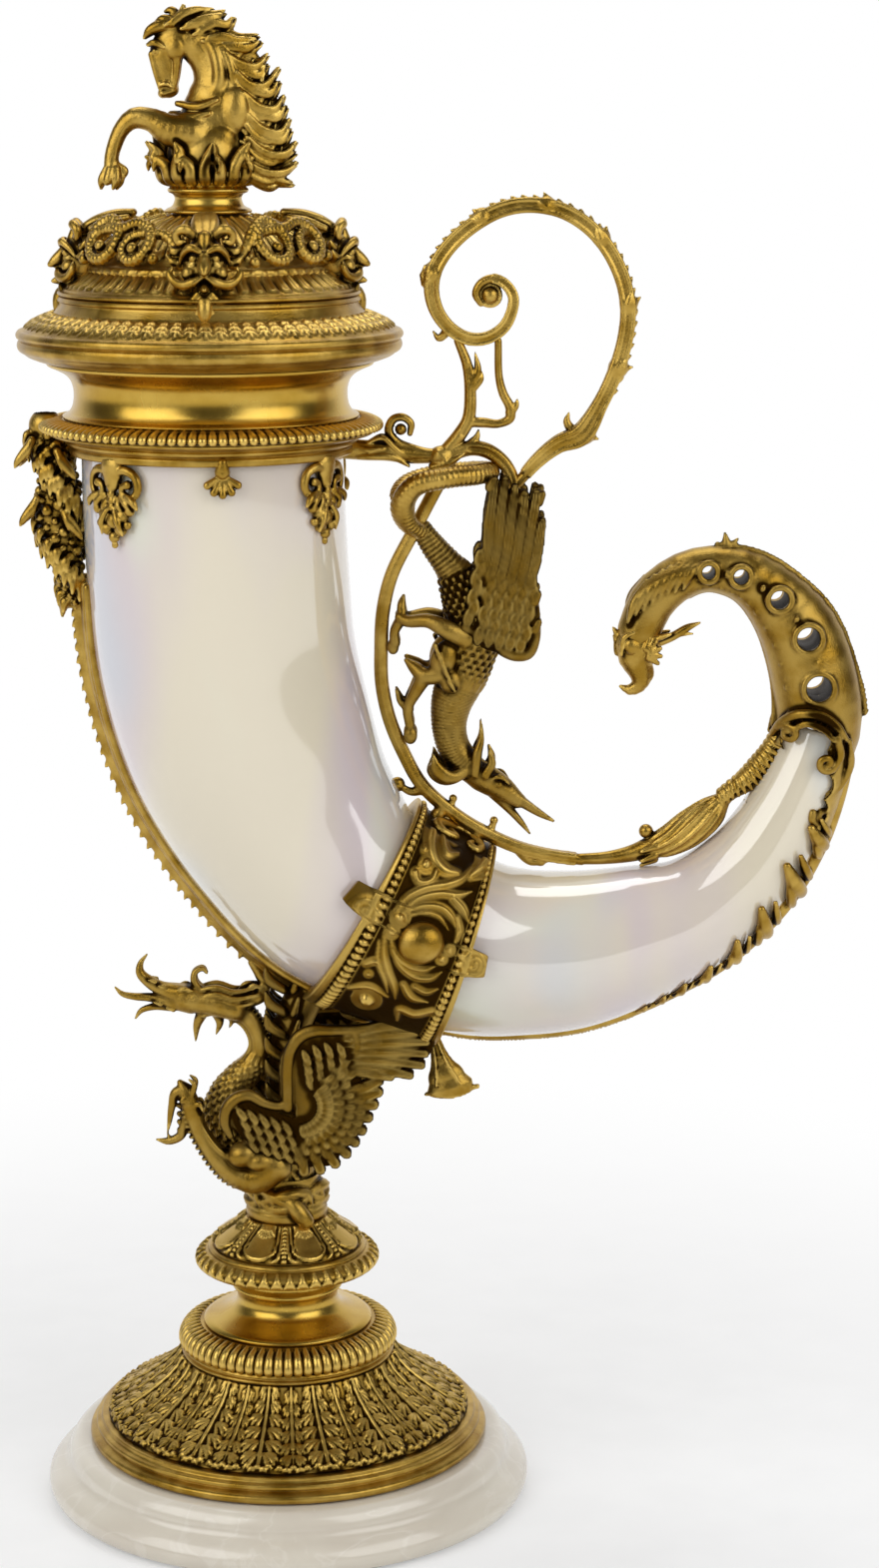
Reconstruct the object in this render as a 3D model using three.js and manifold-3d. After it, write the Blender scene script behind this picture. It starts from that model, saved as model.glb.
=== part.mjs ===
// A covered cornucopia vase: a hollow porcelain horn in cast and gilded brass mounts, held up by
// winged dragons on a turned foot and a marble plinth. Millimetres, +Z up. The origin is the centre
// of the felt pad's underside, X runs from the vase's mouth to the horn's tip, and -Y is the front.
import * as THREE from "three";
import { mergeVertices } from "three/addons/utils/BufferGeometryUtils.js";
import Module from "manifold-3d";

const wasm = await Module();
wasm.setup();

// Fits and walls
const FIT = 0.3; // the gap between two pieces that seat on each other
const ROD_PLAY = 0.8; // the tie rod in the turned foot
const LID_PLAY = 0.6; // the lid's spigot in the neck
const PORCELAIN_WALL = 4;
const CUFF_WALL = 6.2;
const FERRULE_WALL = 2.4;
const SLEEVE_WALL = 2;
const BRASS_WALL = 3.4;

// Heights of the turned foot's pieces, in order from the table
const FELT_H = 1.5;
const MARBLE_H = 21.6;
const MOLDING_H = 9.7;
const FOOT_DOME_H = 24;
const GADROON_H = 13.2;
const SPOOL_H = 22;
const LEAF_COLLAR_H = 10.6;
const TONGUE_DOME_H = 11.8;
const KNOT_H = 14.2;

// Radii of the turned foot
const MARBLE_R = 99.5;
const MARBLE_TOP_R = 84.5;
const MOLDING_R = 82;
const FOOT_DOME_R = 74.6;
const ACANTHUS_LEAVES = 20;
const FOOT_DOME_TOP_R = 43;
const GADROON_R = 44.6;
const SPOOL_FOOT_R = 34.8;
const SPOOL_R = 20.6;
const LEAF_COLLAR_R = 39;
const TONGUE_DOME_R = 30.5;
const KNOT_R = 16.6;

// The tie rod, its nut and washer, and the well for them under the marble
const ROD_R = 4;
const ROD_IN_DRAGON = 17;
const NUT_H = 5.5;
const NUT_R = 7.5;
const WASHER_H = 1.6;
const WASHER_R = 12;
const WELL_R = 14.5;
const WELL_H = 9.5;

// The mouth: band, bead ring and neck, all round one upright axis
const MOUTH_X = -26.5;
const MOUTH_Z = 306; // the porcelain's top edge above the knot
const BAND_H = 9.4;
const BAND_OVERLAP = 8; // how far the band reaches down over the porcelain
const BEAD_H = 4.9;
const NECK_H = 21.4;
const BAND_R = 54.8;
const BEAD_R = 66.5;
const NECK_R = 54.6;
const NECK_TOP_R = 57.5;
const NECK_BORE_R = 49;

// The lid
const LID_R = 74.8;
const FLANGE_H = 25.1;
const FLANGE_SLOPE_W = 15.3;
const FLANGE_TOP_R = LID_R - FLANGE_SLOPE_W;
const SPIGOT_H = 13;
const DOME_H = 31;
const DOME_STEP_W = 10.5;
const DOME_R = FLANGE_TOP_R - DOME_STEP_W;
const PEDESTAL_H = 12.6;
const PEDESTAL_R = 12.7;
const STUD_R = 2.5;
const STUD_NUT_R = 6;
const STUD_NUT_H = 4;

// The horn's line in x and z above the knot, with its radius, from the mouth to the tip
const HORN = [
  [MOUTH_X, MOUTH_Z, 51],
  [-25.8, 280, 51.5],
  [-24.5, 250, 51.7],
  [-21.7, 217.5, 51.5],
  [-12.2, 182, 50],
  [2.7, 150.6, 45.7],
  [22.6, 124.6, 41.8],
  [52.7, 108, 38.3],
  [76.9, 98.5, 36],
  [97, 96.3, 33.7],
  [117.3, 97.6, 32.1],
  [142.2, 103.9, 28.2],
  [166.3, 113.4, 23.2],
  [186.5, 130.8, 19.9],
  [200.9, 153.4, 16.8],
  [209.6, 173.8, 14.5],
];
// Places along that line, counted in its points
const CUFF_FROM = 6.4;
const CUFF_TO = 7.75;
const HORN_JOINT = 7.1;
const SLEEVE_REACH = 0.4;
const FERRULE_FROM = 14.2;
const HORN_END = 15;
const BEAD_BORDER = 0.12;
const BEAD_RISE = 1.4;

// The pierced curl that closes the horn
const CURL = [
  [208.6, 171.5, 16],
  [215.6, 190, 16.4],
  [213.5, 211.5, 16.4],
  [206.4, 230.4, 15.6],
  [199.4, 240.4, 14.1],
  [187.8, 249.1, 12.1],
  [177.5, 252.7, 10.2],
  [167.6, 252.7, 9.4],
  [157.8, 249.5, 9],
  [145.7, 240.4, 9.4],
  [141.1, 228.4, 8.6],
];
const CURL_HOLES = [
  [168.4, 252.3, 2.9],
  [181.1, 250.7, 3.2],
  [196.2, 242, 3.9],
  [207.6, 226.8, 4.8],
  [212.1, 207.1, 5.3],
];

// Handle stock
const ROD_BAR_R = 3;
const LOOP_R = 3.8;
const VOLUTE_R = 2.7;
const BRACE_R = 2.6;

const GILT = finish(0xb08a3c, 0.38, 1);
const POLISHED = finish(0xcf9f3f, 0.2, 1);
const PORCELAIN = finish(0xeee4da, 0.12, 0);
const MARBLE = finish(0xe9e2d6, 0.25, 0);
const STEEL = finish(0x8d8f92, 0.4, 1);
const FELT = finish(0x24382c, 1, 0);
const CORK = finish(0xa8875a, 0.8, 0);

function finish(color, roughness, metalness) {
  return new THREE.MeshStandardMaterial({ color, roughness, metalness });
}

// Solids and booleans
function solid(geometry) {
  const bare = new THREE.BufferGeometry().setAttribute("position", geometry.getAttribute("position"));
  bare.setIndex(geometry.index);
  const merged = mergeVertices(bare, 1e-3);
  const index = Array.from(merged.index.array);
  const faces = [];
  for (let i = 0; i < index.length; i += 3) {
    const [a, b, c] = index.slice(i, i + 3);
    if (a !== b && b !== c && c !== a) faces.push(a, b, c);
  }
  const build = (triVerts) =>
    new wasm.Manifold(
      new wasm.Mesh({
        numProp: 3,
        vertProperties: merged.getAttribute("position").array,
        triVerts: new Uint32Array(triVerts),
      }),
    );
  const shape = build(faces);
  return shape.volume() > 0 ? shape : build(faces.reverse());
}

function geometryOf(shape) {
  const mesh = shape.getMesh();
  const geometry = new THREE.BufferGeometry();
  geometry.setAttribute("position", new THREE.BufferAttribute(mesh.vertProperties.slice(), 3));
  geometry.setIndex(new THREE.BufferAttribute(mesh.triVerts.slice(), 1));
  geometry.computeVertexNormals();
  return geometry;
}

function union(...shapes) {
  return shapes.flat().reduce((all, shape) => all.add(shape));
}

// What is left of a casting once its neighbours are taken out of it: its one main piece.
function fitted(shape, ...neighbours) {
  const rest = neighbours.flat().reduce((left, neighbour) => left.subtract(neighbour), shape);
  return rest.decompose().reduce((a, b) => (a.volume() > b.volume() ? a : b));
}

// The stack of turned pieces from one height up, each seated a fit above the last.
function stack(from, heights) {
  let z = from;
  return heights.map((height) => {
    const level = { z, height };
    z += height + FIT;
    return level;
  });
}

// Ribs on every second column of a lathe's points, at its section's corners from one to another
function raiseRibs(lathe, corners, { from, to, rise }) {
  const points = lathe.attributes.position;
  for (let i = 0; i < points.count; i++) {
    const corner = i % corners;
    if (corner < from || corner > to) continue;
    const side = Math.floor(i / corners) % 2 ? -1 : 1;
    const grown = 1 + (0.5 * side * rise) / Math.hypot(points.getX(i), points.getZ(i));
    points.setX(i, points.getX(i) * grown);
    points.setZ(i, points.getZ(i) * grown);
  }
}

// A ring turned about an upright axis: its section is a closed list of radius and share of height.
function turned(level, section, { x = 0, sides = 24, grow = 0, ribs } = {}) {
  const at = section.map(([r, share]) => new THREE.Vector2(r, level.z + share * level.height));
  const n = at.length;
  const moved = at.map((p, i) => {
    const before = at[(i + n - 1) % n];
    const after = at[(i + 1) % n];
    const a = new THREE.Vector2(p.y - before.y, before.x - p.x).normalize();
    const b = new THREE.Vector2(after.y - p.y, p.x - after.x).normalize();
    const mean = a.add(b).normalize();
    return p.clone().addScaledVector(mean, grow);
  });
  const lathe = new THREE.LatheGeometry([...moved, moved[0]], sides);
  if (ribs) raiseRibs(lathe, n + 1, ribs);
  return solid(lathe.rotateX(Math.PI / 2).translate(x, 0, 0));
}

function upright(r, from, to, { x = 0, sides = 16 } = {}) {
  const post = new THREE.CylinderGeometry(r, r, to - from, sides).rotateX(Math.PI / 2);
  return solid(post.translate(x, 0, (from + to) / 2));
}

function ball([x, y, z], [rx, ry, rz], grow = 0) {
  const geometry = new THREE.SphereGeometry(1, 8, 6).rotateX(Math.PI / 2);
  return solid(geometry.scale(rx + grow, ry + grow, rz + grow).translate(x, y, z));
}

// A line through points given as x and z in the middle plane, or as x, y and z.
function line(points, radii) {
  const at = points.map((p) => (p.length === 2 ? new THREE.Vector3(p[0], 0, p[1]) : new THREE.Vector3(...p)));
  const all = Array.isArray(radii) ? radii : points.map(() => radii);
  return { curve: new THREE.CatmullRomCurve3(at, false, "centripetal"), radii: all };
}

// The centre, radius and directions of a line at a place counted in its points.
function station({ curve, radii }, place, across = new THREE.Vector3(0, 1, 0)) {
  const last = radii.length - 1;
  const t = THREE.MathUtils.clamp(place / last, 0, 1);
  const i = Math.min(Math.floor(t * last), last - 1);
  const along = curve.getTangent(t);
  const side = across.clone().addScaledVector(along, -across.dot(along)).normalize();
  return {
    centre: curve.getPoint(t),
    r: THREE.MathUtils.lerp(radii[i], radii[i + 1], t * last - i),
    along,
    side,
    inward: new THREE.Vector3().crossVectors(along, side),
  };
}

// The places at which a bar from one place to another is built, with how far its sides grow there.
function evenSteps(from, to, perSpan, grow) {
  const places = [from];
  for (let k = Math.floor(from * perSpan) + 1; k < to * perSpan - 1e-6; k++) places.push(k / perSpan);
  places.push(to);
  return places.map((place) => [place, grow]);
}

// A round or flat bar along a line. Its sides grow outward, and its ends run past by some length.
function bar(path, options = {}) {
  const { from = 0, to = path.radii.length - 1, perSpan = 1, depth = 1 } = options;
  const { grow = 0, past = Math.max(grow, 0), steps = evenSteps(from, to, perSpan, grow) } = options;
  const sides = options.sides ?? (Math.max(...path.radii) > 5 ? 8 : 6);
  const at = [];
  let across;
  steps.forEach(([place, rise], i) => {
    const { centre, r, along, side, inward } = station(path, place, across);
    across = side;
    if (i === 0) centre.addScaledVector(along, -past);
    if (i === steps.length - 1) centre.addScaledVector(along, past);
    for (let j = 0; j < sides; j++) {
      const a = (2 * Math.PI * j) / sides;
      const point = centre.clone().addScaledVector(side, Math.cos(a) * (r * depth + rise));
      at.push(...point.addScaledVector(inward, Math.sin(a) * (r + rise)));
    }
  });
  const faces = [];
  const top = (steps.length - 1) * sides;
  for (let i = 0; i < top; i += sides)
    for (let j = 0; j < sides; j++) {
      const [a, b] = [i + j, i + ((j + 1) % sides)];
      faces.push(a, b, b + sides, a, b + sides, a + sides);
    }
  for (let j = 1; j < sides - 1; j++) faces.push(0, j + 1, j, top, top + j, top + j + 1);
  const geometry = new THREE.BufferGeometry();
  geometry.setAttribute("position", new THREE.Float32BufferAttribute(at, 3));
  geometry.setIndex(faces);
  return solid(geometry);
}

const bars = (paths, options) => union(paths.map((path) => bar(path, options)));

// A line that follows the horn's outer or inner side at some distance from its surface.
function alongHorn(from, to, distance, radii) {
  const outer = distance < 0 ? -1 : 1;
  const points = radii.map((_, i) => {
    const at = station(hornLine, THREE.MathUtils.lerp(from, to, i / (radii.length - 1)));
    return at.centre.addScaledVector(at.inward, outer * at.r + distance).toArray();
  });
  return line(points, radii);
}

// A leaf or wing of even thickness: a closed outline in x and z, at some y.
function leaf(outline, y, thickness) {
  const corners = outline.map(([x, z]) => new THREE.Vector2(x, z));
  const round = new THREE.SplineCurve([...corners, corners[0]]).getPoints(corners.length * 2);
  const geometry = new THREE.ExtrudeGeometry(new THREE.Shape(round.slice(0, -1)), {
    depth: thickness,
    bevelEnabled: false,
  });
  return solid(indexed(geometry.translate(0, 0, -thickness / 2).rotateX(Math.PI / 2).translate(0, y, 0)));
}

function indexed(geometry) {
  geometry.setIndex([...Array(geometry.getAttribute("position").count).keys()]);
  return geometry;
}

const group = new THREE.Group();
const overKnot = new THREE.Group();
group.add(overKnot);

function place(parent, name, shape, material) {
  const mesh = new THREE.Mesh(geometryOf(shape), material);
  mesh.name = name;
  parent.add(mesh);
}

// The turned foot, and the rod that draws it together
const rodBore = ROD_R + ROD_PLAY;
const [felt, marble, molding, footDome, gadroon, spool, leafCollar, tongueDome, knot] = stack(0, [
  FELT_H,
  MARBLE_H,
  MOLDING_H,
  FOOT_DOME_H,
  GADROON_H,
  SPOOL_H,
  LEAF_COLLAR_H,
  TONGUE_DOME_H,
  KNOT_H,
]);
const knotTop = knot.z + knot.height;
overKnot.position.z = knotTop;

function turnedFoot() {
  place(group, "felt_pad", upright(MARBLE_R - 5, felt.z, felt.z + felt.height, { sides: 32 }), FELT);

  const wellTop = WELL_H / MARBLE_H;
  const marbleSection = [
    [WELL_R, 0],
    [MARBLE_R - 1.5, 0],
    [MARBLE_R, 0.2],
    [MARBLE_R - 2.6, 0.48],
    [MARBLE_R - 8, 0.62],
    [MARBLE_R - 9.4, 0.86],
    [MARBLE_TOP_R, 1],
    [rodBore, 1],
    [rodBore, wellTop],
    [WELL_R, wellTop],
  ];
  place(group, "marble_plinth", turned(marble, marbleSection, { sides: 32 }), MARBLE);

  const moldingSection = [
    [FOOT_DOME_R - 14, 0],
    [MOLDING_R - 1, 0],
    [MOLDING_R, 0.18],
    [MOLDING_R - 0.8, 0.42],
    [MOLDING_R - 3.4, 0.5],
    [MOLDING_R - 3.4, 0.8],
    [FOOT_DOME_R + 1.4, 1],
    [FOOT_DOME_R - 14, 1],
  ];
  place(group, "foot_molding", turned(molding, moldingSection, { sides: 28 }), GILT);

  const fall = FOOT_DOME_R - FOOT_DOME_TOP_R;
  const outside = [
    [FOOT_DOME_R, 0],
    [FOOT_DOME_R - 0.14 * fall, 0.12],
    [FOOT_DOME_R - 0.46 * fall, 0.4],
    [FOOT_DOME_R - 0.76 * fall, 0.69],
    [FOOT_DOME_TOP_R, 1],
  ];
  const inside = outside.slice(0, -1).map(([r, share]) => [r - 2 * BRASS_WALL, Math.min(share, 0.8)]);
  const footDomeSection = [...outside, [rodBore, 1], [rodBore, 0.84], ...inside.reverse()];
  const leaves = { sides: 2 * ACANTHUS_LEAVES, ribs: { from: 1, to: 3, rise: 2.2 } };
  place(group, "foot_dome", turned(footDome, footDomeSection, leaves), GILT);

  const gadroonSection = [
    [rodBore, 0],
    [FOOT_DOME_TOP_R - 0.6, 0],
    [FOOT_DOME_TOP_R - 0.6, 0.16],
    [GADROON_R, 0.45],
    [GADROON_R - 1.6, 0.78],
    [SPOOL_FOOT_R + 1.4, 1],
    [rodBore, 1],
  ];
  place(group, "gadroon_ring", turned(gadroon, gadroonSection), GILT);

  const spoolSection = [
    [rodBore, 0],
    [SPOOL_FOOT_R, 0],
    [SPOOL_FOOT_R - 0.6, 0.1],
    [SPOOL_R + 5, 0.22],
    [SPOOL_R + 0.4, 0.38],
    [SPOOL_R, 0.58],
    [SPOOL_R + 1.8, 0.7],
    [SPOOL_R + 0.4, 0.84],
    [SPOOL_R + 2.4, 1],
    [rodBore, 1],
  ];
  place(group, "spool", turned(spool, spoolSection), POLISHED);

  const leafCollarSection = [
    [rodBore, 0],
    [SPOOL_R + 2.4, 0],
    [SPOOL_R + 9, 0.14],
    [LEAF_COLLAR_R - 1.6, 0.28],
    [LEAF_COLLAR_R, 0.44],
    [LEAF_COLLAR_R - 1.4, 0.62],
    [TONGUE_DOME_R + 1.6, 0.86],
    [TONGUE_DOME_R + 1, 1],
    [rodBore, 1],
  ];
  place(group, "leaf_collar", turned(leafCollar, leafCollarSection), GILT);

  const tongueSection = [
    [rodBore, 0],
    [TONGUE_DOME_R, 0],
    [TONGUE_DOME_R - 0.8, 0.16],
    [TONGUE_DOME_R - 6, 0.46],
    [KNOT_R + 2.4, 0.8],
    [KNOT_R - 0.6, 1],
    [rodBore, 1],
  ];
  place(group, "tongue_dome", turned(tongueDome, tongueSection, { sides: 20 }), GILT);

  const knotSection = [
    [rodBore, 0],
    [KNOT_R - 0.6, 0],
    [KNOT_R - 0.6, 0.26],
    [KNOT_R - 2, 0.4],
    [KNOT_R, 0.7],
    [KNOT_R - 1, 1],
    [rodBore, 1],
  ];
  place(group, "tail_knot", turned(knot, knotSection, { sides: 20 }), GILT);

  const [washerLevel, nutLevel] = stack(0, [WASHER_H, NUT_H]);
  const wellCeiling = marble.z + WELL_H;
  const nutTop = wellCeiling - FIT - washerLevel.height - FIT;
  const hexHole = (ROD_R + FIT) / Math.cos(Math.PI / 6);
  const ring = (inner, outer) => [
    [inner, 0],
    [outer, 0],
    [outer, 1],
    [inner, 1],
  ];
  const washerAt = { z: wellCeiling - FIT - washerLevel.height, height: washerLevel.height };
  const nutAt = { z: nutTop - nutLevel.height, height: nutLevel.height };
  place(group, "base_washer", turned(washerAt, ring(rodBore, WASHER_R), { sides: 20 }), STEEL);
  place(group, "base_nut", turned(nutAt, ring(hexHole, NUT_R), { sides: 6 }), STEEL);
  place(group, "tie_rod", upright(ROD_R, nutAt.z, knotTop + ROD_IN_DRAGON, { sides: 12 }), STEEL);
}

// The porcelain horn in two lengths, with the sleeve and the plug inside its joint
const hornLine = line(
  HORN.map(([x, z]) => [x, z]),
  HORN.map(([, , r]) => r),
);
const JOINT_GAP = 0.012; // the gap at the joint, as a share of the length between two points there
const HORN_SIDES = 20;

// The horn's whole length, thicker or thinner than its outside by some growth
function wholeHorn(grow, past = Math.max(grow, 0)) {
  return bar(hornLine, { grow, past, sides: HORN_SIDES });
}

// What lies between two places on the horn's line
function between(shape, from, to) {
  return shape.intersect(bar(hornLine, { from, to, grow: 3 * PORCELAIN_WALL, past: 0, sides: HORN_SIDES }));
}

const aroundHorn = wholeHorn(FIT);

function horn() {
  const pipe = wholeHorn(0).subtract(wholeHorn(-PORCELAIN_WALL, 1));
  place(overKnot, "horn_upper", between(pipe, 0, HORN_JOINT - JOINT_GAP / 2), PORCELAIN);
  place(overKnot, "horn_lower", between(pipe, HORN_JOINT + JOINT_GAP / 2, HORN_END), PORCELAIN);

  const outside = -PORCELAIN_WALL - FIT;
  const [from, to] = [HORN_JOINT - SLEEVE_REACH, HORN_JOINT + SLEEVE_REACH];
  const tube = wholeHorn(outside).subtract(wholeHorn(outside - SLEEVE_WALL));
  place(overKnot, "joint_sleeve", between(tube, from, to), POLISHED);
  place(overKnot, "cork_plug", between(wholeHorn(outside - SLEEVE_WALL - FIT), from, HORN_JOINT), CORK);
}

// The cuff over the joint, with a beaded border at each end and a cartouche on each face
function cuffBody(grow = 0) {
  const outer = CUFF_WALL + grow;
  const step = 0.02;
  const [upperBorder, lowerBorder] = [CUFF_FROM + BEAD_BORDER, CUFF_TO - BEAD_BORDER];
  const steps = [
    [CUFF_FROM, outer + BEAD_RISE],
    [upperBorder, outer + BEAD_RISE],
    [upperBorder + step, outer],
    [Math.round(HORN_JOINT), outer],
    [lowerBorder - step, outer],
    [lowerBorder, outer + BEAD_RISE],
    [CUFF_TO, outer + BEAD_RISE],
  ];
  return bar(hornLine, { steps, past: grow, sides: HORN_SIDES });
}

function cuff() {
  place(overKnot, "cuff", cuffBody().subtract(aroundHorn), GILT);
  const { centre, r } = station(hornLine, (CUFF_FROM + CUFF_TO) / 2);
  const boss = (side) => ball([centre.x, side * (r + CUFF_WALL), centre.z], [12, 4.5, 14]);
  const open = cuffBody(FIT);
  place(overKnot, "cartouche_front", fitted(boss(-1), open), GILT);
  place(overKnot, "cartouche_back", fitted(boss(1), open), GILT);
}

// The pierced curl with its ferrule over the horn's end, and the bird's head that it ends in
const curlLine = line(
  CURL.map(([x, z]) => [x, z]),
  CURL.map(([, , r]) => r),
);

function curlBody(grow = 0) {
  return union(
    bar(curlLine, { grow, sides: 12 }),
    between(wholeHorn(FERRULE_WALL + grow), FERRULE_FROM - (grow ? JOINT_GAP : 0), HORN_END),
  );
}

function headOnCurl(grow = 0) {
  return union(
    ball([140, 0, 221], [9, 7.5, 9.5], grow),
    bar(line([[140, 216], [142, 208], [140.5, 202.6], [137, 201]], [6, 4.4, 2.6, 1]), { grow }),
    bar(line([[144, 217], [147, 210.5], [145, 206]], [4, 2.2, 0.8]), { grow }),
    bar(line([[144, 221], [153, 224.5], [160, 228.4], [166, 231]], [4.5, 2.8, 2.2, 0.8]), { grow }),
    bar(line([[134, 222], [131.5, 227], [131, 233]], [3.5, 2.4, 0.8]), { grow }),
  );
}

function curl() {
  const holes = CURL_HOLES.map(([x, z, r]) =>
    solid(new THREE.CylinderGeometry(r, r, 60, 8).translate(x, 0, z)),
  );
  place(overKnot, "tip_curl", fitted(curlBody(), aroundHorn, holes), GILT);
  place(overKnot, "tip_bird_head", fitted(headOnCurl(), bar(curlLine, { grow: FIT, sides: 12 })), GILT);
}

// The leaf strips along the horn
const keelLine = alongHorn(2.1, 6.6, -3.4, [4.5, 5.5, 5.5, 6.5, 5.5, 5.5, 5, 5]);
const keel = (grow = 0) => bar(keelLine, { grow, depth: 0.55 });
const outerLine = alongHorn(CUFF_TO + 0.06, 14.5, -0.8, [4.2, 3.8, 3.2, 3, 4.6, 6, 6.4, 5.6, 3]);

function leafStrips() {
  const cluster = union(
    ball([-89, 0, 297], [8, 9, 10]),
    ball([-88, 0, 281], [9, 12, 12]),
    ball([-86, 0, 263], [8, 9, 12]),
    ball([-82, 0, 248], [5.5, 6, 9]),
  );
  const ringRoom = [mouthRing(band, bandSection, FIT), mouthRing(beads, beadSection, FIT)];
  place(overKnot, "grape_cluster", fitted(cluster, aroundHorn, ringRoom, keel(FIT)), GILT);
  place(overKnot, "keel_strip", fitted(keel(), aroundHorn, cuffBody(FIT)), GILT);

  place(overKnot, "outer_leaf", fitted(bar(outerLine), aroundHorn, curlBody(FIT), cuffBody(FIT)), GILT);

  const over = alongHorn(10.2, 14.5, 1, [2.6, 4.5, 5.4, 5.4, 5.4, 4.5, 3]);
  const underRod = alongHorn(CUFF_TO + 0.06, 10.4, 0.2, [2.6, 2.4, 2.4, 2.6]);
  const overLeaf = union(bar(over), bar(underRod, { depth: 2.2 }));
  place(overKnot, "inner_leaf", fitted(overLeaf, aroundHorn, curlBody(FIT), cuffBody(FIT), rod(FIT)), GILT);
}

// The dragons under the horn
const SNECK = [
  [-12, 11],
  [-22, 10],
  [-28.5, 18],
  [-28.8, 29],
  [-23.3, 38],
  [-15.8, 45.6],
  [-10.2, 55],
  [-11, 65],
  [-17.5, 73],
  [-27, 78],
  [-36, 80.5],
  [-45, 80.5],
  [-52, 84],
];
const WING = [
  [0, 49],
  [3.5, 58],
  [11, 62],
  [27, 63.5],
  [56.6, 69.5],
  [56.5, 49],
  [48, 42.5],
  [37, 41],
  [35, 31],
  [31, 20],
  [22, 7],
  [-5.6, 5],
  [-17, 16],
  [-24, 29],
  [-18, 34.5],
  [-5.3, 30.5],
  [1, 36],
];
const WING_Y = 16;
const WING_T = 5;

function dragonBody(grow = 0) {
  return union(
    ball([0, 0, 17], [20, 14, 14], grow),
    upright(KNOT_R - 1.5 + grow, FIT - grow, 12),
    bar(line(SNECK, [8, 7, 5.6, 5.2, 5, 5, 5, 5.2, 5.5, 6, 6.8, 6, 3.4]), { grow }),
    bar(line([[-48, 83], [-55.5, 87], [-55.4, 95]], [3, 1.9, 0.8]), { grow }),
    bar(line([[-45, 77.5], [-57, 77], [-67, 80.5]], [3, 2.1, 0.9]), { grow }),
    bar(line([[-33, 76], [-37, 67], [-36.3, 59.5]], [6.5, 3.8, 0.8]), { grow }),
    bar(line([[-30, 83], [-31, 88], [-36, 91]], [3, 2, 0.8]), { grow }),
  );
}

function saddle(grow = 0) {
  return bar(line([[2, 18], [-1, 45], [5, 70], [13, 88]], [9, 8.5, 11, 13]), { grow, sides: 10, depth: 0.9 });
}

function dragons() {
  const cuffRoom = cuffBody(FIT);
  const socket = upright(ROD_R + FIT, 0, ROD_IN_DRAGON + FIT, { sides: 12 });
  place(overKnot, "foot_dragon", fitted(dragonBody(), socket, aroundHorn, keel(FIT), cuffRoom), GILT);
  const room = [dragonBody(FIT), aroundHorn, keel(FIT), cuffRoom];
  place(overKnot, "saddle_bracket", fitted(saddle(), room), GILT);

  const wingRoom = [...room, saddle(FIT)];
  place(overKnot, "foot_dragon_wing_front", fitted(leaf(WING, -WING_Y, WING_T), wingRoom), GILT);
  place(overKnot, "foot_dragon_wing_back", fitted(leaf(WING, WING_Y, WING_T), wingRoom), GILT);

  const young = union(
    bar(
      line([[-10, -9, 10], [-21, -12, 4], [-31, -12, 9], [-36, -11, 19], [-42, -11, 28]], [6, 5.5, 5, 5, 6.5]),
    ),
    bar(line([[-41, -11, 28], [-47, -11, 22], [-52, -11, 16]], [6.5, 3.6, 1])),
    bar(line([[-41, -11, 31], [-44, -11, 36], [-42.5, -11, 41]], [4.4, 2.6, 0.8])),
  );
  place(overKnot, "young_dragon", fitted(young, room, wideWing(-1)), GILT);

  const fan = bar(line([[55, 66], [60, 55], [64, 45], [68, 38.5]], [3.6, 3, 5, 10]), { depth: 0.5 });
  const fanRoom = [cuffRoom, aroundHorn, wideWing(-1), wideWing(1), bar(outerLine, { grow: FIT })];
  place(overKnot, "tail_fan", fitted(fan, fanRoom), GILT);
}

function wideWing(side) {
  return leaf(WING, side * WING_Y, WING_T + 2 * FIT);
}

// The handle: a bowed rod, a loop that ends in a volute, and the brace between them
const rodLine = line(
  [
    [66.5, 293.5],
    [60.3, 282.3],
    [52.6, 267.5],
    [44, 250.4],
    [40.4, 235.5],
    [39.6, 220],
    [39.9, 206.5],
    [42.8, 192.4],
    [48.5, 178.3],
    [55.9, 165.2],
    [68.8, 153.4],
    [81.6, 145.4],
    [94.6, 139.6],
    [106, 136.6],
    [119.8, 134.6],
  ],
  ROD_BAR_R,
);

function rod(grow = 0) {
  const feet = [
    line([[64, 156], [60.5, 150.5]], [2.4, 3]),
    line([[79, 147], [74.5, 139.5]], [2.4, 3]),
    line([[66, 154], [69.6, 160]], [2.2, 1.6]),
    line([[82, 144.5], [85.6, 150]], [2.2, 1.6]),
  ];
  return union(bar(rodLine, { grow }), bars(feet, { grow }));
}

const loopLine = line(
  [
    [95, 286.5],
    [102, 296],
    [110, 302.4],
    [119.6, 308.2],
    [127, 319.6],
    [132, 330.5],
    [135.2, 342.3],
    [136, 354],
    [133.8, 365.7],
    [127.8, 377.5],
    [119.5, 386.2],
    [109, 392],
    [96.9, 393.8],
    [86.4, 392],
    [75.7, 386.4],
    [66.6, 378.4],
    [61, 369.5],
    [59.8, 361.5],
    [61.7, 353.8],
    [66.4, 347.2],
    [73.5, 343],
    [81.1, 342.3],
    [87.9, 346.5],
    [91.2, 352.4],
    [92, 359],
    [88.6, 364.4],
    [83.6, 366.5],
    [78.5, 364.6],
    [76.3, 360],
    [78.6, 356],
  ],
  Array.from({ length: 30 }, (_, i) => (i < 20 ? LOOP_R : VOLUTE_R)),
);

function loop(grow = 0) {
  const eye = ball([82.4, 0, 359], [4.2, 3.4, 4.2], grow);
  return union(bar(loopLine, { grow }), eye);
}

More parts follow.
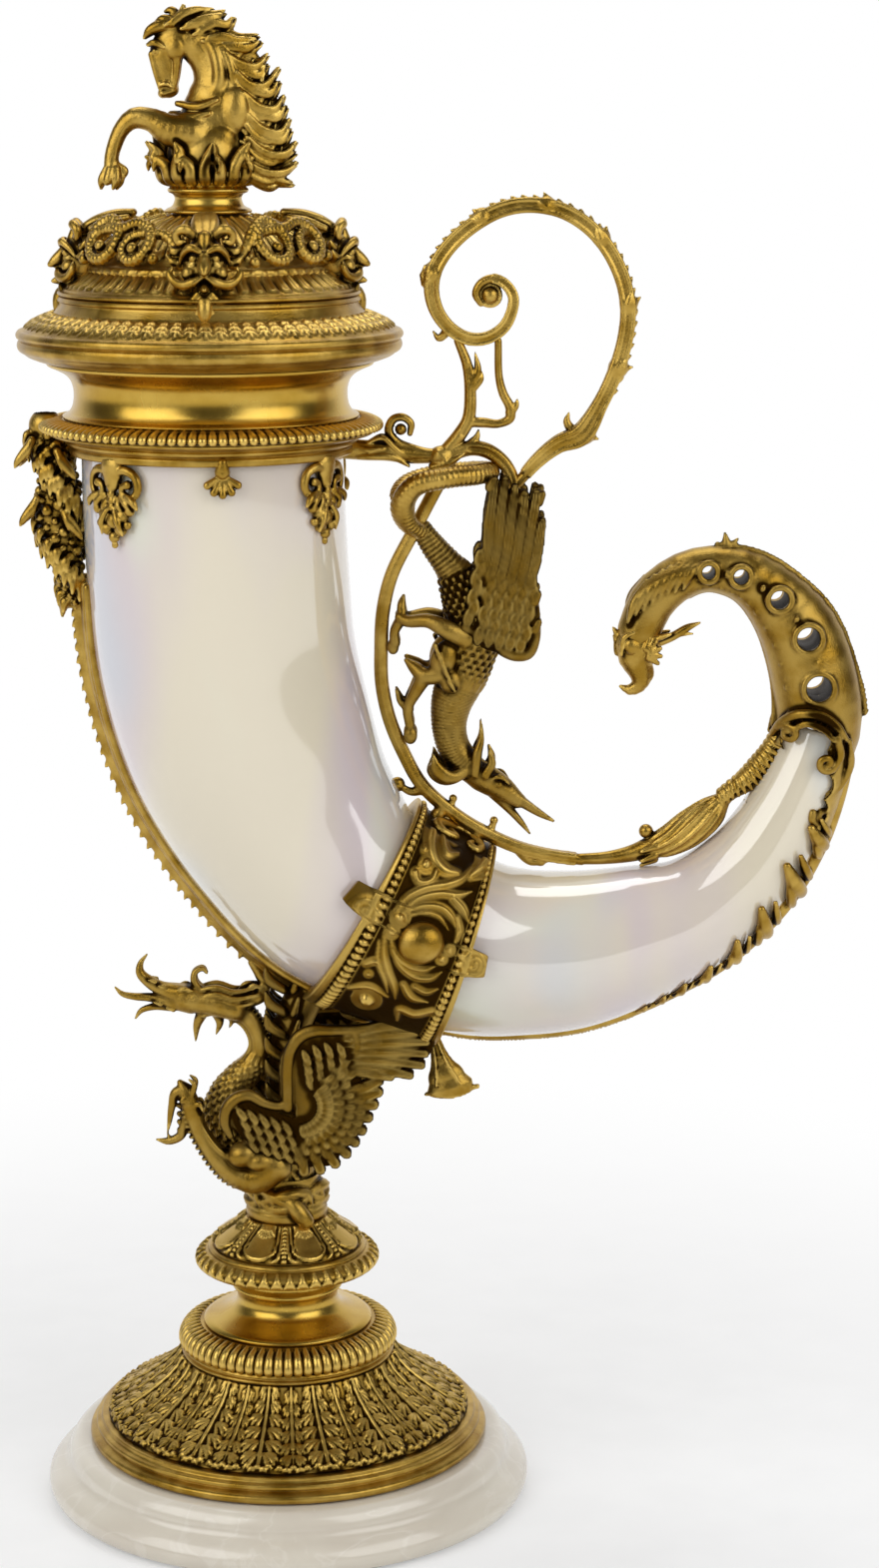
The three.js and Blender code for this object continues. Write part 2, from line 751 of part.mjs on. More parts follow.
function brace(grow = 0) {
  return bars(
    [
      line([[93, 284], [90, 291], [83, 296.4], [75.3, 298], [65.1, 296]], BRACE_R),
      line([[63, 297], [70.2, 305.2], [73, 312], [73, 324.6], [71, 333.1], [68, 342]], [2.6, 2.8, 2.6, 3, 3.6, 3]),
      line([[73.4, 310.3], [82.9, 309.6], [88.4, 310.2], [91, 314], [88.8, 319.6], [86, 326.3], [85.6, 342]], 2.2),
    ],
    { grow },
  );
}

function collarScroll(grow = 0) {
  return bars(
    [
      line([[26, 300], [34, 298.4], [42, 297.4], [50.2, 296.2], [58, 297.2], [64, 298.4]], [4, 3, 2.8, 2.6, 2.6, 2.4]),
      line([[39, 298.5], [42.6, 303.8], [44.4, 309.4], [48.4, 310.6], [50.4, 307.4], [47.8, 305.4]], 1.7),
    ],
    { grow },
  );
}

function handle() {
  place(overKnot, "handle_rod", fitted(rod(), cuffBody(FIT), aroundHorn), GILT);
  place(overKnot, "handle_loop", loop(), GILT);
  place(overKnot, "handle_brace", fitted(brace(), loop(FIT), rod(FIT)), GILT);
  const rings = [mouthRing(band, bandSection, FIT), mouthRing(beads, beadSection, FIT)];
  place(overKnot, "collar_scroll", fitted(collarScroll(), rings, brace(FIT), rod(FIT), aroundHorn), GILT);
}

// The dragon that climbs down the handle
const CLIMBING_WING = [
  [84, 288],
  [94, 287],
  [102, 282],
  [102.4, 265],
  [100.4, 243],
  [101.5, 231],
  [96, 219],
  [84, 222],
  [74, 232],
  [77, 250],
  [81.5, 265],
  [80.7, 280],
];
const CLIMBING_WING_Y = 8.5;

function climber(grow = 0) {
  return bars(
    [
      line(
        [[55.5, 269], [65, 257], [74, 244], [75, 224], [73, 209], [66, 195.5], [66.4, 182], [74, 172], [84, 164.5]],
        [3.4, 7, 10, 10.5, 8.5, 5.5, 5, 5.6, 5.4],
      ),
      line([[82, 170], [95, 161], [108, 151]], [6, 4.6, 1.2]),
      line([[83, 163], [91, 152], [98.5, 145.2]], [3.2, 2.2, 1]),
      line([[75, 173], [78, 183], [79.4, 191]], [3.4, 2.4, 0.8]),
      line([[72, 172], [65, 171], [59.5, 176]], [3, 2, 0.8]),
      line([[72, 230], [59.5, 223], [51, 231], [43.5, 235]], [6, 5, 3, 2.4]),
      line([[70, 214], [55, 214], [50, 201], [52, 188], [48, 183.5]], [5, 4, 2.8, 2.4, 2.2]),
    ],
    { grow },
  );
}

function climberTail(grow = 0) {
  const hoop = [
    [57, 0, 268],
    [50, -8, 274],
    [52, -15, 281],
    [66, -18, 286],
    [79, -11, 289],
    [82, 2, 290],
    [73, 13, 289],
    [59, 14, 287],
    [49, 6, 285],
    [46, -2, 284],
  ];
  return bar(line(hoop, [2.6, 3, 3, 3, 3, 3, 2.8, 2.4, 2, 1.2]), { grow });
}

function climbingDragon() {
  const rodRoom = rod(FIT);
  place(overKnot, "climbing_dragon", fitted(climber(), rodRoom, aroundHorn, cuffBody(FIT)), GILT);
  place(overKnot, "climbing_dragon_tail", fitted(climberTail(), climber(FIT), rodRoom, brace(FIT)), GILT);
  for (const [name, side] of [["front", -1], ["back", 1]]) {
    const wing = leaf(CLIMBING_WING, side * CLIMBING_WING_Y, 3.4);
    const shape = fitted(wing, climber(FIT), climberTail(FIT), rodRoom, loop(FIT), brace(FIT));
    place(overKnot, `climbing_dragon_wing_${name}`, shape, GILT);
  }
}

// The brass mouth of the vase
const [band, beads, neck] = stack(MOUTH_Z - BAND_OVERLAP, [BAND_H, BEAD_H, NECK_H]);
const mouthRing = (level, section, grow = 0) => turned(level, section, { x: MOUTH_X, grow });
const hornMouthR = HORN[0][2];
const ledge = (BAND_OVERLAP + FIT) / BAND_H;
const bandSection = [
  [hornMouthR + 3 * FIT, 0],
  [BAND_R + 0.8, 0],
  [BAND_R + 2, 0.3],
  [BAND_R + 6, 0.7],
  [BAND_R + 7.5, 1],
  [NECK_BORE_R, 1],
  [NECK_BORE_R, ledge],
  [hornMouthR + 3 * FIT, ledge],
];
const beadSection = [
  [NECK_BORE_R, 0],
  [BEAD_R - 1.6, 0],
  [BEAD_R, 0.3],
  [BEAD_R, 0.7],
  [BEAD_R - 1.6, 1],
  [NECK_BORE_R, 1],
];
const neckSection = [
  [NECK_BORE_R, 0],
  [BEAD_R - 4.5, 0],
  [BEAD_R - 6, 0.1],
  [NECK_R + 1.8, 0.28],
  [NECK_R, 0.55],
  [NECK_R + 0.6, 0.82],
  [NECK_TOP_R, 0.94],
  [NECK_TOP_R, 1],
  [NECK_BORE_R, 1],
];

// A drop of scrolls and fruit under the band, at an angle from the front
function pendant(angle, parts) {
  const a = THREE.MathUtils.degToRad(angle);
  const balls = parts.map(([out, z, r]) => {
    const reach = hornMouthR + out;
    return ball([MOUTH_X + reach * Math.sin(a), -reach * Math.cos(a), z], [r, r, r]);
  });
  return fitted(union(balls), aroundHorn, mouthRing(band, bandSection, FIT));
}

const PENDANT_ANGLES = { front_left: -41, front_right: 58, back_left: -139, back_right: 122 };
const SMALL_DROP_ANGLES = [8, 172];

function mouth() {
  const drops = SMALL_DROP_ANGLES.map((angle) => {
    const a = THREE.MathUtils.degToRad(angle);
    const reach = hornMouthR + 1.4;
    return ball([MOUTH_X + reach * Math.sin(a), -reach * Math.cos(a), band.z - 4], [7, 4, 8]);
  });
  const bore = upright(NECK_BORE_R, band.z, band.z + band.height + 1, { x: MOUTH_X, sides: 32 });
  const bandShape = fitted(union(mouthRing(band, bandSection), drops), aroundHorn, bore);
  place(overKnot, "collar_band", bandShape, GILT);
  place(overKnot, "bead_ring", mouthRing(beads, beadSection), GILT);
  place(overKnot, "neck", mouthRing(neck, neckSection), POLISHED);
  for (const [name, angle] of Object.entries(PENDANT_ANGLES)) {
    const parts = [
      [0, band.z - 8.5, 8],
      [0.6, band.z - 20, 6.5],
    ];
    place(overKnot, `pendant_${name}`, pendant(angle, parts), GILT);
  }
}

// The lid, with its finial
const neckTop = neck.z + neck.height;
const [flange, dome, pedestal, horse] = stack(neckTop + FIT, [FLANGE_H, DOME_H, PEDESTAL_H, 64.5]);
const spigotR = NECK_BORE_R - LID_PLAY;
const flangeSection = [
  [spigotR - BRASS_WALL, 0],
  [NECK_TOP_R, 0],
  [LID_R - 4.6, 0.15],
  [LID_R, 0.33],
  [LID_R - 1.6, 0.5],
  [LID_R - 6.6, 0.65],
  [FLANGE_TOP_R + 1.4, 0.76],
  [FLANGE_TOP_R - 0.2, 0.86],
  [FLANGE_TOP_R, 1],
  [FLANGE_TOP_R - BRASS_WALL, 1],
  [FLANGE_TOP_R - BRASS_WALL - 1.2, 0.62],
  [LID_R - 10, 0.33],
  [NECK_TOP_R, 0.2],
  [spigotR - BRASS_WALL, 0.15],
];
const DOME_CEILING = 0.89; // the height of the dome's inside at its middle, as a share of its own
const domeSection = [
  [FLANGE_TOP_R - BRASS_WALL - 1, 0],
  [FLANGE_TOP_R - 0.6, 0],
  [FLANGE_TOP_R - 0.6, 0.07],
  [FLANGE_TOP_R - 4, 0.1],
  [DOME_R - 2, 0.31],
  [DOME_R - 1.6, 0.39],
  [DOME_R - 5, 0.44],
  [DOME_R - 13, 0.72],
  [DOME_R - 25, 0.92],
  [PEDESTAL_R + 3.6, 1],
  [STUD_R + FIT, 1],
  [STUD_R + FIT, DOME_CEILING],
  [STUD_NUT_R + 1, DOME_CEILING],
  [DOME_R - 24, 0.8],
  [DOME_R - 9, 0.48],
  [DOME_R - 3, 0.1],
];
const DOME_LEAVES = { sides: 60, ribs: { from: 6, to: 8, rise: 1.4 } };
const MASK_R = DOME_R + 5;
const MASK_TURN = 2;

function mask(angle) {
  const a = THREE.MathUtils.degToRad(angle);
  const at = (r, z) => [MOUTH_X + r * Math.sin(a), -r * Math.cos(a), dome.z + z];
  return union(ball(at(MASK_R - 2, 11), [9, 9, 13.5]), ball(at(MASK_R + 3.5, 0), [5, 5, 6]));
}

function lid() {
  const onAxis = { x: MOUTH_X };
  place(overKnot, "lid_flange", turned(flange, flangeSection, onAxis), GILT);
  const spigot = { z: neckTop - SPIGOT_H, height: SPIGOT_H };
  const spigotSection = [
    [spigotR - BRASS_WALL, 0],
    [spigotR, 0],
    [spigotR, 1],
    [spigotR - BRASS_WALL, 1],
  ];
  place(overKnot, "locating_ring", turned(spigot, spigotSection, onAxis), GILT);
  const domeShape = { ...onAxis, ...DOME_LEAVES };
  place(overKnot, "lid_dome", turned(dome, domeSection, domeShape), GILT);

  const garland = { z: dome.z + 0.55 * dome.height, height: 16 };
  const garlandR = DOME_R - 10;
  const round = Array.from({ length: 8 }, (_, i) => {
    const a = (2 * Math.PI * i) / 8;
    return [garlandR + 8 * Math.cos(a), 0.5 + 0.5 * Math.sin(a)];
  });
  const domeRoom = turned(dome, domeSection, { ...domeShape, grow: FIT });
  const hollow = upright(DOME_R - 12, dome.z - 1, dome.z + 0.85 * dome.height, { x: MOUTH_X });
  place(overKnot, "snake_garland", fitted(turned(garland, round, onAxis), domeRoom, hollow), GILT);

  const garlandRoom = turned(garland, round, { ...onAxis, grow: FIT });
  const flangeRoom = turned(flange, flangeSection, { ...onAxis, grow: FIT });
  const inside = upright(DOME_R - 4, dome.z - 4, dome.z + 0.4 * dome.height, { x: MOUTH_X });
  for (const [name, angle] of [["front", 0], ["right", 90], ["back", 180], ["left", 270]]) {
    const shape = fitted(mask(angle + MASK_TURN), domeRoom, garlandRoom, flangeRoom, inside);
    place(overKnot, `mask_${name}`, shape, GILT);
  }

  const studBore = STUD_R + FIT;
  const pedestalSection = [
    [studBore, 0],
    [PEDESTAL_R + 3.6, 0],
    [PEDESTAL_R + 3, 0.16],
    [PEDESTAL_R, 0.34],
    [PEDESTAL_R, 0.62],
    [PEDESTAL_R + 1.7, 0.78],
    [PEDESTAL_R + 1.7, 1],
    [studBore, 1],
  ];
  place(overKnot, "pedestal", turned(pedestal, pedestalSection, { ...onAxis, sides: 20 }), POLISHED);
  const nutTop = dome.z + DOME_CEILING * dome.height - FIT;
  const hexHole = studBore / Math.cos(Math.PI / 6);
  const nutSection = [
    [hexHole, 0],
    [STUD_NUT_R, 0],
    [STUD_NUT_R, 1],
    [hexHole, 1],
  ];
  const nutAt = { z: nutTop - STUD_NUT_H, height: STUD_NUT_H };
  place(overKnot, "finial_nut", turned(nutAt, nutSection, { ...onAxis, sides: 6 }), STEEL);
  const studTop = horse.z + 14;
  place(overKnot, "finial_stud", upright(STUD_R, nutAt.z, studTop, { ...onAxis, sides: 10 }), STEEL);
  const socket = upright(studBore, horse.z - 1, studTop + FIT, { ...onAxis, sides: 12 });
  place(overKnot, "horse_finial", fitted(horseBust(), socket), GILT);
}

// A rearing horse's bust in a cup of leaves: x is from the lid's axis, z is from the cup's foot
function horseBust() {
  const at = (points) => points.map(([x, y, z]) => [MOUTH_X + x, y, horse.z + z]);
  const limb = (points, radii) => bar(line(at(points), radii));
  const cup = turned({ z: horse.z, height: 10 }, [[0, 0], [11, 0], [15, 0.5], [17, 1], [0, 1]], {
    x: MOUTH_X,
    sides: 16,
  });
  const mane = [
    [-17, 58],
    [-10, 64],
    [3, 63],
    [14, 57],
    [23, 48],
    [29, 37],
    [31, 25],
    [34, 12],
    [30, 0.4],
    [16, 1],
    [10, 22],
    [9, 42],
    [0, 52],
  ].map(([x, z]) => [MOUTH_X + x, horse.z + z]);
  return union(
    cup,
    limb([[0, 0, 4], [1, 0, 17], [2, 0, 29], [3, 0, 40], [-4, 0, 51], [-13, 0, 56]], [14, 14, 13, 10, 8, 6.4]),
    limb([[-13, 0, 56], [-19, 0, 47], [-17, 0, 38], [-15, 0, 33]], [6.6, 6, 4.4, 3.8]),
    limb([[-6, -6, 20], [-20, -7, 25.5], [-27, -7, 27], [-34, -7, 17], [-39, -7, 7], [-39.5, -7, -1]], [6, 4.4, 3.2, 2.2, 2, 2.8]),
    limb([[-6, 6, 20], [-19, 7, 19], [-24, 7, 13], [-18, 7, 8]], [5.5, 4.2, 2.8, 2.4]),
    leaf(mane, 0, 9),
  );
}

turnedFoot();
horn();
cuff();
curl();
leafStrips();
dragons();
handle();
climbingDragon();
mouth();
lid();

export default group;
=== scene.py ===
"""Looks of the cornucopia vase: cast and gilded mounts with their relief, the pearly porcelain horn,
the plinth, and the studio they are photographed in. Sculpture is written in millimetres."""

import bpy
import numpy as np
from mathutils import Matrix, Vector


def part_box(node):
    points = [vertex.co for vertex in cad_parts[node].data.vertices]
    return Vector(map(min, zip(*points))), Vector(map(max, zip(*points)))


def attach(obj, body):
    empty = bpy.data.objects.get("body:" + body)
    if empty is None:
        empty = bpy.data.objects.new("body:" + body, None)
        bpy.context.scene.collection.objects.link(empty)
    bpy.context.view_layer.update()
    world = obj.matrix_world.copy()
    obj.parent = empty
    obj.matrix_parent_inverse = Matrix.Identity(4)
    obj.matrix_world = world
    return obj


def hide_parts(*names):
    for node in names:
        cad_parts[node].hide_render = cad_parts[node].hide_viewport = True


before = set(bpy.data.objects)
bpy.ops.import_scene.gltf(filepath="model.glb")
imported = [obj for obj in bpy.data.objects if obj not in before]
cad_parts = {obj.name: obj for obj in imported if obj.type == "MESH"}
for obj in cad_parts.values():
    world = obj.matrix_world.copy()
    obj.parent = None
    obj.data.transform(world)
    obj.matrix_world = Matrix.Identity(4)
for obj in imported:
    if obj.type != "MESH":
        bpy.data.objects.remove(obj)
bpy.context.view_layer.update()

MM = 0.001
TAU = 2 * np.pi
KNOT_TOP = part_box("tail_knot")[1].z / MM  # heights of all that stands over the knot count from here
MOUTH_X = -26.5  # the upright axis of mouth and lid
MOUTH_BORE = 49.2  # inside radius of the brass mouth
ROD_BORE = 4.8  # radius of the hole for the tie rod, through the foot
STUD_BORE = 3.2  # radius of the hole for the finial's stud


# Lines through points, as the part's source draws them


class Line:
    """A smooth line through points given as x and z, or x, y and z, with a radius at each."""

    def __init__(self, points, radii=1.0):
        at = np.array([(p[0], 0, p[1]) if len(p) == 2 else p for p in points], float)
        r = np.broadcast_to(np.asarray(radii, float), len(at))
        self.values = np.column_stack([at, r])
        self.last = len(at) - 1

    def at(self, place):
        """Centres and radii at places counted in points."""
        place = np.atleast_1d(np.asarray(place, float))
        v = np.vstack([2 * self.values[0] - self.values[1], self.values,
                       2 * self.values[-1] - self.values[-2]])
        i = np.clip(np.floor(place).astype(int), 0, self.last - 1)
        w = (place - i)[:, None]
        p0, p1, p2, p3 = (v[i + k] for k in range(4))
        d0, d1, d2 = (
            np.sqrt(np.maximum(np.linalg.norm((b - a)[:, :3], axis=1), 1e-6))[:, None]
            for a, b in ((p0, p1), (p1, p2), (p2, p3))
        )
        t1 = ((p1 - p0) / d0 - (p2 - p0) / (d0 + d1) + (p2 - p1) / d1) * d1
        t2 = ((p2 - p1) / d1 - (p3 - p1) / (d1 + d2) + (p3 - p2) / d2) * d1
        out = p1 + w * (t1 + w * (-3 * p1 + 3 * p2 - 2 * t1 - t2 + w * (2 * p1 - 2 * p2 + t1 + t2)))
        return out[:, :3], out[:, 3]

    def even(self, step):
        """Points and radii along the whole line, about a step apart."""
        place = np.linspace(0, self.last, 12 * self.last + 1)
        at, _ = self.at(place)
        run = np.concatenate([[0], np.cumsum(np.linalg.norm(np.diff(at, axis=0), axis=1))])
        count = max(int(np.ceil(run[-1] / step)), 2)
        return self.at(np.interp(np.linspace(0, run[-1], count + 1), run, place))

    def frames(self, place):
        """Centres, radii, directions and inward directions at places, for a line in the middle plane."""
        at, r = self.at(place)
        ahead, _ = self.at(np.asarray(place) + 1e-3)
        behind, _ = self.at(np.asarray(place) - 1e-3)
        along = ahead - behind
        along /= np.linalg.norm(along, axis=1)[:, None]
        inward = np.column_stack([-along[:, 2], np.zeros(len(along)), along[:, 0]])
        return at, r, along, inward


# Clay: distances to a surface on a grid, shaped by strokes, then skinned

FAR = 6.0
CORNERS = np.array([[i, j, k] for i in (0, 1) for j in (0, 1) for k in (0, 1)])
EDGES = [(a, b) for a in range(8) for b in range(a + 1, 8) if np.abs(CORNERS[a] - CORNERS[b]).sum() == 1]


def soft_min(a, b, blend):
    """The lesser of two distances, with a fillet where they are close."""
    h = np.clip(0.5 + 0.5 * (b - a) / blend, 0, 1)
    return b + (a - b) * h - blend * h * (1 - h)


class Clay:
    """A block of clay between two corners. Each stroke adds to it, or cuts into it with cut=True."""

    def __init__(self, low, high, voxel=0.6):
        self.voxel = voxel
        self.side = 1
        self.low = np.asarray(low, float)
        count = np.ceil((np.asarray(high, float) - self.low) / voxel).astype(int) + 1
        self.field = np.full(count, FAR, np.float32)

    def _window(self, low, high):
        size = np.array(self.field.shape)
        a = np.clip(np.floor((low - self.low) / self.voxel).astype(int), 0, size)
        b = np.clip(np.ceil((high - self.low) / self.voxel).astype(int) + 1, 0, size)
        axes = [(self.low[i] + self.voxel * np.arange(a[i], b[i])).astype(np.float32) for i in range(3)]
        return tuple(slice(a[i], b[i]) for i in range(3)), axes

    def _put(self, window, distance, blend, cut):
        old = self.field[window]
        if cut:
            self.field[window] = -soft_min(-old, distance, max(blend, 1e-3))
        else:
            self.field[window] = soft_min(old, distance, max(blend, 1e-3))

    def sides(self):
        """This clay once for each side of the middle plane, with y counted outwards from it."""
        for self.side in (-1, 1):
            yield self
        self.side = 1

    def stroke(self, points, radii=1.0, blend=0.6, flat=1.0, up=(0, 1, 0), cut=False):
        """A round bar along a line, or one flattened to a share of its width in the direction up."""
        line = Line(points, radii)
        line.values[:, 1] *= self.side
        at, r = line.even(max(0.35 * np.max(radii), 0.5))
        r = np.maximum(r, 0.12)
        reach = r.max()
        up = np.asarray(up, float) / np.linalg.norm(up)
        stretch = np.eye(3) + (1 / flat - 1) * np.outer(up, up)
        margin = 3.0 + blend
        room = reach + margin + 0.01
        window, axes = self._window(at.min(0) - room, at.max(0) + room)
        if min(len(a) for a in axes) == 0:
            return
        found = np.full([len(a) for a in axes], FAR, np.float32)
        for i in range(len(at) - 1):
            a, b = at[i], at[i + 1]
            spread = max(r[i], r[i + 1]) + margin
            part, (x, y, z) = self._window(np.minimum(a, b) - spread, np.maximum(a, b) + spread)
            if min(len(x), len(y), len(z)) == 0:
                continue
            local = tuple(slice(p.start - w.start, p.stop - w.start) for p, w in zip(part, window))
            a2, d2 = stretch @ a, stretch @ (b - a)
            grids = np.meshgrid(x, y, z, indexing="ij", sparse=True)
            q = [sum(stretch[k, m] * grids[m] for m in range(3) if stretch[k, m]) - a2[k] for k in range(3)]
            t = np.clip(sum(q[k] * d2[k] for k in range(3)) / max(d2 @ d2, 1e-9), 0, 1)
            q = [q[k] - t * d2[k] for k in range(3)]
            length = np.sqrt(sum(c * c for c in q)) + 1e-6
            distance = length - (r[i] + (r[i + 1] - r[i]) * t)
            if flat != 1:
                pull = [sum(stretch[k, m] * q[m] for m in range(3) if stretch[k, m]) for k in range(3)]
                distance = distance * length / (np.sqrt(sum(c * c for c in pull)) + 1e-6)
            np.minimum(found[local], distance, out=found[local])
        self._put(window, found, blend, cut)

    def ball(self, centre, radii, blend=0.6, turn=0.0, cut=False):
        """An ellipsoid, turned in the middle plane by some degrees."""
        centre = np.multiply(centre, (1, self.side, 1))
        radii = np.broadcast_to(np.asarray(radii, float), 3)
        spread = radii.max() + 3.0 + blend
        window, (x, y, z) = self._window(centre - spread, centre + spread)
        if min(len(x), len(y), len(z)) == 0:
            return
        x, y, z = np.meshgrid(x - centre[0], y - centre[1], z - centre[2], indexing="ij", sparse=True)
        c, s = np.cos(np.radians(turn)), np.sin(np.radians(turn))
        q = [(x * c + z * s) / radii[0], y / radii[1], (z * c - x * s) / radii[2]]
        k0 = np.sqrt(sum(v * v for v in q)) + 1e-6
        k1 = np.sqrt(sum((v / w) ** 2 for v, w in zip(q, radii))) + 1e-6
        self._put(window, (k0 * (k0 - 1) / k1).astype(np.float32), blend, cut)

    def both_sides(self):
        """The same shape on both sides of the middle plane. The block's sides are as far from it."""
        self.field = np.minimum(self.field, self.field[:, ::-1, :])
        return self

    def skin(self):
        """Points and four-cornered faces on the surface, with how hollow and how proud it is there."""
        field, inside = self.field, self.field < 0
        n = field.shape
        total = np.zeros([s - 1 for s in n], np.uint8)
        for i, j, k in CORNERS:
            total += inside[i : n[0] - 1 + i, j : n[1] - 1 + j, k : n[2] - 1 + k]
        cells = np.argwhere((total > 0) & (total < 8))
        ids = np.full(total.shape, -1, np.int32)
        ids[tuple(cells.T)] = np.arange(len(cells))
        at = [field[tuple((cells + c).T)] for c in CORNERS]
        middle, hits = np.zeros((len(cells), 3), np.float32), np.zeros((len(cells), 1), np.float32)
        for a, b in EDGES:
            crosses = (at[a] < 0) != (at[b] < 0)
            t = np.where(crosses, at[a] / np.where(crosses, at[a] - at[b], 1), 0)[:, None]
            middle += crosses[:, None] * (CORNERS[a] + t * (CORNERS[b] - CORNERS[a]))
            hits += crosses[:, None]
        grid = cells + middle / hits
        faces = []
        for axis in range(3):
            one, two = [a for a in range(3) if a != axis]
            low = tuple(slice(0, -1) if a == axis else slice(None) for a in range(3))
            high = tuple(slice(1, None) if a == axis else slice(None) for a in range(3))
            edge = np.argwhere(inside[low] != inside[high])
            edge = edge[(edge[:, one] > 0) & (edge[:, two] > 0) & (edge[:, one] < n[one] - 1) & (edge[:,
                    two] < n[two] - 1)]
            e1, e2 = np.eye(3, dtype=int)[one], np.eye(3, dtype=int)[two]
            ring = np.column_stack([ids[tuple((edge - d).T)] for d in (0 * e1, e1, e1 + e2, e2)])
            out = inside[tuple(edge.T)] == (axis == 1)
            ring[out] = ring[out][:, ::-1]
            faces.append(ring)
        slope = np.stack(np.gradient(field), -1)
        normal = sample(slope, grid)
        normal /= np.linalg.norm(normal, axis=1)[:, None] + 1e-9
        step = 1.1 / self.voxel
        # how hollow each point lies, which the gilt paints as shade, and how proud, which it paints as
        # highlight
        hollow = np.clip(1 - sample(field, grid + step * normal) / 1.1, 0, 1)
        wide = np.clip(1 - sample(field, grid + 2 * step * normal) / 2.2, 0, 1)
        proud = np.clip(1 + sample(field, grid - step * normal) / 1.1, 0, 1)
        return Skin(self.low + self.voxel * grid, np.vstack(faces), np.maximum(hollow, wide), proud)


def sample(values, grid):
    """Values on a grid, read between its points."""
    top = np.array(values.shape[:3]) - 1.001
    grid = np.clip(grid, 0, top)
    i = grid.astype(int)
    w = grid - i
    out = 0
    for c in CORNERS:
        share = np.prod(np.where(c, w, 1 - w), axis=1)
        found = values[tuple((i + c).T)]
        out = out + (found * share[:, None] if found.ndim == 2 else found * share)
    return out


class Skin:
    """A surface before it is a Blender mesh: points in millimetres, faces, and its hollows and ridges."""

    def __init__(self, points, faces, hollow=None, proud=None):
        self.points, self.faces = points, faces
        self.hollow = np.zeros(len(points)) if hollow is None else hollow
        self.proud = np.zeros(len(points)) if proud is None else proud

    def moved(self, turn=0.0, shift=(0, 0, 0), flip=False):
        """A copy turned about the upright axis by some degrees, then shifted, or mirrored in y."""
        c, s = np.cos(np.radians(turn)), np.sin(np.radians(turn))
        p = self.points * (1, -1 if flip else 1, 1)
        p = np.column_stack([c * p[:, 0] - s * p[:, 1], s * p[:, 0] + c * p[:, 1], p[:, 2]]) + shift
        return Skin(p, self.faces[:, ::-1] if flip else self.faces, self.hollow, self.proud)

    def darkened(self, share):
        """The same skin, darker all over: its hollow share, which the gilt paints as shade, is raised
        everywhere.
        """
        return Skin(self.points, self.faces, np.clip(self.hollow + share, 0, 1), self.proud)

    def joined(self, *others):
        """One skin of this and others, which stay separate shells."""
        points, faces, start = [self.points], [self.faces], len(self.points)
        for other in others:
            points.append(other.points)
            faces.append(other.faces + start)
            start += len(other.points)
        hollow = np.concatenate([s.hollow for s in (self, *others)])
        proud = np.concatenate([s.proud for s in (self, *others)])
        return Skin(np.vstack(points), np.vstack(faces), hollow, proud)


def sheet(points, wrap=(True, True), hollow=None, proud=None):
    """A skin over a table of points, rows by columns, closed round in either direction."""
    rows, columns = points.shape[:2]
    i, j = np.meshgrid(np.arange(rows - (not wrap[0])), np.arange(columns - (not wrap[1])), indexing="ij")
    a = i * columns + j
    b = i * columns + (j + 1) % columns
    c = ((i + 1) % rows) * columns + (j + 1) % columns
    d = ((i + 1) % rows) * columns + j
    faces = np.stack([a, b, c, d], -1).reshape(-1, 4)
    flat = points.reshape(-1, 3)
    corner = [flat[faces[:, k]] for k in range(4)]
    volume = np.einsum("ij,ij->", corner[0], np.cross(corner[1],
                                                      corner[2]) + np.cross(corner[2], corner[3]))
    more = [None if v is None else np.asarray(v).reshape(-1) for v in (hollow, proud)]
    return Skin(flat, faces if volume > 0 else faces[:, ::-1], *more)


def piece(name, skin, node, slot="gilt_cast", body="vase", lift=KNOT_TOP):
    """The Blender object of a skin, in the place of a CAD node, riding on its body."""
    mesh = bpy.data.meshes.new(name)
    points = (skin.points + (0, 0, lift)) * MM
    sides = skin.faces.shape[1]
    mesh.vertices.add(len(points))
    mesh.vertices.foreach_set("co", points.astype(np.float32).ravel())
    mesh.loops.add(skin.faces.size)
    mesh.loops.foreach_set("vertex_index", skin.faces.astype(np.int32).ravel())
    mesh.polygons.add(len(skin.faces))
    mesh.polygons.foreach_set("loop_start", np.arange(0, skin.faces.size, sides, dtype=np.int32))
    mesh.update(calc_edges=True)
    mesh.validate()
    mesh.shade_smooth()
    for label, values in (("hollow", skin.hollow), ("proud", skin.proud)):
        layer = mesh.attributes.new(label, "FLOAT", "POINT")
        layer.data.foreach_set("value", np.asarray(values, np.float32))
    made = bpy.data.objects.new(name, mesh)
    bpy.context.scene.collection.objects.link(made)
    made.data.materials.append(FINISH[slot])
    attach(made, body)
    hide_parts(node)
    return made


# Turned pieces


def rounded(corners, fine=5):
    """A closed section of corners, each a radius, a height and a fillet, with its fillets drawn."""
    at = np.array([(c[0], c[1]) for c in corners], float)
    fillets = [c[2] if len(c) > 2 else 0.3 for c in corners]
    out = []
    for i, p in enumerate(at):
        before, after = at[i - 1] - p, at[(i + 1) % len(at)] - p
        reach = min(fillets[i], 0.48 * np.linalg.norm(before), 0.48 * np.linalg.norm(after))
        if reach < 0.05:
            out.append(p)
            continue
        a = p + before / np.linalg.norm(before) * reach
        b = p + after / np.linalg.norm(after) * reach
        for t in np.linspace(0, 1, fine):
            out.append((1 - t) ** 2 * a + 2 * t * (1 - t) * p + t * t * b)
    return np.array(out)


def turned(section, sides=160, x=0.0):
    """A section of radii and heights, turned about the upright axis at x."""
    a = np.linspace(0, TAU, sides, endpoint=False)
    r, z = section[:, 0][:, None], section[:, 1][:, None]
    points = np.stack([x + r * np.cos(a), r * np.sin(a), z + 0 * a], -1)
    return sheet(points)


def levels(section, z, height):
    """Corners whose heights are shares of a piece's height."""
    return rounded([(c[0], z + c[1] * height, *c[2:]) for c in section])


def outline(points, step=0.5):
    """Radii and heights along a smooth curve through points."""
    return Line(points).even(step)[0][:, [0, 2]]


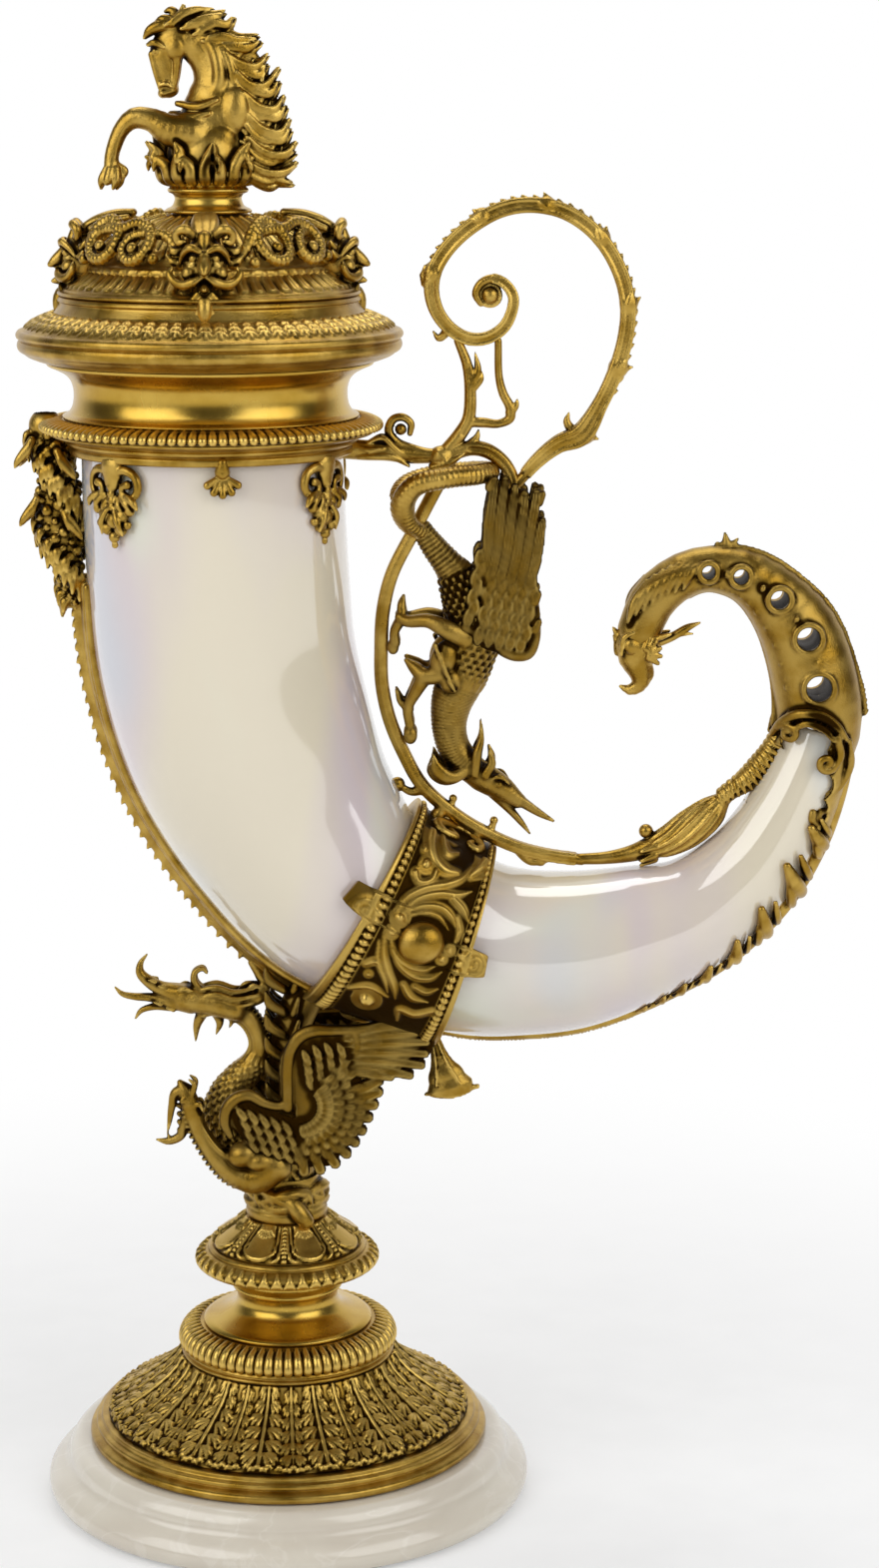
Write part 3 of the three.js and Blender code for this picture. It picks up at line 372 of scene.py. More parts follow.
class Canvas:
    """Low relief on a sheet: heights in millimetres, x across and y up, that may repeat across."""

    def __init__(self, width, height, columns, rows, repeats=True):
        self.width, self.repeats = width, repeats
        self.x = np.linspace(0, width, columns, endpoint=not repeats)
        self.y = np.linspace(0, height, rows)
        self.h = np.zeros((rows, columns))

    def _share(self, points, radii):
        """The distance from a line through points as a share of its radius, and the radius there."""
        line = Line([(x, y) for x, y in points], radii)
        at, r = line.even(max(0.3, 0.5 * np.min(np.maximum(radii, 0.3))))
        best, size = np.full(self.h.shape, 9.0), np.ones(self.h.shape)
        for shift in (-self.width, 0, self.width) if self.repeats else (0,):
            dx = self.x[None, :, None] - (at[:, 0] + shift)
            near = np.abs(dx).min(axis=(0, 2)) < r.max() + 1
            if not near.any():
                continue
            dy = self.y[:, None, None] - at[:, 2]
            q = np.hypot(dx[:, near], dy) / np.maximum(r, 0.1)
            k = q.argmin(axis=2)
            low = np.take_along_axis(q, k[..., None], 2)[..., 0]
            closer = low < best[:, near]
            best[:, near] = np.where(closer, low, best[:, near])
            size[:, near] = np.where(closer, r[k], size[:, near])
        return best, size

    def stroke(self, points, radii, rise=1.0, pair=False, square=False):
        """A ridge along a line, round or square in section, and its mirror image in a pair."""
        for side in (1, -1) if pair else (1,):
            line = [(x if side > 0 else self.width - x, y) for x, y in points]
            share, size = self._share(line, radii)
            inside = np.clip(1 - share**2, 0, 1)
            height = rise * np.minimum(size, 3) * (inside**0.25 if square else np.sqrt(inside))
            self.h = np.maximum(self.h, height)

    def groove(self, points, radii, depth):
        """A groove along a line, cut only where something stands on the ground."""
        share, _ = self._share(points, radii)
        self.h = self.h - depth * np.clip(1 - share**2, 0, 1) * (self.h > 0.05)

    def hollows(self, reach=3):
        """How hollow each place is: how far it lies under the mean of the places round it."""
        mean = self.h.copy()
        for axis in (0, 1):
            shifted = [np.roll(mean, k, axis) for k in range(-reach, reach + 1)]
            mean = np.mean(shifted, axis=0)
        return np.clip((mean - self.h) / 0.5, 0, 1)


def relief_ring(band, rest, canvas, count, x=0.0, shade=1.0):
    """A turned piece with a canvas repeated round a band of its outside, from the band's foot to its top."""
    run = np.concatenate([[0], np.cumsum(np.hypot(*np.diff(band, axis=0).T))])
    rows = len(canvas.y)
    even = np.column_stack([np.interp(np.linspace(0, run[-1], rows), run, band[:, k]) for k in (0, 1)])
    way = np.gradient(even, axis=0)
    way /= np.hypot(*way.T)[:, None]
    height = np.tile(canvas.h, (1, count))
    # painted shade in the relief's hollows, by a share, and painted highlight on its crests
    hollow = np.tile(shade * canvas.hollows(), (1, count))
    proud = np.clip(height / max(height.max(), 0.1), 0, 1)
    a = np.linspace(0, TAU, height.shape[1], endpoint=False)
    r = even[:, 0][:, None] + height * way[:, 1][:, None]
    z = even[:, 1][:, None] - height * way[:, 0][:, None]
    plain = np.zeros((len(rest), len(a)))
    r = np.vstack([r, plain + rest[:, 0][:, None]])
    z = np.vstack([z, plain + rest[:, 1][:, None]])
    points = np.stack([x + r * np.cos(a), r * np.sin(a), z], -1)
    return sheet(points, hollow=np.vstack([hollow, plain]), proud=np.vstack([proud, plain]))


# Finishes


class Tree:
    """The nodes of one material."""

    def __init__(self, name):
        self.material = bpy.data.materials.new(name)
        self.material.use_nodes = True
        self.nodes, self.links = self.material.node_tree.nodes, self.material.node_tree.links
        self.shader = self.nodes["Principled BSDF"]
        self.place = self.add("ShaderNodeTexCoord").outputs["Object"]

    def add(self, kind, _settings=(), **inputs):
        """A node with its inputs, each a value or another node's output, by name with _ for a space."""
        made = self.nodes.new(kind)
        for key, value in dict(_settings).items():
            setattr(made, key, value)
        for key, value in inputs.items():
            self.feed(made.inputs[key.replace("_", " ")], value)
        return made

    def feed(self, socket, value):
        if isinstance(value, bpy.types.NodeSocket):
            self.links.new(value, socket)
        else:
            socket.default_value = value

    def noise(self, scale, detail=3.0, stretch=(1, 1, 1), distortion=0.0):
        where = self.add("ShaderNodeMapping", Vector=self.place, Scale=stretch).outputs[0]
        inputs = {"Vector": where, "Scale": scale, "Detail": detail, "Distortion": distortion}
        return self.add("ShaderNodeTexNoise", **inputs).outputs["Fac"]

    def value(self, label):
        return self.add("ShaderNodeAttribute", {"attribute_name": label}).outputs["Fac"]

    def scaled(self, value, low, high, to_low=0.0, to_high=1.0):
        made = self.add("ShaderNodeMapRange", {"interpolation_type": "SMOOTHSTEP"}, Value=value)
        for key, number in (("From Min", low), ("From Max", high), ("To Min", to_low), ("To Max", to_high)):
            made.inputs[key].default_value = number
        return made.outputs[0]

    def mixed(self, share, a, b):
        made = self.add("ShaderNodeMix", {"data_type": "RGBA"})
        for socket, value in ((made.inputs[0], share), (made.inputs[6], a), (made.inputs[7], b)):
            self.feed(socket, value)
        return made.outputs[2]

    def math(self, operation, a, b=0.0):
        made = self.add("ShaderNodeMath", {"operation": operation})
        self.feed(made.inputs[0], a)
        self.feed(made.inputs[1], b)
        return made.outputs[0]

    def bumped(self, height, distance):
        made = self.add("ShaderNodeBump", Height=height, Distance=distance)
        self.feed(self.shader.inputs["Normal"], made.outputs[0])

    def finished(self, **inputs):
        for key, value in inputs.items():
            self.feed(self.shader.inputs[key.replace("_", " ")], value)
        return self.material


def colour(red, green, blue):
    """A colour written as 0 to 255 on screen."""
    return (*(((c / 255 + 0.055) / 1.055) ** 2.4 if c > 10 else c / 255 / 12.92 for c in (red,
            green, blue)), 1)


def gilt(name, bright, middle, dark, rough, grain, cloud=90):
    """Gilded brass: lighter where it stands proud, as rubbed wear and painted highlight; brown painted shade
    in its hollows; faintly clouded.
    """
    t = Tree(name)
    bright, middle, dark = colour(*bright), colour(*middle), colour(*dark)
    cloud = t.noise(cloud, 4)
    grit = t.noise(1500, 2)
    body = t.mixed(t.scaled(cloud, 0.3, 0.7), middle, t.mixed(0.55, middle, bright))
    # painted highlight, with rubbed wear, where the surface stands proud
    rubbed_and_highlit = t.mixed(t.scaled(t.value("proud"), 0.12, 0.75, 0, 0.85), body, bright)
    # painted shade in the hollows, with some clouded grime; it also roughens them
    painted_shade_and_grime = t.scaled(t.math("ADD", t.value("hollow"), t.math("MULTIPLY", cloud, 0.25)), 0.28, 0.85)
    tint = t.mixed(painted_shade_and_grime, rubbed_and_highlit, dark)
    clean = t.scaled(cloud, 0.25, 0.75, rough - 0.05, rough + 0.06)
    roughness = t.math("ADD", clean, t.math("MULTIPLY", painted_shade_and_grime, 0.25))
    t.bumped(grit, grain * MM)
    return t.finished(Base_Color=tint, Roughness=roughness, Metallic=1.0)


def porcelain():
    """A milky cream glaze, with the lustre of mother of pearl painted as pastel sheen in long soft bands."""
    t = Tree("porcelain")
    long = t.noise(7, 2, (1.6, 1, 0.55), 0.6)
    wide = t.noise(11, 2, (1, 1, 0.4), 0.9)
    # pastel tints over the cream: painted iridescent sheen
    tint = t.mixed(t.scaled(long, 0.38, 0.6), colour(217, 207, 184), colour(205, 192, 194))
    tint = t.mixed(t.scaled(wide, 0.5, 0.72, 0, 0.8), tint, colour(214, 222, 198))
    tint = t.mixed(t.scaled(t.noise(16, 1, (1, 1, 0.5)), 0.55, 0.75, 0, 0.6), tint, colour(184, 198, 211))
    t.bumped(t.noise(260, 2), 0.02 * MM)
    rough = t.scaled(wide, 0, 1, 0.1, 0.2)
    return t.finished(Base_Color=tint, Roughness=rough, Coat_Weight=1.0, Coat_IOR=1.85, Coat_Roughness=0.05)


def marble():
    """Polished cream marble, clouded, with faint pale veins."""
    t = Tree("marble")
    cloud = t.noise(14, 5, (1, 1, 1.6), 1.2)
    vein = t.math("ABSOLUTE", t.math("SUBTRACT", t.noise(22, 6, (1, 1, 1), 2.0), 0.5))
    tint = t.mixed(t.scaled(cloud, 0.3, 0.7), colour(214, 207, 192), colour(203, 194, 179))
    tint = t.mixed(t.scaled(vein, 0.0, 0.03, 0.22, 0), tint, colour(230, 225, 215))
    t.bumped(cloud, 0.05 * MM)
    rough = t.scaled(cloud, 0.2, 0.8, 0.14, 0.22)
    return t.finished(Base_Color=tint, Roughness=rough, Coat_Weight=0.4, Coat_Roughness=0.08)


def felt():
    """Green felt."""
    t = Tree("felt")
    wool = t.noise(900, 6, (1, 1, 1), 1.5)
    tint = t.mixed(t.scaled(wool, 0.3, 0.7), colour(38, 60, 44), colour(64, 88, 66))
    t.bumped(wool, 0.5 * MM)
    return t.finished(Base_Color=tint, Roughness=0.95, Sheen_Weight=0.5)


def steel():
    """Brushed steel."""
    t = Tree("steel")
    brushed = t.noise(300, 3, (1, 1, 12))
    tint = t.mixed(t.scaled(brushed, 0.3, 0.7), colour(128, 128, 130), colour(164, 164, 166))
    t.bumped(brushed, 0.05 * MM)
    return t.finished(Base_Color=tint, Roughness=t.scaled(brushed, 0.2, 0.8, 0.3, 0.45), Metallic=1.0)


def cork():
    """Cork, grained."""
    t = Tree("cork")
    grain = t.add("ShaderNodeTexVoronoi", Vector=t.place, Scale=420.0).outputs["Distance"]
    tint = t.mixed(t.scaled(grain, 0.1, 0.7), colour(120, 86, 52), colour(188, 150, 104))
    t.bumped(grain, 0.4 * MM)
    return t.finished(Base_Color=tint, Roughness=0.85)


FINISH = {
    "gilt_cast": gilt("gilt_cast", (224, 189, 100), (150, 115, 38), (46, 28, 3), rough=0.32, grain=0.12),
    "gilt_polished": gilt("gilt_polished", (228, 195, 100), (178, 141, 52), (66, 42, 5), rough=0.25,
                          grain=0.015, cloud=40),
    "porcelain": porcelain(),
    "marble": marble(),
    "felt": felt(),
    "steel": steel(),
    "cork": cork(),
}
KEPT = {
    "felt": ["felt_pad"],
    "steel": ["tie_rod", "base_nut", "base_washer", "finial_stud", "finial_nut"],
    "cork": ["cork_plug"],
    "gilt_polished": ["joint_sleeve"],
}
for slot, names in KEPT.items():
    for name in names:
        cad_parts[name].data.materials.clear()
        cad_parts[name].data.materials.append(FINISH[slot])


# The turned foot


def rise_of(node):
    """A CAD node's lowest point over the table and its height, in millimetres."""
    low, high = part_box(node)
    return low.z / MM, high.z / MM - low.z / MM


def foot():
    """The plinth and the turned mounts of the foot, up to the spool."""
    z, h = rise_of("marble_plinth")
    plinth = [(14.5, 0, 0.3), (98, 0, 0.6), (99.5, 0.14, 3), (99.3, 0.3, 3), (96.5, 0.47, 5),
              (91.3, 0.6, 4), (90.6, 0.82, 4), (87.4, 1, 4), (60, 1, 0.3), (ROD_BORE, 1, 0.3),
              (ROD_BORE, 0.44, 0.3), (14.5, 0.44, 0.3)]
    piece("plinth", turned(levels(plinth, z, h), 220), "marble_plinth", "marble", lift=0)

    z, h = rise_of("foot_molding")
    ring = [(60.6, 0, 0.2), (80.4, 0, 0.5), (82, 0.1, 2), (82, 0.34, 2), (79.6, 0.44, 0.8),
            (78.6, 0.5, 0.3), (79.4, 0.55, 1), (79.6, 0.74, 1.4), (77.6, 0.8, 0.4), (77.2, 0.86, 0.3),
            (77.2, 0.99, 0.6), (76, 1, 0.3), (60.6, 1, 0.2)]
    piece("foot_molding_ring", turned(levels(ring, z, h), 220), "foot_molding", lift=0)

    z, h = rise_of("foot_dome")
    slope = outline([(74.4, z + 0.2), (72.6, z + 1.9), (68.6, z + 4), (64, z + 6.6), (59, z + 9.4),
                     (54, z + 12.7), (49.4, z + 16.2), (45.6, z + 20), (43, z + h)])
    rest = np.array([(43, z + h), (ROD_BORE, z + h), (ROD_BORE, z + h - 4), (36, z + h - 5), (44, z + 12),
                     (60, z + 4), (67.6, z)])
    leaves = relief_ring(slope, rest, acanthus(), 16, shade=0.8).moved(turn=4).darkened(0.22)
    piece("acanthus_dome", leaves, "foot_dome", lift=0)

    z, h = rise_of("gadroon_ring")
    lobe = Canvas(4.1, 13, 9, 22)
    lobe.stroke([(2.05, 2.2), (2.05, 7), (2.05, 12.6)], [1.95, 1.75, 1.0], 0.8)
    band = outline([(42.2, z + 4.2), (43.4, z + 5.6), (43.4, z + 8), (41.8, z + 10.6), (38.8, z + 12.2),
                    (36.2, z + h)], 0.4)
    rest = rounded([(36, z + h, 0.1), (ROD_BORE, z + h, 0.1), (ROD_BORE, z, 0.1), (41.4, z, 0.3),
                    (43.6, z + 0.5, 0.8), (43.8, z + 1.6, 0.8), (42.5, z + 2.2, 0.3), (42.6, z + 2.7, 0.3),
                    (43.7, z + 3.1, 0.5), (43.2, z + 3.9, 0.4)])
    piece("gadroons", relief_ring(band, rest, lobe, 68), "gadroon_ring", lift=0)

    z, h = rise_of("spool")
    waist = [(ROD_BORE, 0, 0.1), (34.4, 0, 0.3), (34.8, 0.04, 0.5), (33.6, 0.085, 0.5), (32.6, 0.105, 0.4),
             (27, 0.17, 4), (22.6, 0.27, 4), (20.8, 0.39, 4), (20.5, 0.52, 4), (21.2, 0.63, 2),
             (22.7, 0.68, 0.6), (22.8, 0.73, 0.6), (21.8, 0.78, 0.5), (20.9, 0.82, 0.8), (21.3, 0.9, 1),
             (22.6, 1, 0.2), (ROD_BORE, 1, 0.1)]
    piece("polished_spool", turned(levels(waist, z, h), 160), "spool", "gilt_polished", lift=0)


def acanthus():
    """One repeat of the leaves on the foot's dome: a ribbed leaf, and half a lesser one at each side."""
    c = Canvas(23.4, 42, 48, 84)
    c.h += 0.1
    fingers = ((1, 1.4), (1.1, 3.8), (0.9, 6.2), (0.56, 8.2))
    for y, reach in ((42, 4.6), (36, 5.8), (29.6, 6.8), (23, 7.4), (16.4, 7.2), (10.2, 5.8)):
        for share, drop in fingers:
            out = reach * share
            c.stroke([(11.7, y), (11.7 + 0.42 * out, y - 0.2 * drop), (11.7 + 0.84 * out, y - 0.6 * drop),
                      (11.7 + out, y - drop)], [0.4, 0.8, 1.05, 0.5], 1.25, pair=True)
    for y, reach in ((41, 3), (35, 3.7), (28.6, 4.3), (22, 4.6), (15.4, 4.6), (9.4, 4)):
        for share, drop in fingers[1:]:
            out = reach * share
            c.stroke([(0, y), (0.45 * out, y - 0.24 * drop), (0.85 * out, y - 0.6 * drop),
                      (out, y - 0.9 * drop)], [0.36, 0.66, 0.85, 0.4], 1.15, pair=True)
    c.stroke([(11.7, 41.8), (11.7, 24), (11.7, 3.2)], [1.0, 0.85, 0.5], 2.2, square=True)
    c.stroke([(0, 41.6), (0, 20), (0, 2.6)], [0.7, 0.6, 0.4], 2.3, square=True)
    for x, y in ((11.7, 2.6), (8.2, 3.2), (4.6, 2.3), (0, 2.4), (9.8, 1.7), (2.2, 1.5)):
        c.stroke([(x - 0.9, y - 0.7), (x, y + 0.4), (x + 0.8, y - 0.4)], [0.6, 1.0, 0.6], 1.5, pair=True)
    return c


foot()


# The horn

HORN = Line(
    [(-26.5, 306), (-25.8, 280), (-24.5, 250), (-21.7, 217.5), (-12.2, 182), (2.7, 150.6), (22.6, 124.6),
     (52.7, 108), (76.9, 98.5), (97, 96.3), (117.3, 97.6), (142.2, 103.9), (166.3, 113.4), (186.5, 130.8),
     (200.9, 153.4), (209.6, 173.8), (214, 189)],
    [51, 51.5, 51.7, 51.5, 50, 45.7, 41.8, 38.3, 36, 33.7, 32.1, 28.2, 23.2, 19.9, 16.8, 14.5, 12.6],
)
CUFF_FROM, CUFF_TO, HORN_JOINT, HORN_END = 6.3, 7.84, 7.1, 15.98  # places along the horn's line
PORCELAIN_WALL = 4


def on_horn(place, angle, rise):
    """Points over the horn's surface: places along it, angles from the back over the inner side, and rise."""
    centre, r, _, inward = HORN.frames(np.ravel(place))
    shape = np.shape(place)
    out = centre + (r + np.ravel(rise))[:, None] * (
        np.cos(np.ravel(angle))[:, None] * (0, 1, 0) + np.sin(np.ravel(angle))[:, None] * inward
    )
    return out.reshape(*shape, 3)


def horn():
    """The porcelain in two lengths, each a tube with an outer and an inner wall."""
    for name, node, start, end in (
        ("horn_body", "horn_upper", 0, HORN_JOINT - 0.006),
        ("horn_tail", "horn_lower", HORN_JOINT + 0.006, HORN_END),
    ):
        places = np.linspace(start, end, int(9 * (end - start)))
        rows = np.concatenate([places, places[::-1]])
        rise = np.concatenate([0 * places, 0 * places - PORCELAIN_WALL])
        angle = np.linspace(0, TAU, 96, endpoint=False)
        place, a = np.meshgrid(rows, angle, indexing="ij")
        skin = sheet(on_horn(place, a, np.broadcast_to(rise[:, None], a.shape)))
        piece(name, skin, node, "porcelain")


horn()


# The dragons under the horn


def ring_of(centre, radius, y):
    """Points round a circle in a plane of even y."""
    angles = np.linspace(0, TAU, 12)
    return [(centre[0] + radius * np.cos(a), y, centre[1] + radius * np.sin(a)) for a in angles]


def curl_of(centre, start, turns, radius, y=0.0):
    """Points of a volute that winds in towards its centre; turns may be negative."""
    count = max(int(abs(turns) * 10), 6)
    t = np.linspace(0, 1, count)
    a = np.radians(start) + TAU * turns * t
    r = radius * (1 - 0.75 * t)
    return [(centre[0] + p * np.cos(b), y, centre[1] + p * np.sin(b)) for p, b in zip(r, a)]


def flat(points):
    """Points in the middle plane as x and z alone."""
    return [(x, z) for x, _, z in points]


def feather(clay, root, tip, width, lift, low, bend=0.0, thick=0.34):
    """A feather on a wing's near side: a flat blade whose tip stands over the next, with a rib."""
    (x0, z0), (x1, z1) = root, tip
    mx, mz = (x0 + x1) / 2 - bend * (z1 - z0), (z0 + z1) / 2 + bend * (x1 - x0)
    points = [(x0, -low, z0), (mx, -(low + lift) / 2, mz), (x1, -lift, z1)]
    clay.stroke(points, [0.7 * width, width, 0.8 * width], 0.1, thick)
    clay.stroke([(x, y - 0.8 * thick * width, z) for x, y, z in points], [0.3, 0.45, 0.25], 0.3)


def dragon_wing():
    """One wing in its own plane: the long pinions at the top, rows of coverts, and a lesser shoulder."""
    clay = Clay((-30, -6, 0), (64, 6, 82), 0.6)
    for points, radii in (
        ([(4, 42), (7, 57), (16, 62), (28, 62)], [6, 8, 8, 8]),
        ([(14, 30), (18, 45), (22, 56)], [10, 13, 9]),
        ([(-16, 32), (-6, 26), (8, 20), (16, 18)], [7, 9, 9, 7]),
        ([(26, 61), (40, 62), (52, 64)], [8, 9, 9]),
    ):
        clay.stroke(points, radii, 0.5, 0.13)
    # pinions, then the secondaries below them
    tips = [(57.5, 72.2), (57.4, 68.2), (57.2, 63.8), (56.8, 59), (55.4, 54.2), (50.8, 50), (43, 49.4)]
    for i, tip in enumerate(tips):
        root = (25 - 0.4 * i, 66.5 - 2.5 * i)
        feather(clay, root, tip, 2.5, 1.5 + 0.12 * i, 0.9, 0.03)
    tips = [(38.4, 47.5), (38, 42.6), (36.2, 37.4), (34, 32), (31.4, 26.6), (28.6, 21.6), (25.2, 16.8),
            (20.6, 12.6), (14.6, 10), (8, 9.2)]
    for tx, tz in tips:
        root = (8 + 0.62 * (tx - 8) * 0.5, 38 - 0.62 * (38 - tz) * 0.5)
        feather(clay, root, (tx, tz), 2.9, 1.3, 0.8, -0.05)
    # coverts in four rows, and small feathers on the shoulder
    for row, (out, wide) in enumerate(((0.86, 2.1), (0.72, 2.1), (0.58, 2.0), (0.44, 1.9))):
        for k in range(11):
            a = np.radians(40 - 11.6 * k - 5.8 * (row % 2))
            reach = 30 * out
            tip = (6 + reach * np.cos(a), 37 + 0.98 * reach * np.sin(a) * (1.15 if a > 0 else 0.92))
            root = (6 + 0.62 * reach * np.cos(a), 37 + 0.62 * reach * np.sin(a))
            feather(clay, root, tip, wide, 1.9 + 0.3 * row, 1.2 + 0.3 * row, thick=0.3)
    for k, (x, z) in enumerate([(8, 60), (12.4, 62), (17, 63), (22, 63)]):
        for row in range(4):
            feather(clay, (x + 0.5 * row, z - 3.6 * row), (x + 2.4 + 0.4 * row, z - 4.6 - 3.6 * row), 2.0,
                    2.4 - 0.2 * row, 1.5, thick=0.3)
    # the wing's bones along its edge
    clay.stroke([(1.6, 36), (1.6, 45), (1.7, 52), (3.2, 60), (6.6, 65.6), (12, 68), (19, 68.2), (28, 68.4)],
                [2.3, 2.4, 2.4, 2.6, 2.8, 2.7, 2.4, 2.2], 0.4)
    clay.stroke([(28, 68.4), (39, 70.6), (49, 73.8), (57.6, 75.4)], [2.2, 1.6, 1.4, 1.2], 0.4)
    clay.stroke([(28.4, 68.4), (29.8, 64), (29.2, 58.4), (26.8, 53.6)], [2.2, 2.0, 1.7, 1.0], 0.4)
    clay.stroke([(5, 50), (5.6, 56), (8.4, 61), (13, 63.6), (20, 64)], [0.7, 1.0, 1.0, 1.0, 0.7], 0.3)
    clay.stroke([(1.6, 37.6), (-2.4, 36.6), (-8, 38), (-13.4, 41), (-18.6, 40), (-22.6, 35.8),
                 (-23.8, 29.6), (-21.6, 24)], [2.2, 2.0, 2.2, 2.5, 2.6, 2.6, 2.2, 1.4], 0.5)
    for row in range(4):
        for k in range(5):
            x, z = -19 + 4.6 * k + 1.6 * row, 36.5 - 1.5 * k - 4.6 * row
            feather(clay, (x, z), (x + 3.2, z - 4.4), 1.9, 2.3 - 0.15 * row, 1.4, thick=0.3)
    return clay.both_sides().skin()


def neck_ribs(clay, line, start, end, count, side, out, wide, r):
    """Short bars across a neck, along the outer or inner side of its line."""
    for place in np.linspace(start, end, count):
        at, size, _, inward = line.frames([place])
        x, _, z = at[0] + side * inward[0] * size[0] * out
        w = wide * size[0]
        clay.stroke([(x, -w, z), (x, 0, z), (x, w, z)], r, 0.3)


def scales(clay, line, start, end, rows, count, size):
    """Rows of scales round a bar that lies along a line, each laid over the row before it."""
    for row, place in enumerate(np.linspace(start, end, rows)):
        at, r, along, inward = line.frames([place])
        for k in range(count):
            a = TAU * (k + 0.5 * (row % 2)) / count
            out = np.cos(a) * inward[0] + np.sin(a) * np.array((0, 1, 0))
            clay.stroke([at[0] + (r[0] - 0.9) * out, at[0] - 2.6 * along[0] + (r[0] + 0.5) * out],
                        [size, 0.7 * size], 0.12)


def foot_dragon():
    """The dragon that carries the horn: trunk, neck and head, without its wings."""
    clay = Clay((-73, -17, -3), (24, 17, 99), 0.6)
    # trunk
    clay.stroke([(0, -1), (0, 12)], 11.4, 2)
    clay.ball((0, 0, 17), (18, 12, 14), 2)
    # neck, ribbed in front and behind, scaled below
    path = [(-12, 14), (-21, 18), (-25.6, 27), (-23.4, 36), (-18, 43.6), (-12.4, 50), (-10, 57),
            (-11.4, 64), (-15.6, 70), (-22, 74)]
    neck = Line(path, [9, 8.6, 8, 7, 6, 4.8, 4.2, 4.1, 4.3, 4.6])
    clay.stroke(path, neck.values[:, 3], 2)
    neck_ribs(clay, neck, 1.5, 8.6, 30, 1, 0.97, 0.34, 0.95)
    neck_ribs(clay, neck, 2.0, 9, 34, -1, 0.96, 0.55, 0.55)
    scales(clay, neck, 0.2, 5.4, 24, 13, 1.35)
    # head, with the upper jaw that curls up in front, and the lower jaw
    clay.stroke([(-20, -3, 73), (-30, -2, 75.6), (-41, -1.5, 76.6)], [4.6, 5.2, 4.2], 1.5)
    clay.stroke([(-36, -1.4, 78), (-44, -1, 79.4), (-50, 0, 81), (-55, 0, 84), (-58.4, 0, 87.6),
                 (-58.2, 0, 91.6), (-55.4, 0, 95.4)], [4.2, 3.6, 3, 2.5, 1.9, 1.2, 0.4], 1)
    clay.stroke([(-38, -1.4, 74), (-46, -1, 75.4), (-54, 0, 77.2), (-61, 0, 77.6), (-66, 0, 78.8),
                 (-68.8, 0, 81.6)], [3.2, 2.6, 1.9, 1.5, 1.1, 0.4], 0.8)
    # tongue, three barbels, and the curled horn over the brow
    clay.stroke([(-46, 0, 73.4), (-53, 0, 73.4), (-58.4, 0, 71.6), (-60.8, 0, 68.2)],
                [2, 1.5, 1.1, 0.4], 0.6)
    clay.stroke([(-33, -1, 72), (-35.6, -0.6, 66), (-36.4, 0, 58.9)], [2.6, 1.7, 0.4], 0.8)
    clay.stroke([(-28, -1, 72), (-26.4, -1, 67), (-28, -0.5, 61.8)], [2.4, 1.6, 0.4], 0.8)
    clay.stroke([(-24, -2, 72), (-21.4, -2, 68.6), (-22.4, -1.5, 65)], [2, 1.3, 0.4], 0.6)
    clay.stroke([(-33, -1.5, 79), (-36.4, -1.6, 84), (-36.2, -1.2, 88), (-33, -1, 89.6), (-31.4, -1, 87.6)],
                [2.4, 1.6, 1.3, 1.1, 0.6], 0.6)
    # eye and brow
    clay.ball((-40.4, -3.6, 79.4), (1.9, 1.5, 1.7), 0.5)
    clay.stroke([(-44, -3.4, 80.6), (-40.4, -4.4, 82), (-36.6, -4, 80.6)], [0.7, 1, 0.6], 0.3)
    # locks swept back from the cheek, and teeth
    for k, (z, y) in enumerate(((80.6, -2.6), (78.2, -4.2), (75.6, -4.9), (73, -4.4), (70.8, -3.2))):
        end = -8 - 2.4 * k
        clay.stroke([(-37 + k, y, z - 0.5), (-28, y - 0.8, z + 1.4), (-20, y - 0.6, z - 0.6),
                     (end, y + 0.6, z + 2.4 - 1.2 * k)], [0.8, 1.5, 1.4, 0.5], 0.25)
    for x, z in ((-48, 82), (-52, 84.4), (-45, 72.6), (-50, 75)):
        clay.stroke([(x, -2.4, z), (x - 3, -3, z + 1)], [1, 0.4], 0.3)
    # crest behind the head
    clay.stroke([(-16, -1.5, 76), (-10, -1, 78), (-8, 0, 82), (-10, 0, 87), (-13, 0, 92)],
                [3, 2.8, 2.4, 2.2, 1.8], 1)
    clay.stroke([(-19, 0, 79), (-16, 0, 82.6), (-12.6, 0, 83.6)], [0.8, 1.3, 0.8], 0.4)
    clay.stroke(curl_of((-11.8, 80.6), 200, -1.1, 3.0, -2.2), 0.8, 0.3)
    # leaves round the trunk
    for k in range(7):
        a = np.radians(200 + 24 * k)
        clay.stroke([(4 * np.cos(a), -9, 14 + 6 * np.sin(a)), (11 * np.cos(a), -11, 14 + 11 * np.sin(a))],
                    [2.2, 1.4], 0.4)
    return clay.both_sides().skin()


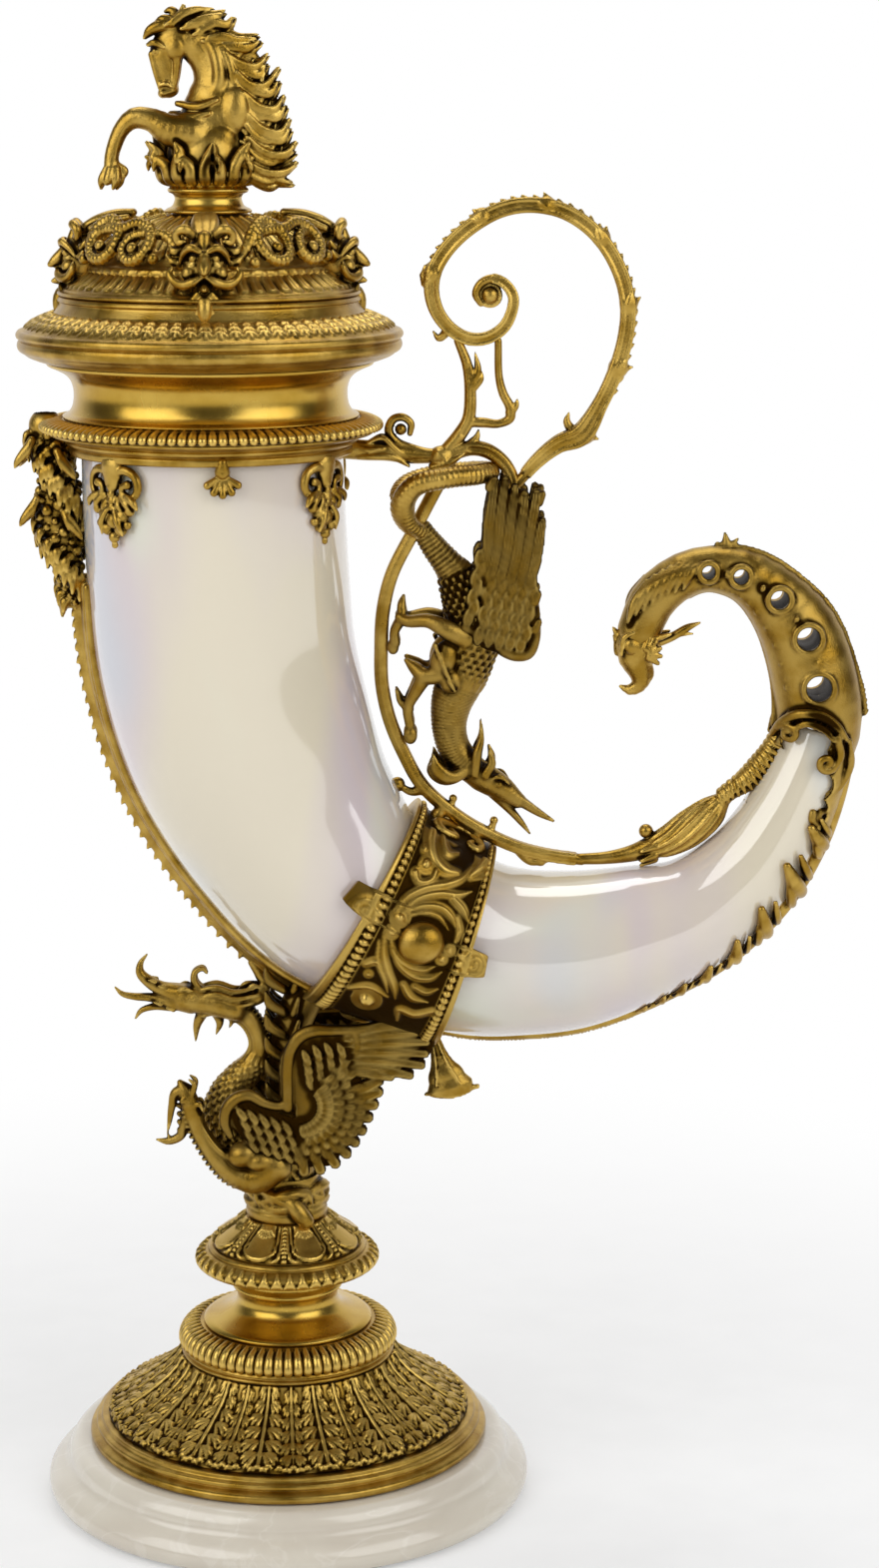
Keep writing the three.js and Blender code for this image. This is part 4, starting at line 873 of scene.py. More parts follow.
def young_dragon():
    """The lower dragon: its neck rises in front of the foot dragon's near side."""
    clay = Clay((-58, -24, -6), (4, -2, 52), 0.55)
    y = -13
    path = [(-4, y, 10), (-12, y, 5), (-20, y, 7), (-26, y, 12), (-31, y, 18.6), (-35, y, 26), (-37, y, 33),
            (-39, y, 39)]
    neck = Line(path, [7, 6.6, 5.4, 4.6, 4, 3.8, 4, 3.6])
    clay.stroke(path, neck.values[:, 3], 1.5)
    for k in range(17):
        at, r = neck.at([1.4 + 5.0 * k / 16])
        x, _, z = at[0]
        edge, front = (x - 0.75 * r[0], z - 0.5 * r[0]), (x - 0.95 * r[0], z - 0.65 * r[0])
        clay.stroke([(edge[0], y - 2.4, edge[1]), (front[0], y, front[1]), (edge[0], y + 2.4, edge[1])],
                    0.75, 0.3)
    # sinews along the neck, then shoulder and haunch
    for dy in (-2.6, 2.6):
        clay.stroke([(-18, y + dy, 12), (-26, y + 1.2 * dy, 17), (-32, y + dy, 25), (-35, y + dy, 32)],
                    [1.4, 1.2, 1, 0.6], 0.4)
    clay.ball((-17, y - 2, 15.5), (6.4, 5.6, 5.4), 1.2, 20)
    clay.ball((-10, y - 3, 13), (6, 5, 4.4), 1)
    # crest, upper beak, lower jaw and tongue
    clay.stroke([(-38, y, 37), (-40, y, 42), (-42, y, 45.4)], [3.6, 3, 1.2], 1)
    clay.stroke([(-39, y, 42), (-43.6, y, 41), (-45.4, y, 35.4), (-46.4, y, 29.4), (-47.2, y, 24.4)],
                [2.6, 2.2, 1.6, 1.1, 0.4], 0.6)
    clay.stroke([(-38, y, 33), (-40.4, y, 27), (-42.4, y, 22.6), (-47, y, 20.6), (-51.8, y, 21.2)],
                [3, 2.2, 1.9, 1.6, 0.5], 0.6)
    clay.stroke([(-46.6, y, 21.6), (-47.4, y, 24.4)], [0.9, 0.3], 0.3)
    # eyes and ears
    for dy in (-1, 1):
        clay.ball((-40.6, y + 2.9 * dy, 38.4), (1.5, 1.3, 1.5), 0.3)
        clay.stroke([(-37, y + 2 * dy, 41), (-36, y + 3 * dy, 45.4), (-38.4, y + 3 * dy, 47.6)],
                    [1.4, 1.1, 0.4], 0.4)
        clay.stroke([(-37, y + 2 * dy, 36), (-34, y + 3.4 * dy, 37), (-32.6, y + 3.6 * dy, 34)],
                    [1.4, 1.1, 0.4], 0.4)
    for k in range(5):
        z = 40 - 3.4 * k
        clay.stroke([(-42.6, y, z - 1), (-40.6 - 0.4 * k, y, z - 3)], [1.1, 0.4], 0.3)
    return clay.skin()


def knot():
    """The tails wound together over the foot, with one loose end in front."""
    clay = Clay((-22, -22, 113), (22, 22, 134), 0.55)
    clay.stroke([(0, 0, 119), (0, 0, 131)], 13.4, 1)
    for k in range(3):
        t = np.linspace(0, TAU, 37)
        a = t + TAU * k / 3
        r, z = 13.8 + 1.1 * np.cos(4 * t + 2 * k), 126 + 3.2 * np.sin(2 * t + 2.1 * k)
        clay.stroke(np.column_stack([r * np.cos(a), r * np.sin(a), z]), 2.6, 0.12)
        clay.stroke(np.column_stack([(r + 2.3) * np.cos(a), (r + 2.3) * np.sin(a), z + 0.6]), 0.6, 0.2)
    for k in range(12):
        a = TAU * k / 12
        # hanging tail tips
        bends = ((12, a, 131), (15, a + 0.16, 127), (14.4, a + 0.3, 122))
        tail = [(r * np.cos(b), r * np.sin(b), z) for r, b, z in bends]
        clay.stroke(tail, [1.2, 1.5, 0.6], 0.3)
    for r, z, thick in ((14.2, 119.4, 2.5), (15.4, 117.9, 1.2), (15.2, 121.6, 1.0)):
        clay.stroke([(r * np.cos(t), r * np.sin(t), z) for t in np.linspace(0, TAU, 41)], thick, 0.5)
    clay.stroke([(-2, -12.6, 127), (2.6, -15.4, 126), (6.2, -16.6, 121.6), (8.6, -16.4, 118.4)],
                [2.2, 3.0, 3.6, 3.2], 0.4)
    clay.stroke([(0, 0, 108), (0, 0, 137)], ROD_BORE, 0.2, cut=True)
    return clay.skin()


def bell_tail():
    """The end of the tail under the cuff, opening like a bell."""
    clay = Clay((50, -12, 31), (84, 12, 70), 0.6)
    clay.stroke([(57, 67), (60.4, 60), (62.6, 53), (64.8, 46), (66.8, 40)],
                [2.4, 2.6, 3.6, 6, 9.6], 0.5, 0.5)
    clay.stroke([(57.4, 36), (67.6, 37.2), (78.4, 39.6)], [0.9, 1.2, 0.9], 0.6, 0.9)
    clay.stroke([(48, 27.6), (68, 29.6), (90, 32.6)], 7.2, 0.3, cut=True)
    clay.stroke([(57.4, 36.4), (67.6, 37.6), (78.4, 40)], [0.8, 1.5, 0.8], 0.3)
    for dx in (-1, 1):
        clay.stroke([(60 + dx, -2, 62), (63 + 2 * dx, -2.6, 52), (66.5 + 5 * dx, -4, 41)],
                    [0.5, 0.6, 0.6], 0.3)
    clay.ball((58.6, 0, 64.4), (3.6, 3.4, 3), 0.6)
    return clay.skin()


def saddle():
    """The leafy bracket between the dragon's back and the horn."""
    clay = Clay((-14, -13, 12), (27, 13, 94), 0.65)
    clay.stroke([(2, 18), (-1, 45), (3, 66), (9, 80)], [7, 6.4, 7.6, 8], 1, 0.8)
    for dy in (-5.2, 0, 5.2):
        for k in range(6):
            z = 34 + 9.6 * k
            clay.stroke([(0, dy, z), (-5.6, 1.2 * dy, z + 4), (-7.4, 1.3 * dy, z + 9)], [2, 2.2, 0.8], 0.4)
            clay.stroke([(4, 1.4 * dy, z), (6, 1.7 * dy, z + 7)], [1.6, 0.8], 0.4)
    return clay.skin()


def dragons():
    """All that stands between the foot and the horn."""
    wing = dragon_wing().darkened(0.4)
    for name, node, flip in (("wing_near", "foot_dragon_wing_front", False),
                             ("wing_far", "foot_dragon_wing_back", True)):
        piece(name, wing.moved(flip=flip, shift=(0, 17 if flip else -17, 0)), node)
    piece("dragon_neck_and_head", foot_dragon().darkened(0.28), "foot_dragon")
    piece("young_dragon_body", young_dragon().darkened(0.3), "young_dragon")
    piece("wound_tails", knot().darkened(0.25), "tail_knot", lift=0)
    piece("bell_tail", bell_tail(), "tail_fan")
    # the saddle darkened with painted shade, as it lies in a deep recess
    piece("saddle_leaves", saddle().darkened(0.4), "saddle_bracket")


dragons()


# The climbing dragon and the handle


def rings(clay, line, start, end, count, r):
    """Fine rings round a bar that lies along a line in the middle plane."""
    a = np.linspace(0, TAU, 13)[:, None]
    for place in np.linspace(start, end, count):
        at, size, _, inward = line.frames([place])
        ring = at[0] + 0.98 * size[0] * (np.cos(a) * inward[0] + np.sin(a) * (0, 1, 0))
        clay.stroke(ring, r, 0.3)


def hoops(clay, at, radii, r, blend, corners, squash=1.0):
    """Fine rings round a bar through points in space, squashed upright to a share."""
    a = np.linspace(0, TAU, corners)[:, None]
    for i in range(1, len(at) - 1):
        ahead = at[i + 1] - at[i - 1]
        ahead /= np.linalg.norm(ahead)
        one = np.cross(ahead, (0, 0, 1))
        one /= np.linalg.norm(one) + 1e-6
        two = np.cross(ahead, one)
        clay.stroke(at[i] + radii[i] * (np.cos(a) * one + squash * np.sin(a) * two), r, blend)


def climbing_dragon():
    """The dragon that climbs down the handle, without its wings and tail end."""
    clay = Clay((38, -21, 141), (111, 21, 275), 0.6)
    # tail's root and body
    tail = Line([(55, 269.6), (60, 262), (66.4, 254), (72, 246)], [3.4, 4.6, 5.8, 7.8])
    clay.stroke(tail.values[:, :3], tail.values[:, 3], 1)
    rings(clay, tail, 0.1, 2.7, 15, 0.7)
    clay.stroke([(70, 250), (75, 240), (76.4, 227), (73.4, 215), (70, 207)], [6.5, 9.6, 10.6, 9.2, 8.2], 2)
    body = Line([(71.5, 248), (75.4, 238), (76.2, 227), (74, 216), (71, 207)], [8, 10, 10.6, 9.4, 8.6])
    scales(clay, body, 0, 4, 17, 17, 1.5)
    # neck and head with its open beak
    neck = Line([(71, 208), (67.6, 199), (66.6, 189), (69, 179.6), (75.6, 172), (83, 166.6)],
                [9.4, 8, 6.6, 6.2, 6, 5.2])
    clay.stroke(neck.values[:, :3], neck.values[:, 3], 1.5)
    rings(clay, neck, 0.3, 3.7, 27, 0.6)
    clay.stroke([(80, 168.6), (87, 164.4), (94, 159)], [6, 5.2, 3.2], 1)
    clay.stroke([(90, 163), (97, 157.6), (103, 153.6), (108.4, 150.6)], [2.9, 2.1, 1.5, 0.7], 0.6)
    clay.stroke([(85, 162), (91.6, 154.6), (96, 149.4), (99, 145.4)], [2.8, 1.7, 1.2, 0.5], 0.6)
    for side in clay.sides():
        # ears, eye, brow and mouth
        side.stroke([(77, 4.6, 171), (77.8, 5.4, 179), (79.4, 5, 185), (79.2, 4.6, 191.4)],
                    [2.4, 2, 1.2, 0.4], 0.5)
        side.stroke([(81, 5, 170.4), (83.6, 5.8, 175.4), (82.4, 5.8, 180.6)], [2.2, 1.7, 0.6], 0.5)
        side.ball((86.4, 4.8, 166.6), (1.8, 1.4, 1.6), 0.4)
        side.stroke([(82.6, 5, 168.6), (87, 5.6, 169.8), (90.6, 4.2, 166.6)], [0.8, 1.2, 0.6], 0.3)
        side.stroke([(89, 2.2, 165), (98, 1.6, 158.4), (106, 0.9, 152.6)], [0.9, 0.7, 0.4], 0.3)
    for k in range(9):
        # ruff of locks behind the head
        a = np.radians(-100 + 25 * k)
        y, s = 6.4 * np.sin(a), np.cos(a)
        clay.stroke([(73, 0.8 * y, 172 + 2 * s), (67 - 2.5 * s, 1.15 * y, 169.6 - 1.4 * s),
                     (61.6 - 2.4 * s, 1.25 * y, 174 - 2.6 * s), (60.4, 1.3 * y, 178.6 - 3 * s)],
                     [2.2, 2.5, 1.7, 0.5], 0.4, 0.8)
    for side in clay.sides():
        # upper leg with its claws
        side.stroke([(73, 7, 226), (66, 9.6, 229.6), (58.6, 8.4, 233), (50, 5.2, 232.4),
                     (47.2, 4.4, 233.8)], [5, 4, 2.9, 2.4, 2.1], 0.6)
        side.stroke([(48.4, 4, 232.8), (47.8, 3, 238), (48.6, 2.6, 241.6)], [2.1, 1.8, 0.7], 0.4)
        side.stroke([(47.6, 4, 232.6), (45, 3.4, 227.6), (45.2, 3.2, 223.6)], [2, 1.9, 2.2], 0.4)
        side.ball((44.4, 3.2, 221.6), (2.3, 1.9, 2.9), 0.4)
        # thigh, lower leg and claws
        side.ball((64.4, 8.2, 217.6), (5.4, 4.4, 8), 0.8, -18)
        side.ball((67.2, 8.6, 209), (4.6, 3.6, 5), 0.8, 10)
        side.stroke([(64, 8, 212), (57, 7.4, 211), (53.4, 6, 213.6), (49.6, 5, 216.8)],
                    [4, 3.4, 2.7, 1], 0.6)
        side.stroke([(57, 7.4, 211), (53.4, 6, 204.4), (50.2, 4.4, 197.4), (51, 4, 190.6)],
                    [3.4, 2.6, 2.1, 2], 0.5)
        side.stroke([(50.8, 4.2, 197), (47.4, 3.4, 200), (45.6, 3, 204.6)], [1.9, 1.5, 0.6], 0.4)
        side.ball((51.2, 3.8, 186.4), (2.8, 2.4, 3.8), 0.5)
        for k in range(5):
            side.stroke([(61 + 1.4 * k, 12.2, 224 - 3.6 * k), (62.6 + 1.6 * k, 12.6, 219.8 - 3.6 * k)],
                        [1.1, 0.5], 0.2)
    return clay.skin()


def climbing_wing():
    """The dragon's wing in its own plane: upright pinions over a downy shoulder."""
    clay = Clay((68, -6, 214), (108, 6, 294), 0.55)
    clay.stroke([(85, 232), (89, 250), (91.4, 268), (92, 280)], [11, 11, 9, 6], 0.5, 0.17)
    clay.stroke([(93, 230), (94.4, 250), (96, 268)], [6.4, 6, 6], 0.5, 0.2)
    pinions = (
        ([(79, 248), (81.8, 262), (82.6, 274), (84.4, 289)], 2.3),
        ([(82, 247), (85.2, 261), (86.6, 275), (88.4, 289)], 2.4),
        ([(85.6, 246), (89, 260), (90.8, 274), (92.2, 286)], 2.4),
        ([(89.6, 245), (92.8, 258), (94.8, 271), (96.4, 283)], 2.4),
        ([(93.4, 244), (96.4, 257), (98.6, 270), (100.6, 284)], 2.4),
        ([(96.6, 243), (99.4, 254), (101.4, 264), (103, 273)], 2.1),
    )
    for k, (points, width) in enumerate(pinions):
        line = [(x, -0.9 - 0.4 * i - 0.1 * k, z) for i, (x, z) in enumerate(points)]
        clay.stroke(line, [width, 1.2 * width, 1.15 * width, 0.7 * width], 0.1, 0.34)
        for shift in (-0.5, 0, 0.5):
            clay.stroke([(x + shift * width, y - 0.3 * width, z) for x, y, z in line],
                        [0.3, 0.42, 0.42, 0.3], 0.2)
    for x, z in ((83.8, 289), (95.6, 284), (102.8, 283.4), (103, 271), (101.4, 257.4), (101.4, 244),
                 (101.6, 233)):
        clay.stroke([(x - 1.4, -1.6, z - 3), (x, -1.8, z)], [2, 1.5], 0.3, 0.7)
    for row in range(7):
        for k in range(6):
            x = 73.6 + 4.1 * k + 0.7 * row + 1.4 * (row % 2)
            z = 226 + 3.9 * row - 0.9 * k + (6 if k < 1 else 0)
            feather(clay, (x, z), (x + 1, z + 5), 2.5, 2.6 - 0.16 * row, 2.0 - 0.1 * row, thick=0.34)
    clay.stroke([(84, 224.6), (88, 221.6), (93, 219.8), (97.6, 220.6), (100.2, 226), (100.6, 234),
                 (100.2, 243)], [2, 2.5, 2.7, 2.6, 2.2, 1.9, 1.4], 0.5)
    clay.stroke([(84, 225), (78, 228), (73, 231)], [2, 2.4, 2.6], 0.5)
    return clay.both_sides().skin()


def tail_hoops():
    """The climbing dragon's tail, wound in hoops round the handle."""
    clay = Clay((40, -24, 258), (90, 22, 298), 0.6)
    tail = Line(
        [(57, 0, 266), (50, -7, 272), (48.4, -12, 279.6), (53, -15, 287), (64, -15.4, 290),
         (76, -10, 290.8), (82, 0, 291), (75, 11, 290.4), (61, 14, 289), (50, 9, 286), (46, 0, 281.6),
         (46.6, -5, 279)],
        [3.4, 4.2, 4.7, 4.8, 4.7, 4.6, 4.4, 3.8, 3.4, 3.2, 2.6, 1.2],
    )
    clay.stroke(tail.values[:, :3], tail.values[:, 3], 0.3, 0.8, (0, 0, 1))
    at, r = tail.even(1.9)
    hoops(clay, at, 0.96 * r, 0.6, 0.3, 11, 0.82)
    return clay.skin()


LOOP = [(93.6, 286.6), (101.5, 295.6), (109.5, 301.8), (118.2, 305.6), (125.8, 317.8), (131.6, 330.6),
        (135, 342.6), (136, 354), (133.9, 365.4), (128, 377.4), (119.8, 386.4), (109.1, 392.4),
        (96.9, 394.2), (86.3, 392.3), (75.6, 386.5), (66.6, 378.5), (61, 369.6), (59.7, 361.5),
        (61.7, 353.6), (66.5, 347.1), (73.5, 343), (80.9, 343), (87.4, 346.9), (90.6, 352.6), (91.4, 359),
        (88.2, 364), (83.6, 366), (78.9, 364.2), (76.8, 360), (78.8, 356.4)]


def handle_loop():
    """The open loop of the handle, thorned, ending in a volute."""
    clay = Clay((54, -6, 282), (143, 6, 401), 0.55)
    band = Line(LOOP, [2.4, 3, 3.6, 4.4] + [3.2] * 14 + [3, 2.8, 2.7, 2.6, 2.5, 2.4, 2.3, 2.2, 2.1,
                                                         2.0, 1.8, 1.5])
    clay.stroke(band.values[:, :3], 0.86 * band.values[:, 3], 0.4)
    for y in (-1, 1):
        at, size, _, inward = band.frames(np.linspace(0.4, 26, 110))
        size = size[:, None]
        clay.stroke(at + inward * 0.62 * size + y * size * (0, 0.7, 0), 0.34 * size[:, 0], 0.25)
        clay.stroke(at - inward * 0.66 * size + y * size * (0, 0.58, 0), 0.3 * size[:, 0], 0.25)
    for place in np.linspace(4.4, 16.6, 36):
        at, size, along, inward = band.frames([place])
        foot = at[0] - 0.7 * size[0] * inward[0]
        clay.stroke([foot, foot - 1.3 * inward[0] + 1.4 * along[0]], [1.3, 0.6], 0.2)
    # buds along the loop, each with a thorn
    for place, size in ((3.1, 4.6), (5.1, 4.0), (7.2, 3.5), (9.4, 3.2), (11.4, 3.3), (13.6, 3.1),
                        (16.2, 3.2)):
        at, _, along, inward = band.frames([place])
        clay.ball(at[0] - 0.5 * inward[0], (size, 3.3, size), 1.4)
        clay.stroke([at[0] - 2 * inward[0], at[0] - (size + 1.6) * inward[0] + 2 * along[0]],
                    [1.9, 0.5], 0.4)
        for y in (-1, 1):
            clay.stroke([at[0] + (0, 2.4 * y, 0),
                         at[0] + 3.4 * along[0] - 1.4 * inward[0] + (0, 2.7 * y, 0)], [1.5, 0.6], 0.3)
    clay.ball((82.4, 0, 359.6), (3.4, 3.2, 3.4), 0.3)
    clay.stroke(ring_of((82.4, 359.6), 4.2, 0), 0.8, 0.3)
    for points, radii in (
        ([(116, 305.4), (112.6, 310.6), (113.4, 314)], [2.2, 1.5, 0.5]),
        ([(60, 361), (56.6, 366), (57, 371)], [2.2, 1.5, 0.5]),
        ([(66, 346), (62.6, 343), (60.4, 345.6)], [2, 1.4, 0.5]),
    ):
        clay.stroke(points, radii, 0.6)
    return clay.skin()


ROD = [(66.5, 293.5), (60.3, 282.3), (52.6, 267.5), (44, 250.4), (40.4, 235.5), (39.6, 220), (39.9, 206.5),
       (42.8, 192.4), (48.5, 178.3), (55.9, 165.2), (68.8, 153.4), (81.6, 145.4), (94.6, 139.6),
       (106, 136.6), (119.8, 134.6)]


def handle_rod():
    """The curved rod from the loop down to the horn, with buds and short stalks."""
    clay = Clay((34, -6, 129), (124, 6, 298), 0.55)
    clay.stroke(ROD, [2.8] * 12 + [2.6, 2.5, 2.3], 0.4)
    rod = Line(ROD, 1)
    at, _, _, inward = rod.frames(np.linspace(0.6, 13.8, 84))
    for y in (-1, 1):
        clay.stroke(at + inward * 1.7 + (0, 1.6 * y, 0), 0.85, 0.25)
        clay.stroke(at - inward * 1.8 + (0, 1.5 * y, 0), 0.75, 0.25)
    # stalks and buds
    clay.stroke([(64, 156), (60.5, 150.5)], [2.6, 3.2], 0.6)
    clay.stroke([(79, 147), (74.5, 139.5)], [2.6, 3.2], 0.6)
    clay.stroke([(57, 163.6), (51.4, 162.6), (47.4, 164.6)], [2.2, 1.7, 1.3], 0.5)
    clay.ball((46, 0, 165.6), (3, 2.7, 3), 0.3)
    clay.stroke([(93, 140), (99.6, 134), (107, 134.6)], [2, 1.8, 1.0], 0.5)
    clay.ball((103.4, 0, 133.8), (2.1, 1.9, 1.9), 0.4)
    for x, z in ((68, 158.6), (84.4, 149.6)):
        clay.stroke([(x - 1.6, z - 4), (x, z)], [1.9, 1.3], 0.4)
        clay.ball((x + 0.2, 0, z + 1.2), 1.7, 0.3)
    return clay.skin()


def brace():
    """The scroll that ties the loop to the collar, and the bent bar beside it."""
    clay = Clay((58, -7, 280), (98, 7, 348), 0.55)
    arch = [(92.4, 283.4), (91, 289.4), (87.6, 294.8), (81.4, 299.2), (75, 300.2), (66, 297.6)]
    clay.stroke(arch, [2.4, 2.6, 2.8, 3, 3, 3], 0.4)
    clay.ball((63.4, 0, 296.6), (5.2, 4.6, 4.6), 0.8)
    clay.stroke([(63.4, 296.4), (66.6, 300.4), (70.6, 305.4), (74, 311.4), (74.8, 321.3), (73.6, 332.4),
                 (70, 342)], [3, 2.9, 2.8, 2.6, 2.4, 2.1, 1.7], 0.5)
    corner = [(75, 310.4), (80, 310.2), (86, 309.8), (90.4, 312), (90.2, 316.4), (87.6, 321.6), (86, 328),
              (85.6, 342)]
    clay.stroke(corner, [2, 2, 1.7, 1.9, 1.9, 1.8, 1.6, 1.5], 0.4)
    for side in clay.sides():
        side.stroke([(x, 3.3, z) for x, z in arch[:5]], 1.3, 0.3, cut=True)
        side.stroke([(72, 3.2, 306), (75, 3.2, 313), (75.4, 3, 322), (74, 2.8, 332)], 1.2, 0.3, cut=True)
        side.stroke([(60, 3, 293), (66, 3.6, 294.4), (72, 2.6, 298)], [1.6, 1.5, 0.7], 0.3)
        side.stroke([(62, 3.4, 299), (65, 3.8, 296), (63, 3.6, 293)], [0.8, 1.1, 0.6], 0.3)
    for x, z in ((78, 305.6), (79.4, 328), (93.2, 317.6)):
        clay.stroke([(x - 3, z - 3.6), (x - 0.6, z - 1), (x, z + 1.6)], [1.8, 1.3, 0.5], 0.4)
    clay.stroke([(74.6, 324), (77.6, 330.6), (76.6, 337.6)], [2, 1.6, 0.4], 0.4)
    return clay.skin()


def collar_scroll():
    """The leafy scroll on the collar from which the handle springs."""
    clay = Clay((24, -7, 288), (68, 7, 316), 0.5)
    clay.stroke([(26, 300), (34, 299.4), (42, 299.2), (50, 297.8), (58, 297.2), (64, 297.4)],
                [4, 4, 4, 3.6, 3, 2.8], 0.5)
    volute = [(60, 297.4), (52.4, 299.4), (45.8, 302.4), (42.9, 307), (44.6, 311.4), (48.4, 312.3),
              (51.6, 309.8), (51.2, 306)]
    clay.stroke(volute, [2.2, 2.3, 2.1, 1.8, 1.7, 1.6, 1.5, 1.2], 0.3)
    clay.ball((47.6, 0, 307.6), (2.3, 2.7, 2.3), 0.3)
    for side in clay.sides():
        side.stroke([(35, 2.6, 302.6), (40.6, 3.4, 304.6), (45, 3.4, 300.8), (51.5, 2.6, 295.4)],
                    [0.7, 1.1, 1.2, 0.6], 0.3)
        side.stroke([(31, 3, 297), (38, 3.6, 297.4), (45, 3.4, 296.8), (51, 2.4, 293.2)],
                    [1, 1.5, 1.4, 0.5], 0.3)
        side.stroke([(30, 3, 301), (35, 3.8, 299.8), (41, 3.8, 300.4)], [0.8, 1.1, 0.5], 0.3)
    return clay.skin()


def handle():
    """The handle with its dragon."""
    piece("climbing_dragon_body", climbing_dragon().darkened(0.32), "climbing_dragon")
    wing = climbing_wing().darkened(0.4)
    for name, node, flip in (("climbing_wing_near", "climbing_dragon_wing_front", False),
                             ("climbing_wing_far", "climbing_dragon_wing_back", True)):
        piece(name, wing.moved(flip=flip, shift=(0, 10 if flip else -10, 0)), node)
    piece("tail_hoops", tail_hoops(), "climbing_dragon_tail")
    piece("scroll_loop", handle_loop(), "handle_loop")
    piece("curved_rod", handle_rod(), "handle_rod")
    piece("loop_brace", brace(), "handle_brace")
    piece("collar_scroll_leaf", collar_scroll(), "collar_scroll")


handle()


# The horn's mounts


def ridge(x, y, points, radii):
    """How high a rounded ridge along a line stands at places given by two coordinates."""
    at, r = Line(points, radii).even(max(0.35, 0.5 * np.min(radii)))
    best = np.zeros(x.shape)
    near = (x > at[:, 0].min() - r.max()) & (x < at[:, 0].max() + r.max())
    near &= (y > at[:, 2].min() - r.max()) & (y < at[:, 2].max() + r.max())
    if near.any():
        away = np.hypot(x[near][:, None] - at[:, 0], y[near][:, None] - at[:, 2])
        best[near] = (r * np.sqrt(np.clip(1 - (away / r) ** 2, 0, 1))).max(axis=1)
    return best


def cuff_scrolls():
    """Lines of the cuff's scrollwork as they show from the side, each with its radii."""
    scrolls = [
        ([(75, 134), (80.6, 137), (82.4, 143), (80.4, 149.6), (74.6, 154.6), (67.6, 156), (62, 153),
          (59.6, 147.4), (60.8, 141.4), (65, 137), (70, 135.4)],
          [1.2, 2.2, 3, 3.2, 3, 2.6, 2.2, 1.9, 1.6, 1.4, 1]),
        ([(75.6, 145.6), (73.4, 151), (68.6, 152.6), (65.2, 150.4), (64, 146), (66, 142), (70, 141.4)],
         [1.2, 1.7, 1.7, 1.5, 1.4, 1.2, 0.8]),
        ([(69.6, 147.4), (71, 147)], [1.9, 1.7]),
        ([(45.6, 123.6), (49.6, 128.6), (57.1, 131.6), (65.7, 132.2), (71.4, 133.4), (75, 136)],
         [1.0, 1.1, 1.2, 1.2, 1.1, 0.9]),
        ([(48.5, 123.6), (54.2, 128), (62.8, 129.2), (70.2, 128), (75.4, 128.7)],
         [0.9, 1.1, 1.2, 1.1, 0.6]),
        ([(50.2, 123.8), (56.5, 125.2), (63.4, 124), (67.4, 120.4), (69, 116.4)],
         [0.9, 1.1, 1.2, 1.1, 0.6]),
        ([(50.8, 121.9), (56.5, 122.7), (62.2, 121), (66.4, 115.4)], [0.8, 0.9, 0.9, 0.5]),
        ([(47.4, 121.4), (48, 120.8)], [2.2, 1.8]),
        ([(44.2, 116), (44.8, 115.4)], [1.8, 1.4]),
        ([(43.9, 113), (45.4, 107.1), (50.2, 102), (56.5, 100.2), (61, 101.6)], [0.8, 1.1, 1.2, 1.1, 0.6]),
        ([(44.4, 110.6), (47, 102.8), (53, 97.4), (59.3, 96.8), (63.6, 99.2)], [0.8, 1.1, 1.2, 1.1, 0.6]),
        ([(41.4, 115.4), (41.2, 107.1), (42.7, 100), (45, 92.8), (45.4, 87)], [0.9, 1.1, 1.2, 1.1, 0.6]),
        ([(39.2, 112.6), (38.8, 104), (41.4, 96), (42.4, 90)], [0.8, 1, 1, 0.6]),
        ([(53.2, 137.6), (54.2, 134.4), (57.1, 133.6), (60, 134.6), (61.2, 137)],
         [1.3, 1.1, 1.1, 1.1, 1.3]),
        ([(57.6, 139.8), (57.8, 140.4)], [1.9, 1.5]),
        ([(57, 145), (57.2, 146)], [1.3, 1]),
        ([(68, 127), (72, 122.6), (74, 118)], [1.2, 1.2, 0.6]),
        ([(69.8, 120), (70.6, 114.2), (68, 109)], [1.0, 1.1, 0.6]),
        ([(66.6, 107.8), (67.2, 107)], [1.5, 1.2]),
        ([(63.6, 104.4), (64.2, 103.8)], [1.5, 1.2]),
        ([(34, 103), (38, 104), (40.4, 100.4)], [1.2, 1.3, 0.7]),
        ([(35, 98.4), (35.6, 98)], [1.3, 1.0]),
        ([(27, 91.6), (35.4, 92.6), (42.2, 88)], [1.0, 1.3, 0.8]),
        ([(34, 86.6), (35, 86)], [3, 2.6]),
        ([(48.6, 94), (52, 88), (58, 86)], [1.1, 1.2, 0.7]),
        ([(53, 93), (57.6, 90.6), (62, 92)], [1.1, 1.1, 0.7]),
        ([(60, 82), (53, 80), (47, 82), (46, 76)], [1.2, 1.3, 1.2, 0.8]),
        ([(66, 161), (73, 160), (80, 156), (84, 150)], [1.2, 1.4, 1.3, 0.8]),
    ]
    for centre, start, turns in (((33.6, 124.4), 60, 1.4), ((76.2, 101.8), 250, 1.4)):
        scrolls.append((flat(curl_of(centre, start, turns, 3.6)), 1.1))
        a = np.linspace(0, TAU, 9)
        scrolls.append((np.column_stack([centre[0] + 4.6 * np.cos(a), centre[1] + 4.6 * np.sin(a)]), 1.2))
    return scrolls


CUFF_RISE = 4.6  # how far the cuff's ground stands over the porcelain
PLACE_LENGTH = 26  # of one place along the horn's line, under the cuff
CLASPS = (  # at the cuff's edges: the edge, how far a clasp reaches past it, and its angle
    (CUFF_FROM, -0.34, 167.5),
    (CUFF_FROM, -0.34, 12.5),
    (CUFF_TO, 0.34, 175.5),
    (CUFF_TO, 0.34, 4.5),
)


